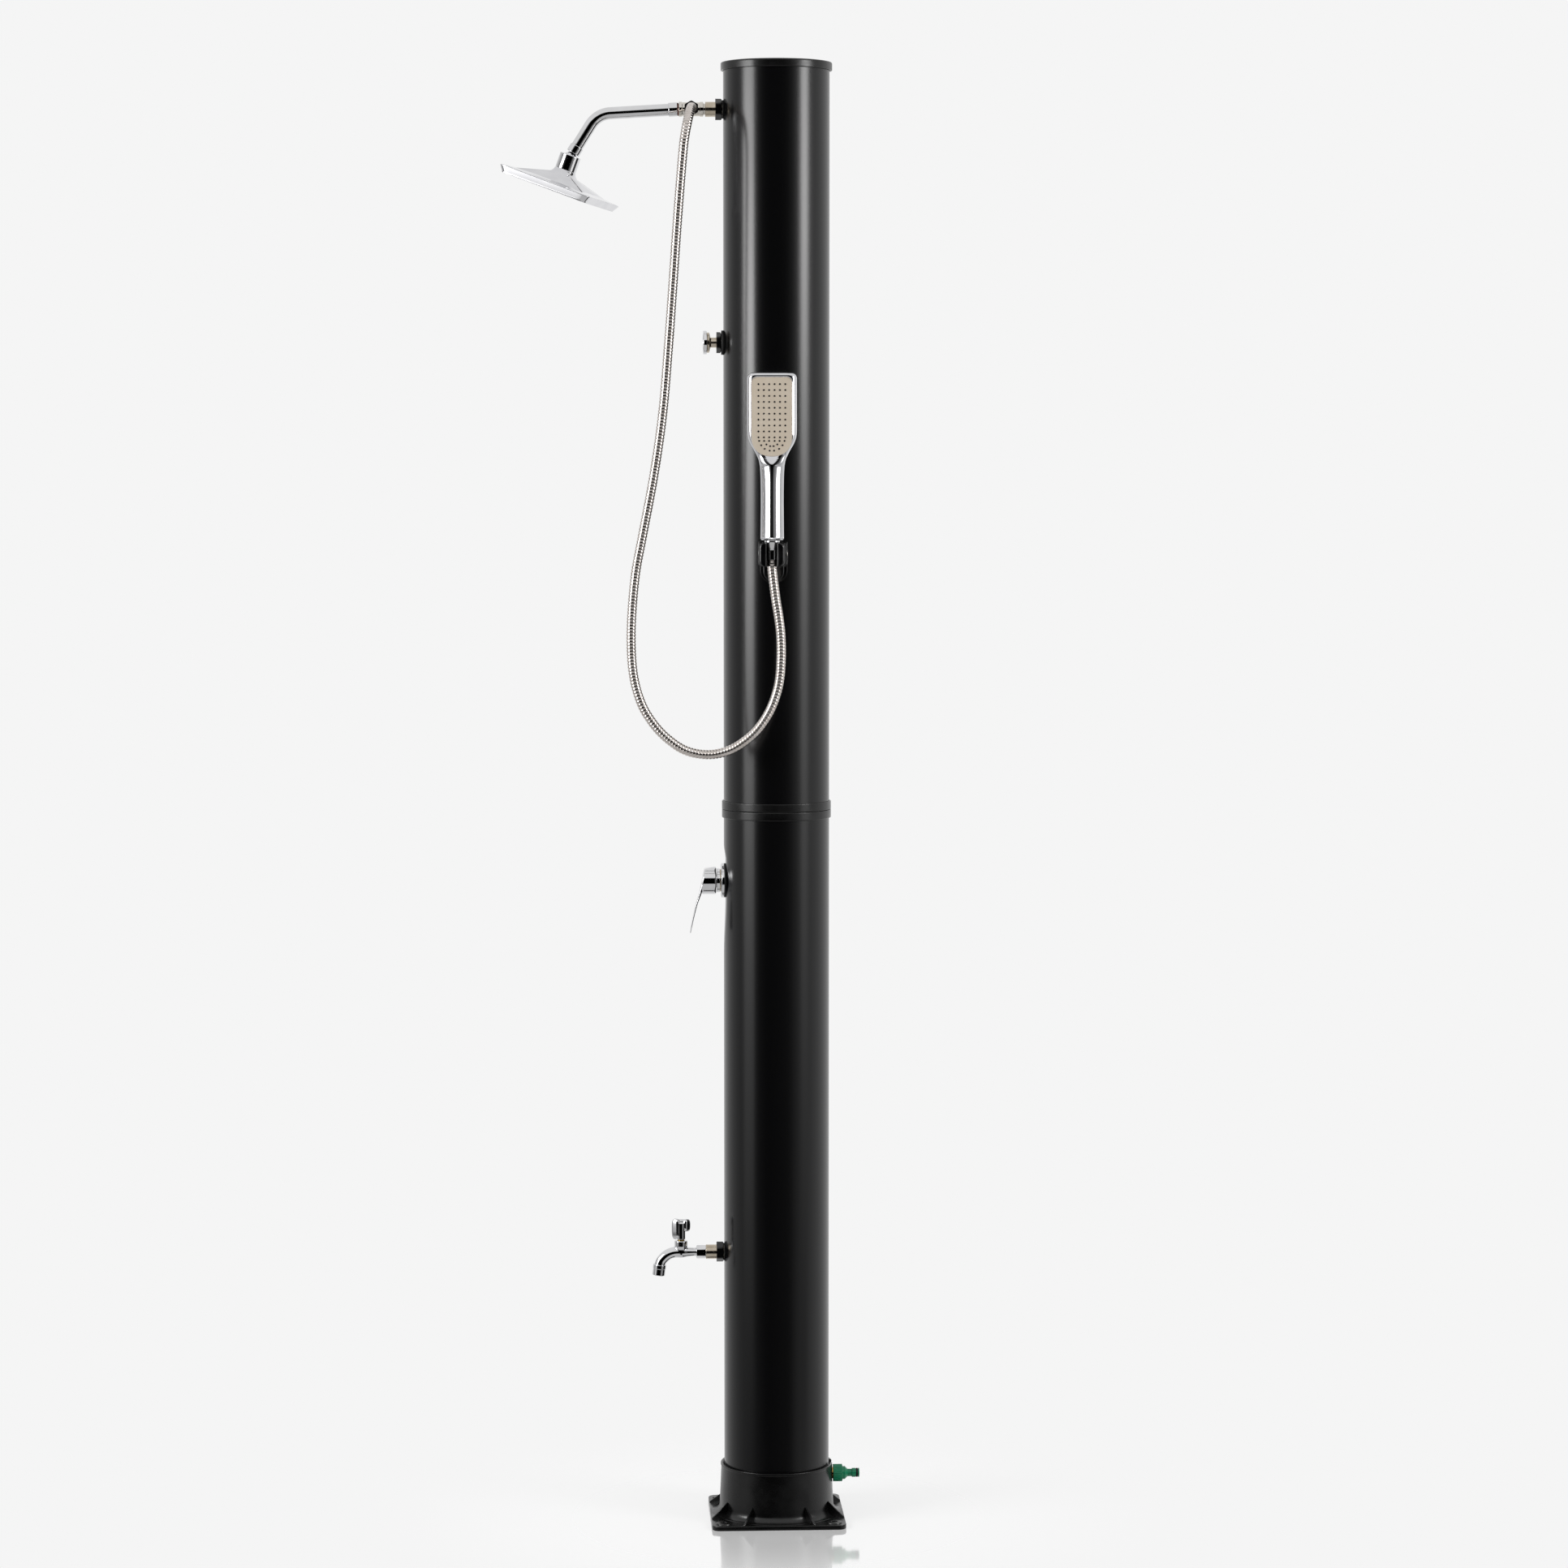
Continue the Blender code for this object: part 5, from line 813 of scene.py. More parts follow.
# %% Wall fittings of the arm and of the tap
nut_low = tank_radius + 1.7
arm_nipple_end = nut_low + 9.8 + 15
arm_wall_nut = nut(16, 11.3, nut_low, nut_low + 9.8, 2.6, 0, arm_axis)
piece("arm_washer", washer(13.6, 11.3, 1.4, arm_axis), nitrile, "outlet_washer")
piece("arm_wall_nut", arm_wall_nut, glossy_abs, "outlet_lock_nut")
arm_nipple = tube_between(11, 8.4, 55.3, arm_nipple_end, arm_axis)
piece("arm_nipple", arm_nipple, nickel, "outlet_nipple")
nut_low = tank_radius + 0.9
tap_nipple_end = nut_low + 10.7 + 16.1
tap_wall_nut = nut(15.5, 11.05, nut_low, nut_low + 10.7, 2.6, 0, tap_axis)
piece("tap_washer_ring", washer(13.35, 11.05, 0.6, tap_axis), nitrile, "tap_washer")
piece("tap_wall_nut", tap_wall_nut, glossy_abs, "tap_lock_nut")
tap_nipple = tube_between(10.75, 8.15, 55.3, tap_nipple_end, tap_axis)
piece("tap_wall_nipple", tap_nipple, nickel, "tap_nipple")

# %% [markdown]
# ## The tee
# A nickel-plated casting that sends water to the arm or down the hose. Where the branch
# meets the run two round shapes simply pass through each other, as on the real casting,
# whose inner corners are sharp. A black nut holds the hose, and behind it sits the knob
# of the diverter, which the photograph hides, so its shape is a plain bar knob.

# %% Tee, hose nut and diverter knob
tee_start = arm_nipple_end + 0.3
tee_mouth = tee_start + 38.6
tee_run = [(9.6, 35.3), (9.6, 38.6), (11, 38.6), (11, 34), (10.2, 33.2), (10.2, 7.8), (11, 7)]
tee_run += [(11, 2.4), (8.4, 2.4), (8.4, 0), (8.1, 0), (8.1, -8.1), (6.6, -8.1), (6.6, 35.3)]
run_edges = [0, 0.3] + [0.6] * 6 + [0.2] * 6
tee_centre = np.array([-(tee_start + 2.4 + tee_mouth) / 2, 0, arm_height])
branch_axis, knob_axis = (frame_at(tee_centre, way, UP) for way in (FRONT, -FRONT))
branch = [(4.2, 20), (6.2, 20), (6.2, 13.5), (8.5, 13.5), (8.5, 11.5), (7.9, 10.8), (7.9, -12)]
branch += [(8.5, -12.8), (8.5, -15), (4.3, -15), (4.3, -5), (4.2, -5)]
tee = merged(
    lathe(tee_run, run_edges, further(arm_axis, tee_start)),
    lathe(branch, [0.4] * 9 + [0, 0, 0], branch_axis),
)
piece("tee_casting", tee, polished_nickel, "diverter_tee")
hose_nut = nut(11.4, 6.5, 13.8, 24.2, 0, 1.3, branch_axis)
piece("hose_nut_at_tee", hose_nut, glossy_abs, "hose_tee_nut")
knob = [(0, 20.3), (10, 20.3), (10, 15.3), (4, 15.3), (4, 10.6), (0, 10.6)]
knob_bar = moved(plate(rounded_rectangle(12.5, 3.5, 3), 17.5, 26.8, 1), knob_axis)
bar_knob = merged(lathe(knob, [0, 1.2, 0.8, 0.3, 0.3, 0], knob_axis), knob_bar)
piece("diverter_bar_knob", bar_knob, nickel, "diverter_knob", body="diverter")

# %% [markdown]
# ## The arm
# An 18 mm chromed tube, bent so gently that its inner side shows no wrinkle: it droops 3.5
# degrees, then bends down to 57.7. A curve through hand-placed points would bulge before
# the bend, so the path is worked out as two straight lines and the arc that touches both.

# %% Shower arm and its ferrules
arm_start = np.array([-tee_mouth, 0, arm_height])
droop, slope, bend_radius = math.radians(3.5), math.radians(57.7), 37
run, leg = (np.array([-math.cos(a), 0, -math.sin(a)]) for a in (droop, slope))
arm_corner = arm_start + run * 119.4
ball = arm_corner + leg * 77.4
half_turn = (slope - droop) / 2
inward = (leg - run) / np.linalg.norm(leg - run)
bend_centre = arm_corner + inward * bend_radius / math.cos(half_turn)
spoke = arm_corner - run * bend_radius * math.tan(half_turn) - bend_centre
bend_turns = np.linspace(0, 2 * half_turn, 40)[:, None]
bend = bend_centre + np.cos(bend_turns) * spoke + np.sin(bend_turns) * bend_radius * run
arm_line = np.vstack(
    [
        np.linspace(arm_start - run * 3, bend[0], 6)[:-1],
        bend,
        np.linspace(bend[-1], ball - leg * 11.8, 5)[1:],
    ]
)
piece("bent_arm", swept(arm_line, 9, FRONT, 96), chrome, "shower_arm")
run_axis, leg_axis = frame_at(arm_start, run, UP), frame_at(ball, -leg, UP)
arm_ring = tube_between(9.6, 9.1, 0.7, 1.9, run_axis)
piece("arm_sealing_ring", arm_ring, red_fibre, "arm_o_ring")
rear_ferrule = tube_between(10.3, 9.2, 2.2, 14.8, run_axis, 0.6)
piece("arm_ferrule", rear_ferrule, chrome, "arm_rear_ferrule")
ferrule = [(10.3, 21.2), (10.3, 9.5), (5.8, 9.5), (5.8, 11.5), (9.2, 11.5), (9.2, 21.2)]
front_ferrule = lathe(ferrule, [0.7, 0.7, 0, 0, 0, 0], leg_axis)
piece("arm_end_ferrule", front_ferrule, chrome, "arm_front_ferrule")
ball_arc = arc(10.5, np.radians(np.linspace(58.4, -71, 40)))
ball_line = np.vstack([[(5.5, 19)], ball_arc, [(3.2, -10), (3.2, 19)]])
piece("swivel_ball_joint", turned(ball_line, leg_axis, ring=True), chrome, "swivel_ball")

# %% [markdown]
# ## The rain head
# A square head that flares out of a round neck. Seen from above, its outline changes from
# a circle to a square with small round corners, and its height falls fast near the neck
# and slowly near the rim. A superellipse makes that change in one formula: its exponent is
# 2 for a circle and 20 for the square. The rings that the CAD names are joined by smooth
# curves, so that the chrome shows no facet.


# %% Superellipses
def squircle_rings(rows, columns=256):
    """Rings of superellipses, from rows of (half width a, exponent n, height). Seen at
    angle t, a ring's point lies at the radius a (|cos t|^n + |sin t|^n)^(-1/n)."""
    half_width, exponent, height = (np.array(rows, float)[:, k : k + 1] for k in range(3))
    seen = full_turn(columns)
    sum_of_powers = np.abs(np.cos(seen)) ** exponent + np.abs(np.sin(seen)) ** exponent
    return around(half_width * sum_of_powers ** (-1 / exponent), height, seen)


head_tilt, head_turn, head_roll = math.radians(20), math.radians(-20), math.radians(4.2)
roll_c, roll_s = math.cos(head_roll), math.sin(head_roll)
roll = np.array([[1, 0, 0], [0, roll_c, -roll_s], [0, roll_s, roll_c]])
head_up = roll @ np.array([math.sin(head_tilt), 0, math.cos(head_tilt)])
head_across = roll @ np.array([math.cos(head_tilt), 0, -math.sin(head_tilt)])
head_beside = np.cross(head_up, head_across)
head_forward = head_across * math.cos(head_turn) + head_beside * math.sin(head_turn)
head_axis = frame_at(ball, head_up, head_forward)
print("head axis", np.round(head_up, 4))

# %% Rain head
neck, shoulder, edge_top, edge_low, half, low_half = 15.85, -17.2, -41.2, -50.6, 74, 69.7
head_nut = [(11.6, 5.5), (neck, 5.5), (neck, -16.9), (13.85, -16.9), (13.85, 3), (11.9, 3)]
head_nut = lathe(head_nut, [0.4, 1, 0.3, 0, 0, 0], head_axis)
piece("head_swivel_nut", head_nut, chrome, "head_nut", body="rain_head")
# share of the way out, exponent, share of the way down
flare_rows = [(0, 2, 0), (0.04, 2.2, 0.23), (0.17, 2.8, 0.50), (0.415, 4, 0.73)]
flare_rows = np.array(flare_rows + [(0.732, 7, 0.89), (0.957, 16, 0.965), (1, 20, 1)])
exponent_scale = 20
flare_rows[:, 0] = neck + (half - neck) * flare_rows[:, 0]
flare_rows[:, 1] = np.log(flare_rows[:, 1]) * exponent_scale
flare_rows[:, 2] = shoulder + (edge_top - shoulder) * flare_rows[:, 2]
flare_line, _ = smooth_line(flare_rows, 72)
flare_line[:, 1] = np.exp(flare_line[:, 1] / exponent_scale)
rim = [(math.sin(q), math.cos(q)) for q in np.linspace(0, np.pi / 2, 6)]
shell_rows = [(10.3, 2, -14), (13.5, 2, -14), (13.5, 2, -17.1), (14.6, 2, -17.05)]
shell_rows += [*flare_line[:-1]]
shell_rows += [(half - 0.6 * (1 - s), 20, edge_top - 0.6 * (1 - c)) for s, c in rim]
shell_rows += [(half - 0.1, 20, edge_top - 1), (low_half + 0.3, 20, edge_low + 1)]
shell_rows += [(low_half - 0.7 * (1 - c), 20, edge_low - 1.2 * s) for s, c in rim]
shell_rows += [(68.8, 20, -51.5), (68.6, 20, -51.2), (68.6, 20, -43.2), (10.3, 2, -22)]
head_shell = shell(placed(squircle_rings(shell_rows), head_axis), ring=True)
piece("head_flared_shell", head_shell, wavy_chrome, "head_shell", body="rain_head")

# %% [markdown]
# ## Nozzles
# The underside is a grey plate with rows of soft silicone nozzles, which one rubs to break
# the scale off. A nozzle is repeated over a hundred times, so it is a small cone of a few
# dozen faces, and all of them are one mesh: one nozzle's points plus each one's place.


# %% Nozzle plate
def nozzle_field(places, profile, matrix, sides=10):
    """The same small lathe shape at every place: its points are added to each place as
    one array, and each copy closes with a fan at its tip and at its root."""
    one_points, one_faces = turned(profile, np.eye(4), sides)
    places = np.column_stack([places, np.zeros(len(places))])
    points = placed((one_points[None] + places[:, None]).reshape(-1, 3), matrix)
    shifts = len(one_points) * np.arange(len(places))
    faces = [[i + shift for i in face] for shift in shifts for face in one_faces]
    return points, outward(points, faces)


plate_rows = [(68.3, 20, -45.3), (68.3, 20, -49.2), (68, 20, -49.7), (67.5, 20, -50)]
plate_rows += [(66.8, 20, -50.4), (66.2, 20, -50.5), (64, 20, -50.5)]
nozzle_plate = shell(placed(squircle_rings(plate_rows), head_axis))
piece("rain_nozzle_plate", nozzle_plate, grey_abs, "nozzle_plate", body="rain_head")
nozzle_spacing = 11.8
steps = (np.arange(11) - 5) * nozzle_spacing
grid_x, grid_y = np.meshgrid(steps, steps)
rain_places = np.column_stack([grid_x.ravel(), grid_y.ravel()])
under_head = further(head_axis, -50.4)
under_head[:3, 1:3] *= -1
rain_nozzle = [(2.1, 0), (1.9, 0.4), (1.2, 1.1), (0.9, 1.3), (0.5, 1.2)]
rain_nozzles = nozzle_field(rain_places, rain_nozzle, under_head)
piece("rain_nozzles", rain_nozzles, nozzle_rubber, body="rain_head")

# %% [markdown]
# ## The dial thermometer
# A nickel case with a chromed bezel screws into the wall and reads the water in the upper
# tank. From the front of the shower it is edge-on, and from the side its dial shows:
# a white enamelled disc with ticks every 2 degrees, longer ones every 10, and plain
# numbers every 20.

# %% Thermometer case, nut and bezel
saddle = washer(18, 7.8, 3.2, thermometer_axis)
piece("thermometer_saddle", saddle, nitrile, "thermometer_gasket")
thermometer_nut = nut(15.8, 7.8, 82, 88.8, 2.6, 0, thermometer_axis)
piece("thermometer_wall_nut", thermometer_nut, glossy_abs, "thermometer_nut")
case = [(0, 98), (1.3, 98), (1.3, 100.6), (13.5, 100.6), (13.5, 105.8), (15, 105.8)]
case += [(15, 99.3), (7.5, 97.2), (7.5, 67.8), (3, 63.3), (3, 42), (0, 42)]
case = lathe(case, [0] * 6 + [1] * 5 + [0], thermometer_axis)
piece("thermometer_case_turned", case, nickel, "thermometer_case")
bezel = [(13.8, 108.4), (17.5, 108.4), (17.5, 103.1), (15.3, 103.1), (15.3, 107.2), (13.8, 107.2)]
bezel = lathe(bezel, [0.4, 0.9, 0.4, 0.2, 0, 0.2], thermometer_axis)
piece("thermometer_bezel_ring", bezel, chrome, "thermometer_bezel")

# %% [markdown]
# The dial is stamped from sheet, enamelled white and printed before it goes in. Its print
# stands 0.03 mm proud here, so that it is a shape and not a picture. The flat glass rests
# on the case's rim under the bezel, and the pointer is a thin blade with a round boss.


# %% Thermometer dial, glass and pointer
def tick_boxes(turns, inner, outer, wide, low, high):
    """Thin boxes round the dial: each corner is radius times the tick's direction plus
    half a width times the direction across it, clockwise from straight up."""
    out = np.stack([np.cos(turns), -np.sin(turns)], -1)
    side = np.stack([np.sin(turns), np.cos(turns)], -1)
    corners = [(inner, -1), (outer, -1), (outer, 1), (inner, 1)]
    flat = np.stack([r * out + w * wide / 2 * side for r, w in corners], 1)
    both = [np.concatenate([flat, np.full(flat.shape[:2] + (1,), h)], -1) for h in (low, high)]
    points = np.concatenate(both, 1).reshape(-1, 3)
    box = [[3, 2, 1, 0], [4, 5, 6, 7], [0, 1, 5, 4], [1, 2, 6, 5], [2, 3, 7, 6], [3, 0, 4, 7]]
    faces = [[8 * k + i for i in face] for k in range(len(turns)) for face in box]
    return points, outward(points, faces)


def printed_number(text, size, turn, reach, low, high):
    """A number as a thin solid: the built-in font's outline filled and extruded, its
    doubled points made one, moved to its place on the dial and kept upright."""
    letters = bpy.data.curves.new("dial_number", "FONT")
    letters.body, letters.size, letters.resolution_u = text, size / 1000, 3
    letters.align_x, letters.align_y = "CENTER", "CENTER"
    letters.extrude = (high - low) / 2000
    holder = bpy.data.objects.new("dial_number", letters)
    bpy.context.scene.collection.objects.link(holder)
    points, faces = points_and_faces(holder)
    bpy.data.curves.remove(letters)
    kept, index = np.unique(np.round(points, 7), axis=0, return_inverse=True)
    index = index.ravel()
    place = np.column_stack([kept[:, 1], -kept[:, 0], kept[:, 2]]) * 1000
    place += [reach * math.cos(turn), -reach * math.sin(turn), (low + high) / 2]
    faces = [[int(index[i]) for i in face] for face in faces]
    return place, [face for face in faces if len(set(face)) == len(face)]


dial_low, dial_high = 100.9, 101.7
disc = [(1.3, dial_low), (13.2, dial_low), (13.2, dial_high), (1.3, dial_high)]
disc = lathe(disc, 0.1, thermometer_axis)
piece("thermometer_dial_disc", disc, dial_enamel, "thermometer_dial")
degrees = np.arange(0, 121, 2)
turns = np.radians(-135 + degrees * 270 / 120)
tens = degrees % 10 == 0
ink = (dial_high - 0.02, dial_high + 0.03)
marks = [tick_boxes(turns[~tens], 11.7, 12.5, 0.14, *ink)]
marks += [tick_boxes(turns[tens], 10.8, 12.5, 0.26, *ink)]
marks += [
    printed_number(str(d), 2.7, t, 8.7, *ink) for d, t in zip(degrees, turns) if d % 20 == 0
]
piece("thermometer_dial_print", moved(merged(*marks), thermometer_axis), dial_ink)
glass = [(0, 106.9), (15, 106.9), (15, 106.1), (0, 106.1)]
glass = lathe(glass, [0, 0.2, 0.2, 0], thermometer_axis)
piece("thermometer_glass", glass, lens_glass, "thermometer_lens")
boss = [(0, 102.7), (2, 102.7), (2, 102), (1, 102), (1, 98.3), (0, 98.3)]
boss = lathe(boss, [0, 0.2, 0.1, 0, 0.1, 0], thermometer_axis, 48)
blade = [(-3.4, -0.7), (-3.4, 0.7), (1.5, 0.7), (10, 0.2), (10.5, 0), (10, -0.2), (1.5, -0.7)]
blade = moved(plate(blade[::-1], 102.1, 102.6, 0.06), thermometer_axis)
pointer = merged(boss, blade)
piece("thermometer_hand", pointer, glossy_abs, "thermometer_pointer", body="needle")

# %% [markdown]
# ## The mixer
# The mixer is clamped on the pressed seat: a chromed flange, a ring, and over the
# cartridge a lever whose cap is cut off at a slant and whose blade hangs down in a slow
# curve. The cap is worked out like the nut: at each angle its wall goes out to the cap's
# radius or to the slanted brow, whichever is nearer, and up to the slanted face.

# %% Mixer flange and ring
seat = further(mixer_axis, tank_radius - seat_depth)
gasket = tube_between(25.5, 17.1, 0.3, 2.1, seat, 0.4, 128)
piece("mixer_seat_gasket", gasket, nitrile, "mixer_gasket")
flange = [(17.1, 2.4), (26, 2.4), (26, 6.5), (23.5, 7.7), (17.1, 7.7)]
flange = lathe(flange, [0, 0.6, 1, 1.4, 0.3], seat, 160)
piece("mixer_wall_flange", flange, chrome, "mixer_flange")
ring = [(18, 13.9), (18, 9.1), (17.1, 9.1), (17.1, 12.7), (11.4, 12.7), (11.4, 13.9)]
ring = lathe(ring, [0.6, 0.3, 0, 0, 0, 0.3], seat, 128)
piece("mixer_clamp_ring", ring, chrome, "mixer_ring")

# %% Mixer lever
cap_radius, cap_depth, cap_edge, cap_crown = 20.7, 21, 1.6, 0.5
face_slant, brow_slant = math.tan(math.radians(11.5)), math.tan(math.radians(11))
lever_axis = further(seat, 14.8)
cap_angles = full_turn(192)


def face_level(x):
    """The cap's outer face: slanted above the middle, straight below it."""
    return soft_min(cap_depth - x * face_slant, cap_depth + 0 * x, 0.8)


def cap_ring(height_share, inset):
    """One ring of the cap: at this share of the way to the slanted face, inset from the
    wall. The brow's limit on x is R - (z - 0.15 depth) tan(brow), turned into a radius by
    dividing by cos(angle) where that is positive."""
    up_part = np.cos(cap_angles)
    radius = np.full(192, cap_radius)
    for _ in range(4):
        height = face_level(radius * up_part) * height_share
        limit = cap_radius - (height - 0.15 * cap_depth) * brow_slant
        brow = np.where(up_part > 0.05, limit / np.maximum(up_part, 0.05), 9000.0)
        radius = soft_min(cap_radius + 0 * brow, brow, 0.4)
    return around(np.maximum(radius - inset, 0), height, cap_angles)


def cap_grid():
    """The hollow that clears the clamp ring, then the skirt, the wall, an edge rounded by
    1.6 mm, and the face crowned by 0.5 mm."""
    hollow = [(4, 9.5), (18.6, 9.5), (19.1, 9), (19.1, 0.3)]
    rings = [around(r, h, cap_angles) for r, h in hollow]
    wall = [(0.0, 1.6), (0.0, 0.5)] + [(s, 0) for s in (0.012, 0.15, 0.3)]
    wall += [(s, 0) for s in np.linspace(0.4, 0.9, 8)]
    rings += [cap_ring(share, inset) for share, inset in wall]
    for q in np.linspace(0, np.pi / 2, 7):
        ring = cap_ring(1, cap_edge * (1 - math.cos(q)))
        ring[:, 2] = face_level(ring[:, 0]) - cap_edge * (1 - math.sin(q))
        rings.append(ring)
    for share in np.linspace(0.88, 0.06, 9):
        ring = cap_ring(1, cap_edge) * [share, share, 1]
        ring[:, 2] = face_level(ring[:, 0]) + cap_crown * (1 - share**2)
        rings.append(ring)
    return np.array(rings)


# out of the wall, up, how wide, how thick
blade_drawn = [(16, 10, 24, 4), (17.2, 4, 25.2, 5), (18.6, -3, 26, 5.6), (20.3, -10, 26.4, 5)]
blade_drawn += [(23.2, -19, 26.2, 3.4), (25.7, -26.5, 26, 2.8), (28.6, -35, 25.6, 2.4)]
blade_drawn += [(32.8, -52, 24, 1.8), (36, -67, 22.2, 1.6), (37.2, -74, 21, 1.6)]
blade_drawn += [(37.6, -78.5, 20.4, 1.8)]


def blade_surface():
    """Superellipse sections carried down the blade's curve. The section is wide across
    and thin along the curve's normal, and it shrinks to a round tip."""
    rows, tip_from = np.arange(60), 51
    line, _ = smooth_line(blade_drawn, 60)
    way = np.gradient(line[:, :2], axis=0)
    way /= np.linalg.norm(way, axis=1, keepdims=True)
    tip = np.sqrt(np.clip(1 - ((rows - tip_from) / 8.4) ** 2, 0.02, 1))
    tip = np.where(rows < tip_from, 1, tip)
    out, down, wide, thick = line.T[:, :, None]
    turn = full_turn(48)
    c, s = np.cos(turn), np.sin(turn)
    tip = tip[:, None]
    across = np.sign(c) * np.abs(c) ** (2 / 8) * wide * (0.35 + 0.65 * tip) / 2
    through = np.sign(s) * np.abs(s) ** (2 / 5) * thick * (0.5 + 0.5 * tip) / 2
    through = through + 0.6 * (1 - (across / (wide / 2)) ** 2)
    x, z = down + through * way[:, :1], out - through * way[:, 1:]
    return shell(placed(np.stack([x, across, z], -1), lever_axis))


stem = moved(plate(rounded_rectangle(3.5, 2.5, 0.8), -6.2, 10, 0.4), lever_axis)
lever = merged(shell(placed(cap_grid(), lever_axis)), blade_surface(), stem)
piece("mixer_slanted_lever", lever, chrome, "mixer_lever", body="lever")

# %% [markdown]
# ## The foot tap
# A small angle tap for rinsing feet. Its body is cast and polished, so every change of
# width is a hollow curve and not a step. The handle is one moulding with two wings, a long
# one that hangs down on the left and a short one on the right.

# %% Tap body
tap_start = tap_nipple_end + 0.3
tap_middle = np.array([-143.3, 0, tap_height])
waist = [(8.1, -8.1), (8.1, 0.3), (7, 13.6), (6.2, 15.6), (6.2, 17.5), (7.2, 27.1)]
waist += [(8.6, 32.7), (8.6, 36.8), (5, 36.8), (4.4, 34.5), (4.4, -8.1)]
waist_edges = [0.3, 0.3, 2, 3, 4, 6, 4, 1, 1, 1, 0]
upright = frame_at(tap_middle, UP, RIGHT)
bonnet = [(8.6, -4), (8.6, 0.8), (8.7, 4), (9.2, 7), (10, 9), (10, 16.8), (9.3, 17.5)]
bonnet += [(5.8, 17.5), (5.8, 0)]
lean = math.radians(6.7)
fall = np.array([-math.sin(lean), 0, -math.cos(lean)])
spout = [(2.6, 0), (-10.5, -0.6), (-20.5, -4.4), (-28.7, -12), (-31.9, -18.5)]
spout_line, _ = smooth_line([tap_middle + (x, 0, z) for x, z in spout], 40)
spout_end = spout_line[-1] + fall * 10
spout_line = np.vstack([spout_line, spout_line[-1] + fall * 5, spout_end])
spout_radii = 8.2 + 0.6 * np.exp(-((np.arange(42) / 8) ** 2))
cast_parts = merged(
    lathe(waist, waist_edges, further(tap_axis, tap_start)),
    lathe(bonnet, [0, 2, 6, 6, 3, 0.6, 0.6, 0.3, 0], upright),
    turned(arc(8.8, np.linspace(-1.4, 1.4, 30)), upright, 72),
    swept(spout_line, spout_radii, FRONT, 64),
)
tap_hexagon = nut(10.4, 8, tap_start, tap_start + 13.7, 1, 1.4, tap_axis)
tap_body = merged(blended(cast_parts, 0.45, 14), tap_hexagon)
piece("tap_casting", tap_body, chrome, "tap_body")
spindle = lathe([(0, 30), (4.8, 30), (4.8, 11), (0, 11)], 0.4, upright, 48)
piece("tap_brass_spindle", spindle, brass, "tap_spindle", body="tap_knob")
mouth_axis = frame_at(spout_end, fall, RIGHT)
mouth = [(8.8, -10), (10, -9.6), (10, -4), (9.6, -3.4), (9.6, 5.6), (9.2, 6.3), (8.2, 6.3)]
mouth += [(8.2, -0.2), (8.8, -0.4)]
mouth = lathe(mouth, [0, 0.4, 0.4, 0.4, 0.4, 0.3, 0.3, 0, 0], mouth_axis)
piece("tap_mouth_ring", mouth, chrome, "tap_aerator")
strainer = lathe([(0, 3.5), (8, 3.5), (8, 2), (0, 2)], 0.3, mouth_axis, 64)
piece("tap_strainer", strainer, grey_abs)


# %% Tap handle
def pillow(centre, half, power, degrees=0.0, count=40):
    """A box with round edges, turned about z: a sphere's points moved in or out until
    |x|^n + |y|^n + |z|^n is 1, then stretched to the box's half sizes."""
    down = np.linspace(0, np.pi, count // 2 + 2)[1:-1][:, None]
    way = around(np.sin(down), np.cos(down), full_turn(count))
    size = (np.abs(way) ** power).sum(-1, keepdims=True) ** (1 / power)
    turn = math.radians(degrees)
    side = (math.cos(turn), math.sin(turn), 0)
    return shell(placed(placed(way * half / size, frame_at(centre, UP, side)), upright))


hub = [(4.7, 19.6), (6.8, 19.6), (6.6, 44), (0, 47), (0, 30.3), (4.7, 30.3)]
handle_parts = merged(
    lathe(hub, 0.5, upright, 64),
    pillow((-7.4, -0.4, 34.9), (6.7, 4.6, 15.8), 3.2, -31),
    pillow((8, 0, 40.4), (5.8, 4.4, 9.5), 3.2, 31),
    pillow((0, 1, 44), (11, 4.6, 5.6), 2.6),
)
tap_handle = blended(handle_parts, 0.35, 5)
piece("tap_lobed_handle", tap_handle, chrome, "tap_handle", body="tap_knob")

# %% [markdown]
# ## The garden-hose inlet
# A brass nipple and the green tail that a hose connector snaps on to. The tail's nut has
# fine ribs to grip, each 1 mm wide: the radius rises and falls with the angle, and only
# over the nut's own length.

# %% Inlet
nipple = [(8.5, 93.5), (8.5, 73.5), (12, 73.5), (12, 69.5), (8.5, 69.5), (8.5, 49.3)]
nipple = lathe(nipple + [(6.3, 49.3), (6.3, 93.5)], 0.4, inlet_axis)
piece("inlet_brass_nipple", nipple, brass, "inlet_nipple")
tail_nut_end = 99.2
tail = [(6.8, 124.9), (6.8, 123.1), (5, 123.1), (5, 119.6), (6.8, 119.6), (6.8, 113.8)]
tail += [(5.65, 113.8), (5.65, 107.1), (9.75, 103.2), (9.75, tail_nut_end)]
tail += [(13, tail_nut_end), (13, 85.2), (8.8, 85.2), (8.8, 93.8), (3.2, 93.8), (3.2, 124.9)]
tail_edges = [0.7, 0.3, 0.2, 0.2, 0.3, 0.4, 0.6, 0.6, 0.6, 0.5, 0.9, 0.6, 0.3, 0, 0, 0.4]
tail_line = eased(tail, tail_edges, closed=True)
tail_turns = full_turn(288)
on_nut = (tail_line[:, 0] > 12.2) & (tail_line[:, 1] < tail_nut_end - 0.2)
rib_wave = 0.45 * (0.5 - 0.5 * np.tanh(2.5 * np.cos(36 * tail_turns))) / np.tanh(2.5)
tail_reach = tail_line[:, :1] - np.where(on_nut[:, None], rib_wave, 0)
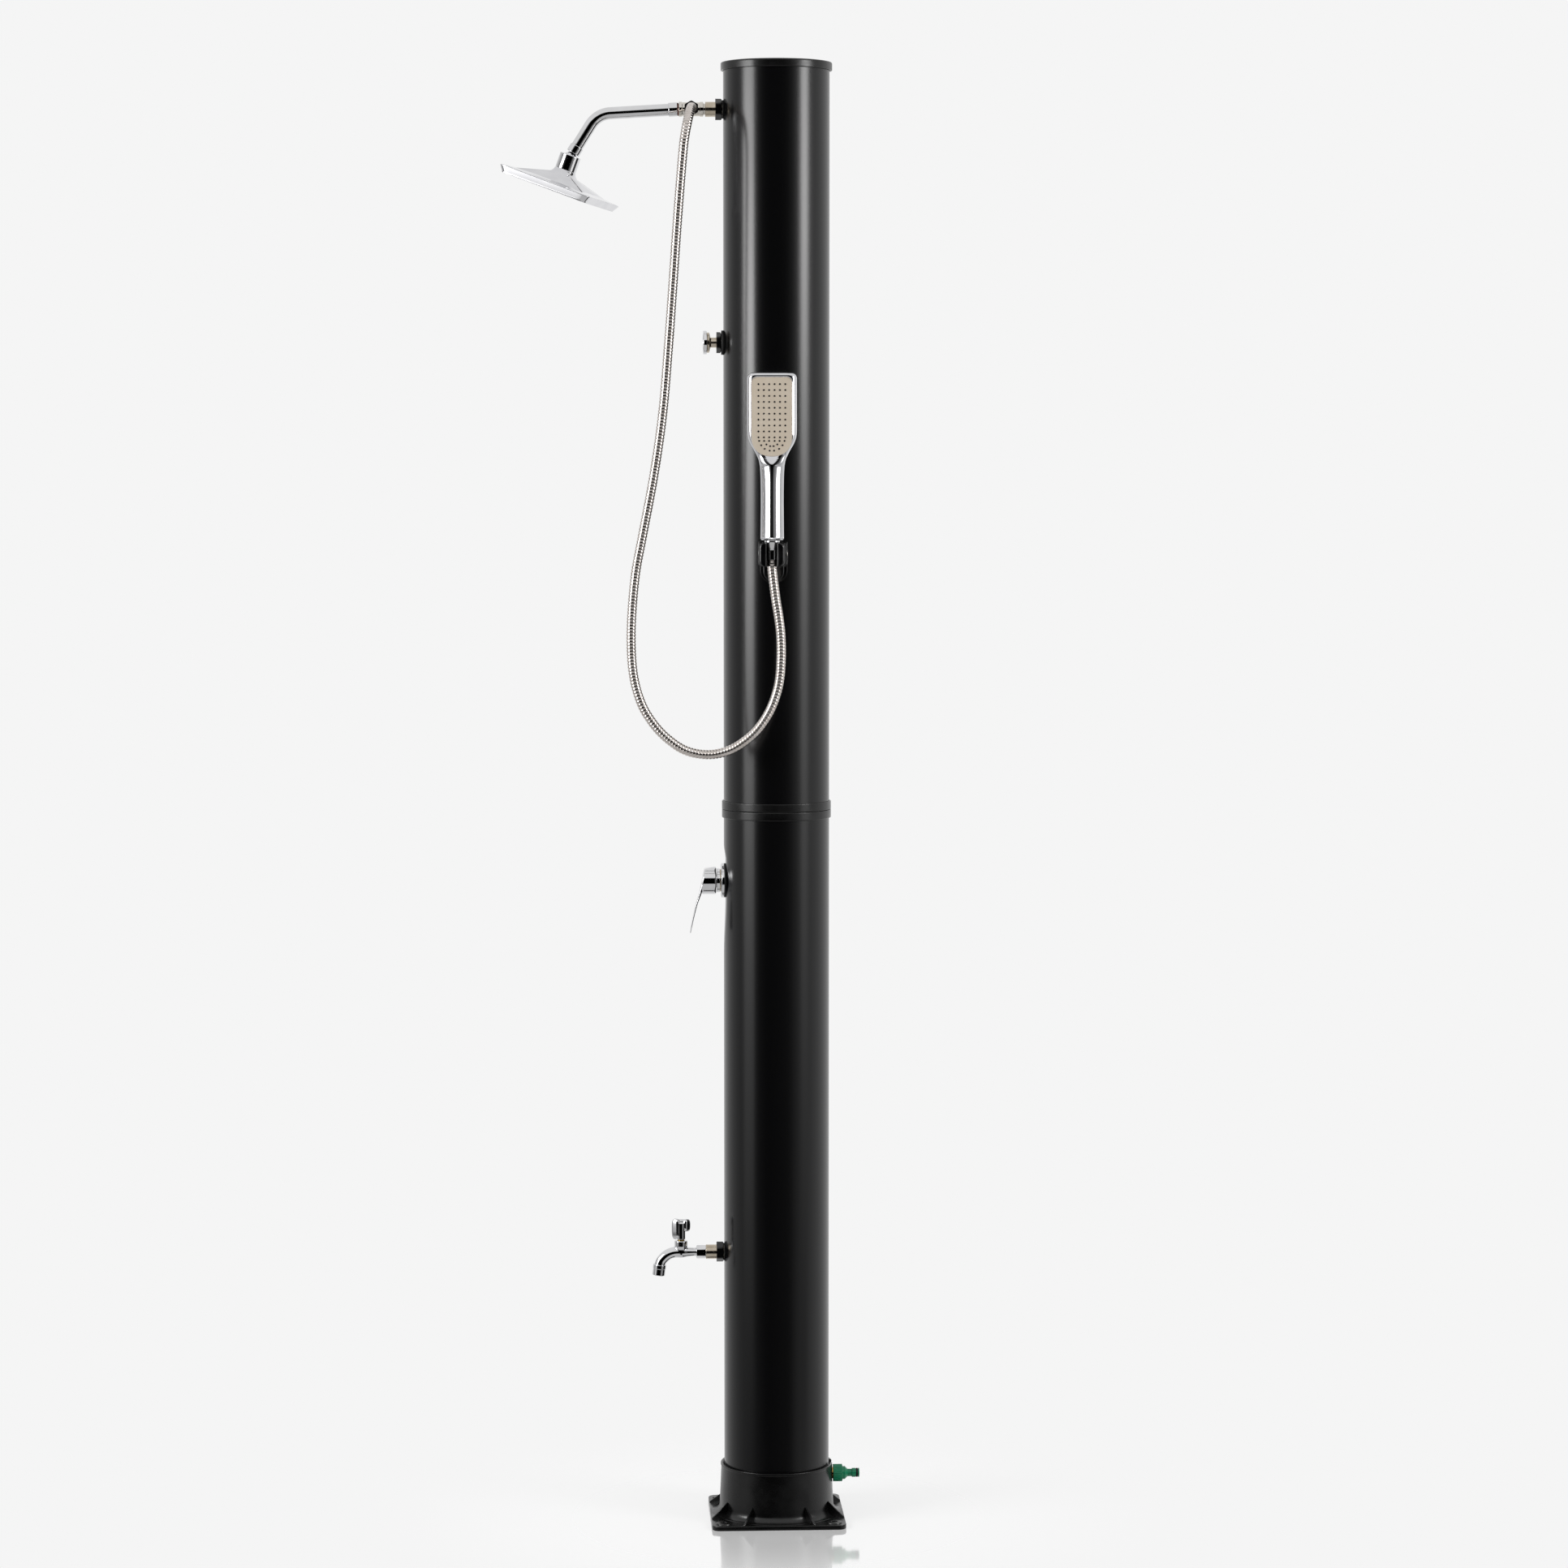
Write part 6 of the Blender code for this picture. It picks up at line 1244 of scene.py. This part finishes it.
tail_grid = around(tail_reach, tail_line[:, 1:], tail_turns)
green_shell = shell(placed(tail_grid, inlet_axis), ring=True)
piece("inlet_green_tail", green_shell, green_tail, "inlet_adaptor")
seal = arc(1, full_turn(20)) * (0.85, 1.4) + (6, 121.35)
piece("inlet_seal_ring", turned(seal, inlet_axis, ring=True), nitrile, "inlet_o_ring")

# %% [markdown]
# ## The holder and its cradle
# A black plate screwed to the tank carries a drum, and the cradle's two ears clasp the
# drum's ends on a steel pin, so that it tilts. The cradle is open in front, and the cone
# of the hose's nut wedges in it. Its outline is a C whose inner arc narrows downward, so
# each point of that arc is moved in as its height falls.

# %% Holder base and pin
holder_turn = math.radians(5.5)
holder_out = np.array([-math.sin(holder_turn), -math.cos(holder_turn), 0])
holder_across = np.array([math.cos(holder_turn), -math.sin(holder_turn), 0])
pivot_height, handset_height = 1450.5, 1471
pivot_axis = frame_at(holder_out * (tank_radius + 20) + UP * pivot_height, holder_across, UP)
wall_axis = frame_at(UP * pivot_height, holder_out, UP)
thin_plate = rounded_rectangle(32, 20, 18.5, 16) - [11, 0]
thick_plate = rounded_rectangle(30, 15.5, 15, 16) - [11, 0]
neck_block = rounded_rectangle(9, 14, 3, 8)
slabs = merged(
    plate(thin_plate, 74, tank_radius + 1.4, 1),
    plate(thick_plate, 74.5, tank_radius + 6, 2.2),
    plate(neck_block, 74.5, tank_radius + 20, 0.8),
)
drum = lathe([(0, -16), (13, -16), (13, 16), (0, 16)], 0.8, pivot_axis)
piece("holder_wall_plate", merged(moved(slabs, wall_axis), drum), glossy_abs, "holder_base")
pin = lathe([(0, -21.3), (3, -21.3), (3, 21.3), (0, 21.3)], 0.6, pivot_axis, 48)
piece("holder_steel_pin", pin, pin_steel, "holder_pin")

# %% Cradle
cradle_place = holder_out * (tank_radius + 45.5) + UP * handset_height
cradle_axis = frame_at(cradle_place, UP, holder_across)
cradle_low, cradle_high = pivot_height - 17.8 - handset_height, -4.6
seat_top, slot_half = 10.85, 7.5
narrowing = 2.05 / 24


def cradle_outline():
    """The C from above: out along one lip, round the outside, and back round the cone."""
    meet = math.asin(slot_half / seat_top)
    cone = arc(seat_top, np.linspace(-math.pi / 2 - meet, -5 * math.pi / 2 + meet, 60))
    lip = [(slot_half, -13.3), (slot_half + 1.2, -14.5)]
    front_right = arc(5, np.linspace(-math.pi / 2, 0, 10)) + (14.2, -9.5)
    half = np.vstack([lip, front_right, [(19.2, 0), (19.2, 12.2)]])
    return np.vstack([half, half[::-1] * [-1, 1], cone])


def cradle_surface():
    """The C's plate, then the seat narrowed: a point of the arc moves along its radius in
    proportion to how far below the top it is. The prongs' outer corners, seen from the
    front, are rounded: near an end the half width falls by c - sqrt(c^2 - d^2), with d how
    far the point is past the corner's centre."""
    points, faces = plate(cradle_outline(), cradle_low, cradle_high, 0.4, between=24)
    reach = np.hypot(points[:, 0], points[:, 1])
    on_seat = (reach < seat_top + 1.3) & (points[:, 1] > -10)
    wanted = reach - narrowing * (cradle_high - points[:, 2])
    points[:, :2] *= np.where(on_seat, wanted / reach, 1.0)[:, None]
    upper, lower = 6, 8.5
    past_top = np.clip(points[:, 2] - (cradle_high - upper), 0, upper)
    past_low = np.clip((cradle_low + lower) - points[:, 2], 0, lower)
    fall = upper - np.sqrt(upper**2 - past_top**2) + lower - np.sqrt(lower**2 - past_low**2)
    outer = np.clip((np.abs(points[:, 0]) - 9.5) / 9, 0, 1) * (points[:, 1] < 11)
    points[:, 0] -= np.sign(points[:, 0]) * outer * fall
    return placed(points, cradle_axis), faces


ear = [(0, 16.3), (18.2, 16.3), (18.2, 21.3), (12, 21.3), (11, 20.8), (0, 20.8)]
ear_edges = [0, 0.6, 1.8, 0.6, 0.6, 0]
ears = [lathe([(r, s * h) for r, h in ear], ear_edges, pivot_axis) for s in (-1, 1)]
cradle = merged(cradle_surface(), *ears)
piece("tilting_cradle", cradle, glossy_abs, "holder_cradle", body="cradle")

# %% [markdown]
# ## The hand shower
# One chromed moulding: a handle with flattened sides that widens into a square head. The
# beige face sits in a shallow recess, so its rim catches a line of light all round. The
# body is superellipse rings whose sizes follow smooth curves up its length, and the recess
# is a step in how far forward a point may be, over the face's own outline.

# %% Hand shower body
handset_axis = cradle_axis
# height, half width, half depth, and how far in the corners' ellipses reach across and deep
handset_rows = [(0, 15.8, 11.7, 15.8, 11.7), (0.6, 16.5, 12.4, 16.5, 12.4)]
handset_rows += [(2.2, 17, 12.9, 17, 12.9), (6, 17, 13, 17, 13), (54, 16.6, 13, 16.6, 13)]
handset_rows += [(88, 16.9, 13, 16.9, 13), (106, 17.8, 13, 17.2, 12.6)]
handset_rows += [(110, 18.4, 12.8, 16.5, 12), (117, 19.9, 10.9, 15, 10.1)]
handset_rows += [(122.5, 22.3, 9.5, 13.8, 9), (129, 25.6, 10, 13, 9.4)]
handset_rows += [(140, 31.8, 10.7, 11, 9.6), (149, 35, 10.9, 10, 9.6)]
handset_rows += [(h, 36, 11, 9.8, 9.6) for h in (160, 190, 234)]
face_low, face_bend, face_top, face_wide, face_corner, face_power = 121.7, 150.7, 236, 29.5, 8, 2.3


def face_depth(x, z):
    """How far a point is inside the face's outline, less than 0 outside. Above the bend
    the outline is a rectangle with round corners, whose distance is that to the corner's
    circle or to the nearest side. Below it is a half superellipse, and the distance is
    its level times its height."""
    aside, above = np.abs(x) - (face_wide - face_corner), z - (face_top - face_corner)
    beyond = np.hypot(np.maximum(aside, 0), np.maximum(above, 0))
    square = face_corner - beyond - np.minimum(np.maximum(aside, above), 0)
    down = np.maximum(face_bend - z, 0) / (face_bend - face_low)
    level = ((np.abs(x) / face_wide) ** face_power + down**face_power) ** (1 / face_power)
    return np.where(z > face_bend, square, (1 - level) * (face_bend - face_low))


def rounded_box_ring(half_x, half_y, reach_x, reach_y, columns, power=2.0):
    """A rectangle whose corners are quarter superellipses of reach_x by reach_y, drawn
    finely from the middle of the front and then cut into columns of equal length along
    it. A power under 2 gives the middle a soft ridge."""
    turn = np.linspace(0, np.pi / 2, 60)
    across, deep = np.sin(turn) ** (2 / power), 1 - np.cos(turn) ** (2 / power)
    corner = np.stack([half_x - reach_x + reach_x * across, reach_y * deep - half_y], 1)
    quarter = np.vstack([[0, -half_y], corner, [half_x, 0]])
    right = np.vstack([quarter, (quarter * [1, -1])[::-1][1:]])
    round_line = np.vstack([right, (right * [-1, 1])[::-1][1:]])
    along = np.concatenate([[0], np.cumsum(np.hypot(*np.diff(round_line, axis=0).T))])
    at = np.linspace(0, along[-1], columns, endpoint=False)
    return np.stack([np.interp(at, along, round_line[:, k]) for k in (0, 1)], 1)


def rounded_off(heights, start, radius):
    """How much a half size falls above a height, along a quarter circle."""
    past = np.maximum(heights - start, 0)
    return radius - np.sqrt(np.maximum(radius**2 - past**2, 0))


def handset_surface(columns=300):
    """Bore, stub and bottom, then rings up to the head's crown. Over the last 9 mm the
    half width falls as a quarter circle and over the last 5 mm so does the half depth.
    The face's recess is a step in how far forward a point may be."""
    line, _ = smooth_line(handset_rows, 400)
    heights = [*line[line[:, 0] < 6][::3, 0], *np.linspace(6, 104, 26, endpoint=False)]
    heights += [*np.linspace(104, 236.6, 190, endpoint=False)]
    heights += [*(243 - 6.4 * (1 - np.sin(np.linspace(0, np.pi / 2, 14))))]
    heights = np.array(heights)
    sizes = np.stack([np.interp(heights, line[:, 0], line[:, k]) for k in range(1, 5)], 1)
    deep_in = rounded_off(heights, 238, 5)
    sizes[:, 0] -= rounded_off(heights, 234, 9)
    sizes[:, 1] -= deep_in
    sizes[:, 3] -= deep_in * 0.8
    ridge = 2 - 0.62 * smooth_step((heights - 0.5) / 4) * smooth_step((116 - heights) / 10)
    rings = [rounded_box_ring(*size, columns, power) for size, power in zip(sizes, ridge)]
    rings = [np.column_stack([ring, np.full(columns, h)]) for ring, h in zip(rings, heights)]
    rings = np.array(rings)
    share = smooth_step((face_depth(rings[..., 0], rings[..., 2]) + 0.9) / 0.9)
    limit = np.where(rings[..., 1] < 0, np.maximum(rings[..., 1], -9.2), rings[..., 1])
    rings[..., 1] += share * (limit - rings[..., 1])
    under = [(6.2, 30), (6.2, -11.8), (6.6, -12), (8.1, -12), (8.5, -11.6), (8.5, -0.1), (8.7, 0)]
    under = [
        np.column_stack([rounded_box_ring(r, r, r, r, columns), np.full(columns, h)])
        for r, h in under
    ]
    return shell(placed(np.concatenate([under, rings]), handset_axis))


handset = handset_surface()
piece("hand_shower_body", handset, wavy_chrome, "handset_body", body="hand_shower")

# %% Hand shower face, nozzles and cone nut
face_axis = frame_at(handset_axis[:3, 3], holder_out, holder_across)
upper_right = arc(face_corner, np.linspace(0, np.pi / 2, 12))
upper_right += (face_wide - face_corner, face_top - face_corner)
low_turn = np.linspace(0, np.pi / 2, 40)[:1:-1]
low_right = arc(1, low_turn) ** (2 / face_power) * (face_wide, face_low - face_bend)
right_half = np.vstack([low_right + (0, face_bend), [(face_wide, face_bend)], upper_right])
face_outline = np.vstack([right_half, (right_half * [-1, 1])[:0:-1]])
shower_face = moved(plate(face_outline, 8, 10, 0.5), face_axis)
piece("hand_shower_face", shower_face, beige_face, "handset_face", body="hand_shower")
block_x, block_z = np.meshgrid((np.arange(6) - 2.5) * 7.8, 226 - 8.54 * np.arange(10))
half_dots = [(18.4, 144), (11.2, 144), (4, 144), (15.5, 137.7)]
half_dots += [(7.9, 138.9), (2.5, 136.4), (10.5, 132.5), (3.3, 129.9)]
block = np.column_stack([block_x.ravel(), block_z.ravel()])
dots = np.vstack([block, half_dots, np.multiply(half_dots, (-1, 1))])
dot_profile = [(1.4, 0), (1.35, 0.4), (1.1, 0.6), (0.5, 0.6)]
face_nozzles = nozzle_field(dots, dot_profile, further(face_axis, 9.9), 14)
piece("hand_shower_nozzles", face_nozzles, nozzle_rubber, body="hand_shower")
cone_nut = [(11.3, -0.3), (11.3, -2.8), (10.7, -3.6), (8.1, -14.5), (7.9, -28.3)]
cone_nut += [(7.4, -28.3), (7.4, -12.3), (8.8, -12.3), (8.8, -0.3)]
cone_nut = lathe(cone_nut, [0.6, 0.8, 1, 3, 0.4, 0.2, 0, 0, 0.2], handset_axis)
piece("hose_cone_nut_turned", cone_nut, chrome, "hose_cone_nut", body="hand_shower")

# %% [markdown]
# The hose is 1.4 m of 14 mm hose that leaves the tee and goes back into the hand shower,
# hanging free between them.

print("hose: 1.4 m of 14 mm hose from the tee to the hand shower")

# %% [markdown]
# ## What stays from the CAD
# The pipes in the tanks, the cups of the ball joint, the cartridge and a few hidden nuts
# keep their CAD meshes, since their shapes are right and nobody sees a facet. Each gets
# its real finish.

# %% Finishes of the CAD nodes that stay
kept_finishes = {
    "tank_bottom_cap": moulded_abs,
    "flange_seal": nitrile,
    "cold_feed_pipe": pex,
    "hot_pickup_pipe": pex,
    "riser_pipe": pex,
    "outlet_back_nut": moulded_abs,
    "tap_back_nut": moulded_abs,
    "swivel_seal_cup": acetal,
    "swivel_backing_cup": acetal,
    "mixer_body": nickel,
    "mixer_cartridge": grey_abs,
    "mixer_spindle": acetal,
}
for node_name, finish in kept_finishes.items():
    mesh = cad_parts[node_name].data
    mesh.materials.clear()
    mesh.materials.append(finish)
shown = [name for name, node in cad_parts.items() if not node.hide_render]
print("CAD nodes still shown:", sorted(shown))

# %% [markdown]
# ## The studio
# A black gloss column shows its lamps and nothing else. In the photograph two tall soft
# stripes run down it, half a radius either side of its middle, so the two softboxes stand
# about 62 degrees to either side of the camera. The stripes fade downward, because the
# boxes hang high. The room behind the camera is dark, which keeps the column's middle black,
# and the white backdrop behind the column lights its edges. The studio is set out in
# metres.


# %% Softboxes
def softbox(name, from_camera, distance, width, strengths):
    """A glowing upright sheet that faces the column, so many degrees beside the camera.
    Its strength is drawn against its height, as stops of (height, strength), of which the
    first two are its ends."""
    turn = math.radians(2.7 + from_camera)
    away = np.array([-math.sin(turn), -math.cos(turn), 0])
    across = np.cross(UP, away) * width / 2
    low, high = strengths[0][0], strengths[1][0]
    corners = [away * distance + across * s + UP * h for s, h in ((-1, low), (1, low))]
    corners += [away * distance + across * s + UP * h for s, h in ((1, high), (-1, high))]
    mesh = bpy.data.meshes.new(name)
    mesh.from_pydata([tuple(c) for c in corners], [], [(0, 1, 2, 3)])
    material, tree, where = new_finish(name + "_glow")
    height = add(tree, "SeparateXYZ", links={"Vector": where}).outputs["Z"]
    place = add(tree, "MapRange", {"From Min": low, "From Max": high}, {"Value": height})
    ramp = add(tree, "ValToRGB", links={"Fac": place})
    stops = ramp.color_ramp.elements
    most = max(s for _, s in strengths)
    for k, (h, s) in enumerate(strengths):
        at = (h - low) / (high - low)
        stop = stops[k] if k < 2 else stops.new(at)
        stop.position = at
        stop.color = (s / most, s / most, s / most, 1)
    glow = add(tree, "Emission", {"Strength": most}, {"Color": ramp})
    add(tree, "OutputMaterial", links={"Surface": glow})
    mesh.materials.append(material)
    sheet = bpy.data.objects.new(name, mesh)
    bpy.context.scene.collection.objects.link(sheet)
    sheet.visible_camera = False
    sheet.visible_shadow = False


left_stops = [(-0.60, 0.20), (3.00, 3.0), (-0.36, 0.20), (-0.09, 0.50), (0.45, 0.95)]
left_stops += [(0.86, 2.2), (1.26, 5.0), (1.53, 8.4), (1.82, 13.5), (2.10, 12.0), (2.43, 6.8)]
right_stops = [(-0.60, 0.20), (3.00, 4.0), (-0.36, 0.25), (0.18, 0.58), (0.72, 1.15)]
right_stops += [(1.26, 2.2), (1.53, 3.6), (1.82, 8.8), (2.07, 13.0), (2.43, 11.5)]
softbox("left_softbox", 62.0, 3.2, 1.45, left_stops)
softbox("right_softbox", -62.5, 3.2, 1.0, right_stops)
print("softboxes hung")

# %% [markdown]
# ## Room and backdrop
# The world is the white room as each kind of ray meets it. The camera sees plain pale
# grey. A gloss sees a dark zone round the camera, fading to bright at the sides and at the
# back, and dull surfaces get an even light.

# %% Room and backdrop
world = bpy.data.worlds.new("studio_room")
bpy.context.scene.world = world
world.use_nodes = True
room = world.node_tree
room.nodes.clear()
rays = add(room, "LightPath").outputs
directions = add(room, "TexCoord").outputs["Generated"]
toward = add(room, "SeparateXYZ", links={"Vector": directions}).outputs
add_up, times, larger = {"operation": "ADD"}, {"operation": "MULTIPLY"}, {"operation": "MAXIMUM"}
size_of, times_plus = {"operation": "ABSOLUTE"}, {"operation": "MULTIPLY_ADD"}
shifted = add(room, "Math", {**add_up, 1: -0.02}, {0: toward["X"]})
aside = add(room, "Math", size_of, {0: shifted})
up_or_down = add(room, "Math", size_of, {0: toward["Z"]})
beside_camera, over_camera, at_the_back, upper_ends, lower_ends = (
    add(
        room,
        "MapRange",
        {
            "interpolation_type": "SMOOTHSTEP",
            "From Min": from_low,
            "From Max": from_high,
            "To Min": to_low,
            "To Max": to_high,
        },
        {"Value": source},
    )
    for source, from_low, from_high, to_low, to_high in (
        (aside, 0.30, 0.68, 0.0, 1.0),
        (up_or_down, 0.33, 0.47, 0.0, 1.0),
        (toward["Y"], -0.30, 0.10, 0.0, 1.0),
        (up_or_down, 0.26, 0.48, 0.0, 0.88),
        (toward["Z"], -0.3, 0.1, 0.66, 1.0),
    )
)
near_camera = add(room, "Math", larger, {0: beside_camera, 1: over_camera})
lit_part = add(room, "Math", larger, {0: near_camera, 1: at_the_back})
level = add(room, "Math", {**times_plus, 1: 0.50, 2: 0.53}, {0: toward["Y"]})
level = add(room, "Math", {**times_plus, 1: 0.17}, {0: toward["X"], 2: level})
ends = add(room, "Math", times, {0: upper_ends, 1: lower_ends})
level = add(room, "Math", larger, {0: level, 1: ends})
level = add(room, "Math", {"operation": "MINIMUM", 1: 0.97}, {0: level})
reflected = add(room, "Math", times, {0: level, 1: lit_part})
in_gloss = add(room, "Math", times, {0: reflected, 1: rays["Is Glossy Ray"]})
in_diffuse = add(room, "Math", {**times, 1: 0.45}, {0: rays["Is Diffuse Ray"]})
seen_rays = {0: rays["Is Camera Ray"], 1: rays["Is Transmission Ray"]}
seen = add(room, "Math", larger, seen_rays)
not_seen = add(room, "Math", larger, {0: in_gloss, 1: in_diffuse})
strength = add(room, "Math", larger, {0: not_seen, 1: seen})
pale = add(room, "Background", {"Color": linear("#f5f5f5")}, {"Strength": strength})
add(room, "OutputWorld", links={"Surface": pale})
print("room set")

# %% [markdown]
# ## Floor
# The shower stands on a pale gloss sheet. It mirrors the foot, it glows a little as the
# lit backdrop does, and it fades out with the distance from the column, so that no edge
# of it shows.

# %% Floor
floor_columns, floor_rows, floor_height = 96, 40, -0.0004
floor_radii = np.linspace(0.05, 6.0, floor_rows)[:, None]
floor_grid = around(floor_radii, floor_height + 0 * floor_radii, full_turn(floor_columns))
floor_points = np.vstack([floor_grid.reshape(-1, 3), [0, 0, floor_height]])
floor_faces = grid_faces(floor_rows, floor_columns)
floor_faces += [
    [i, (i + 1) % floor_columns, floor_rows * floor_columns] for i in range(floor_columns)
]
floor_mesh = bpy.data.meshes.new("pale_floor")
floor_mesh.from_pydata(floor_points.tolist(), [], floor_faces)
floor = bpy.data.objects.new("pale_floor", floor_mesh)
bpy.context.scene.collection.objects.link(floor)
floor.visible_glossy = False
paint, tree, where = new_finish("pale_studio_floor")
rays = add(tree, "LightPath").outputs
seen_rays = {0: rays["Is Camera Ray"], 1: rays["Is Transmission Ray"]}
seen = add(tree, "Math", larger, seen_rays)
glow_level = add(tree, "Math", {**times, 1: 0.235}, {0: seen})
flat_place = add(tree, "Mapping", {"Scale": (1, 1, 0)}, {"Vector": where})
from_middle = add(tree, "VectorMath", {"operation": "LENGTH"}, {0: flat_place})
far = add(
    tree,
    "MapRange",
    {"interpolation_type": "SMOOTHSTEP", "From Min": 0.15, "From Max": 0.62},
    {"Value": from_middle.outputs["Value"]},
)
gloss = {"Base Color": linear("#e7e7e7"), "Roughness": 0.07, "Metallic": 0.48}
gloss["Emission Color"] = (1, 1, 1, 1)
lit = add(tree, "BsdfPrincipled", gloss, {"Emission Strength": glow_level})
clear = add(tree, "BsdfTransparent")
fading = add(tree, "MixShader", links={"Fac": far, 1: lit, 2: clear})
add(tree, "OutputMaterial", links={"Surface": fading})
floor_mesh.materials.append(paint)
bpy.context.scene.view_settings.view_transform = "Standard"
print("floor laid")
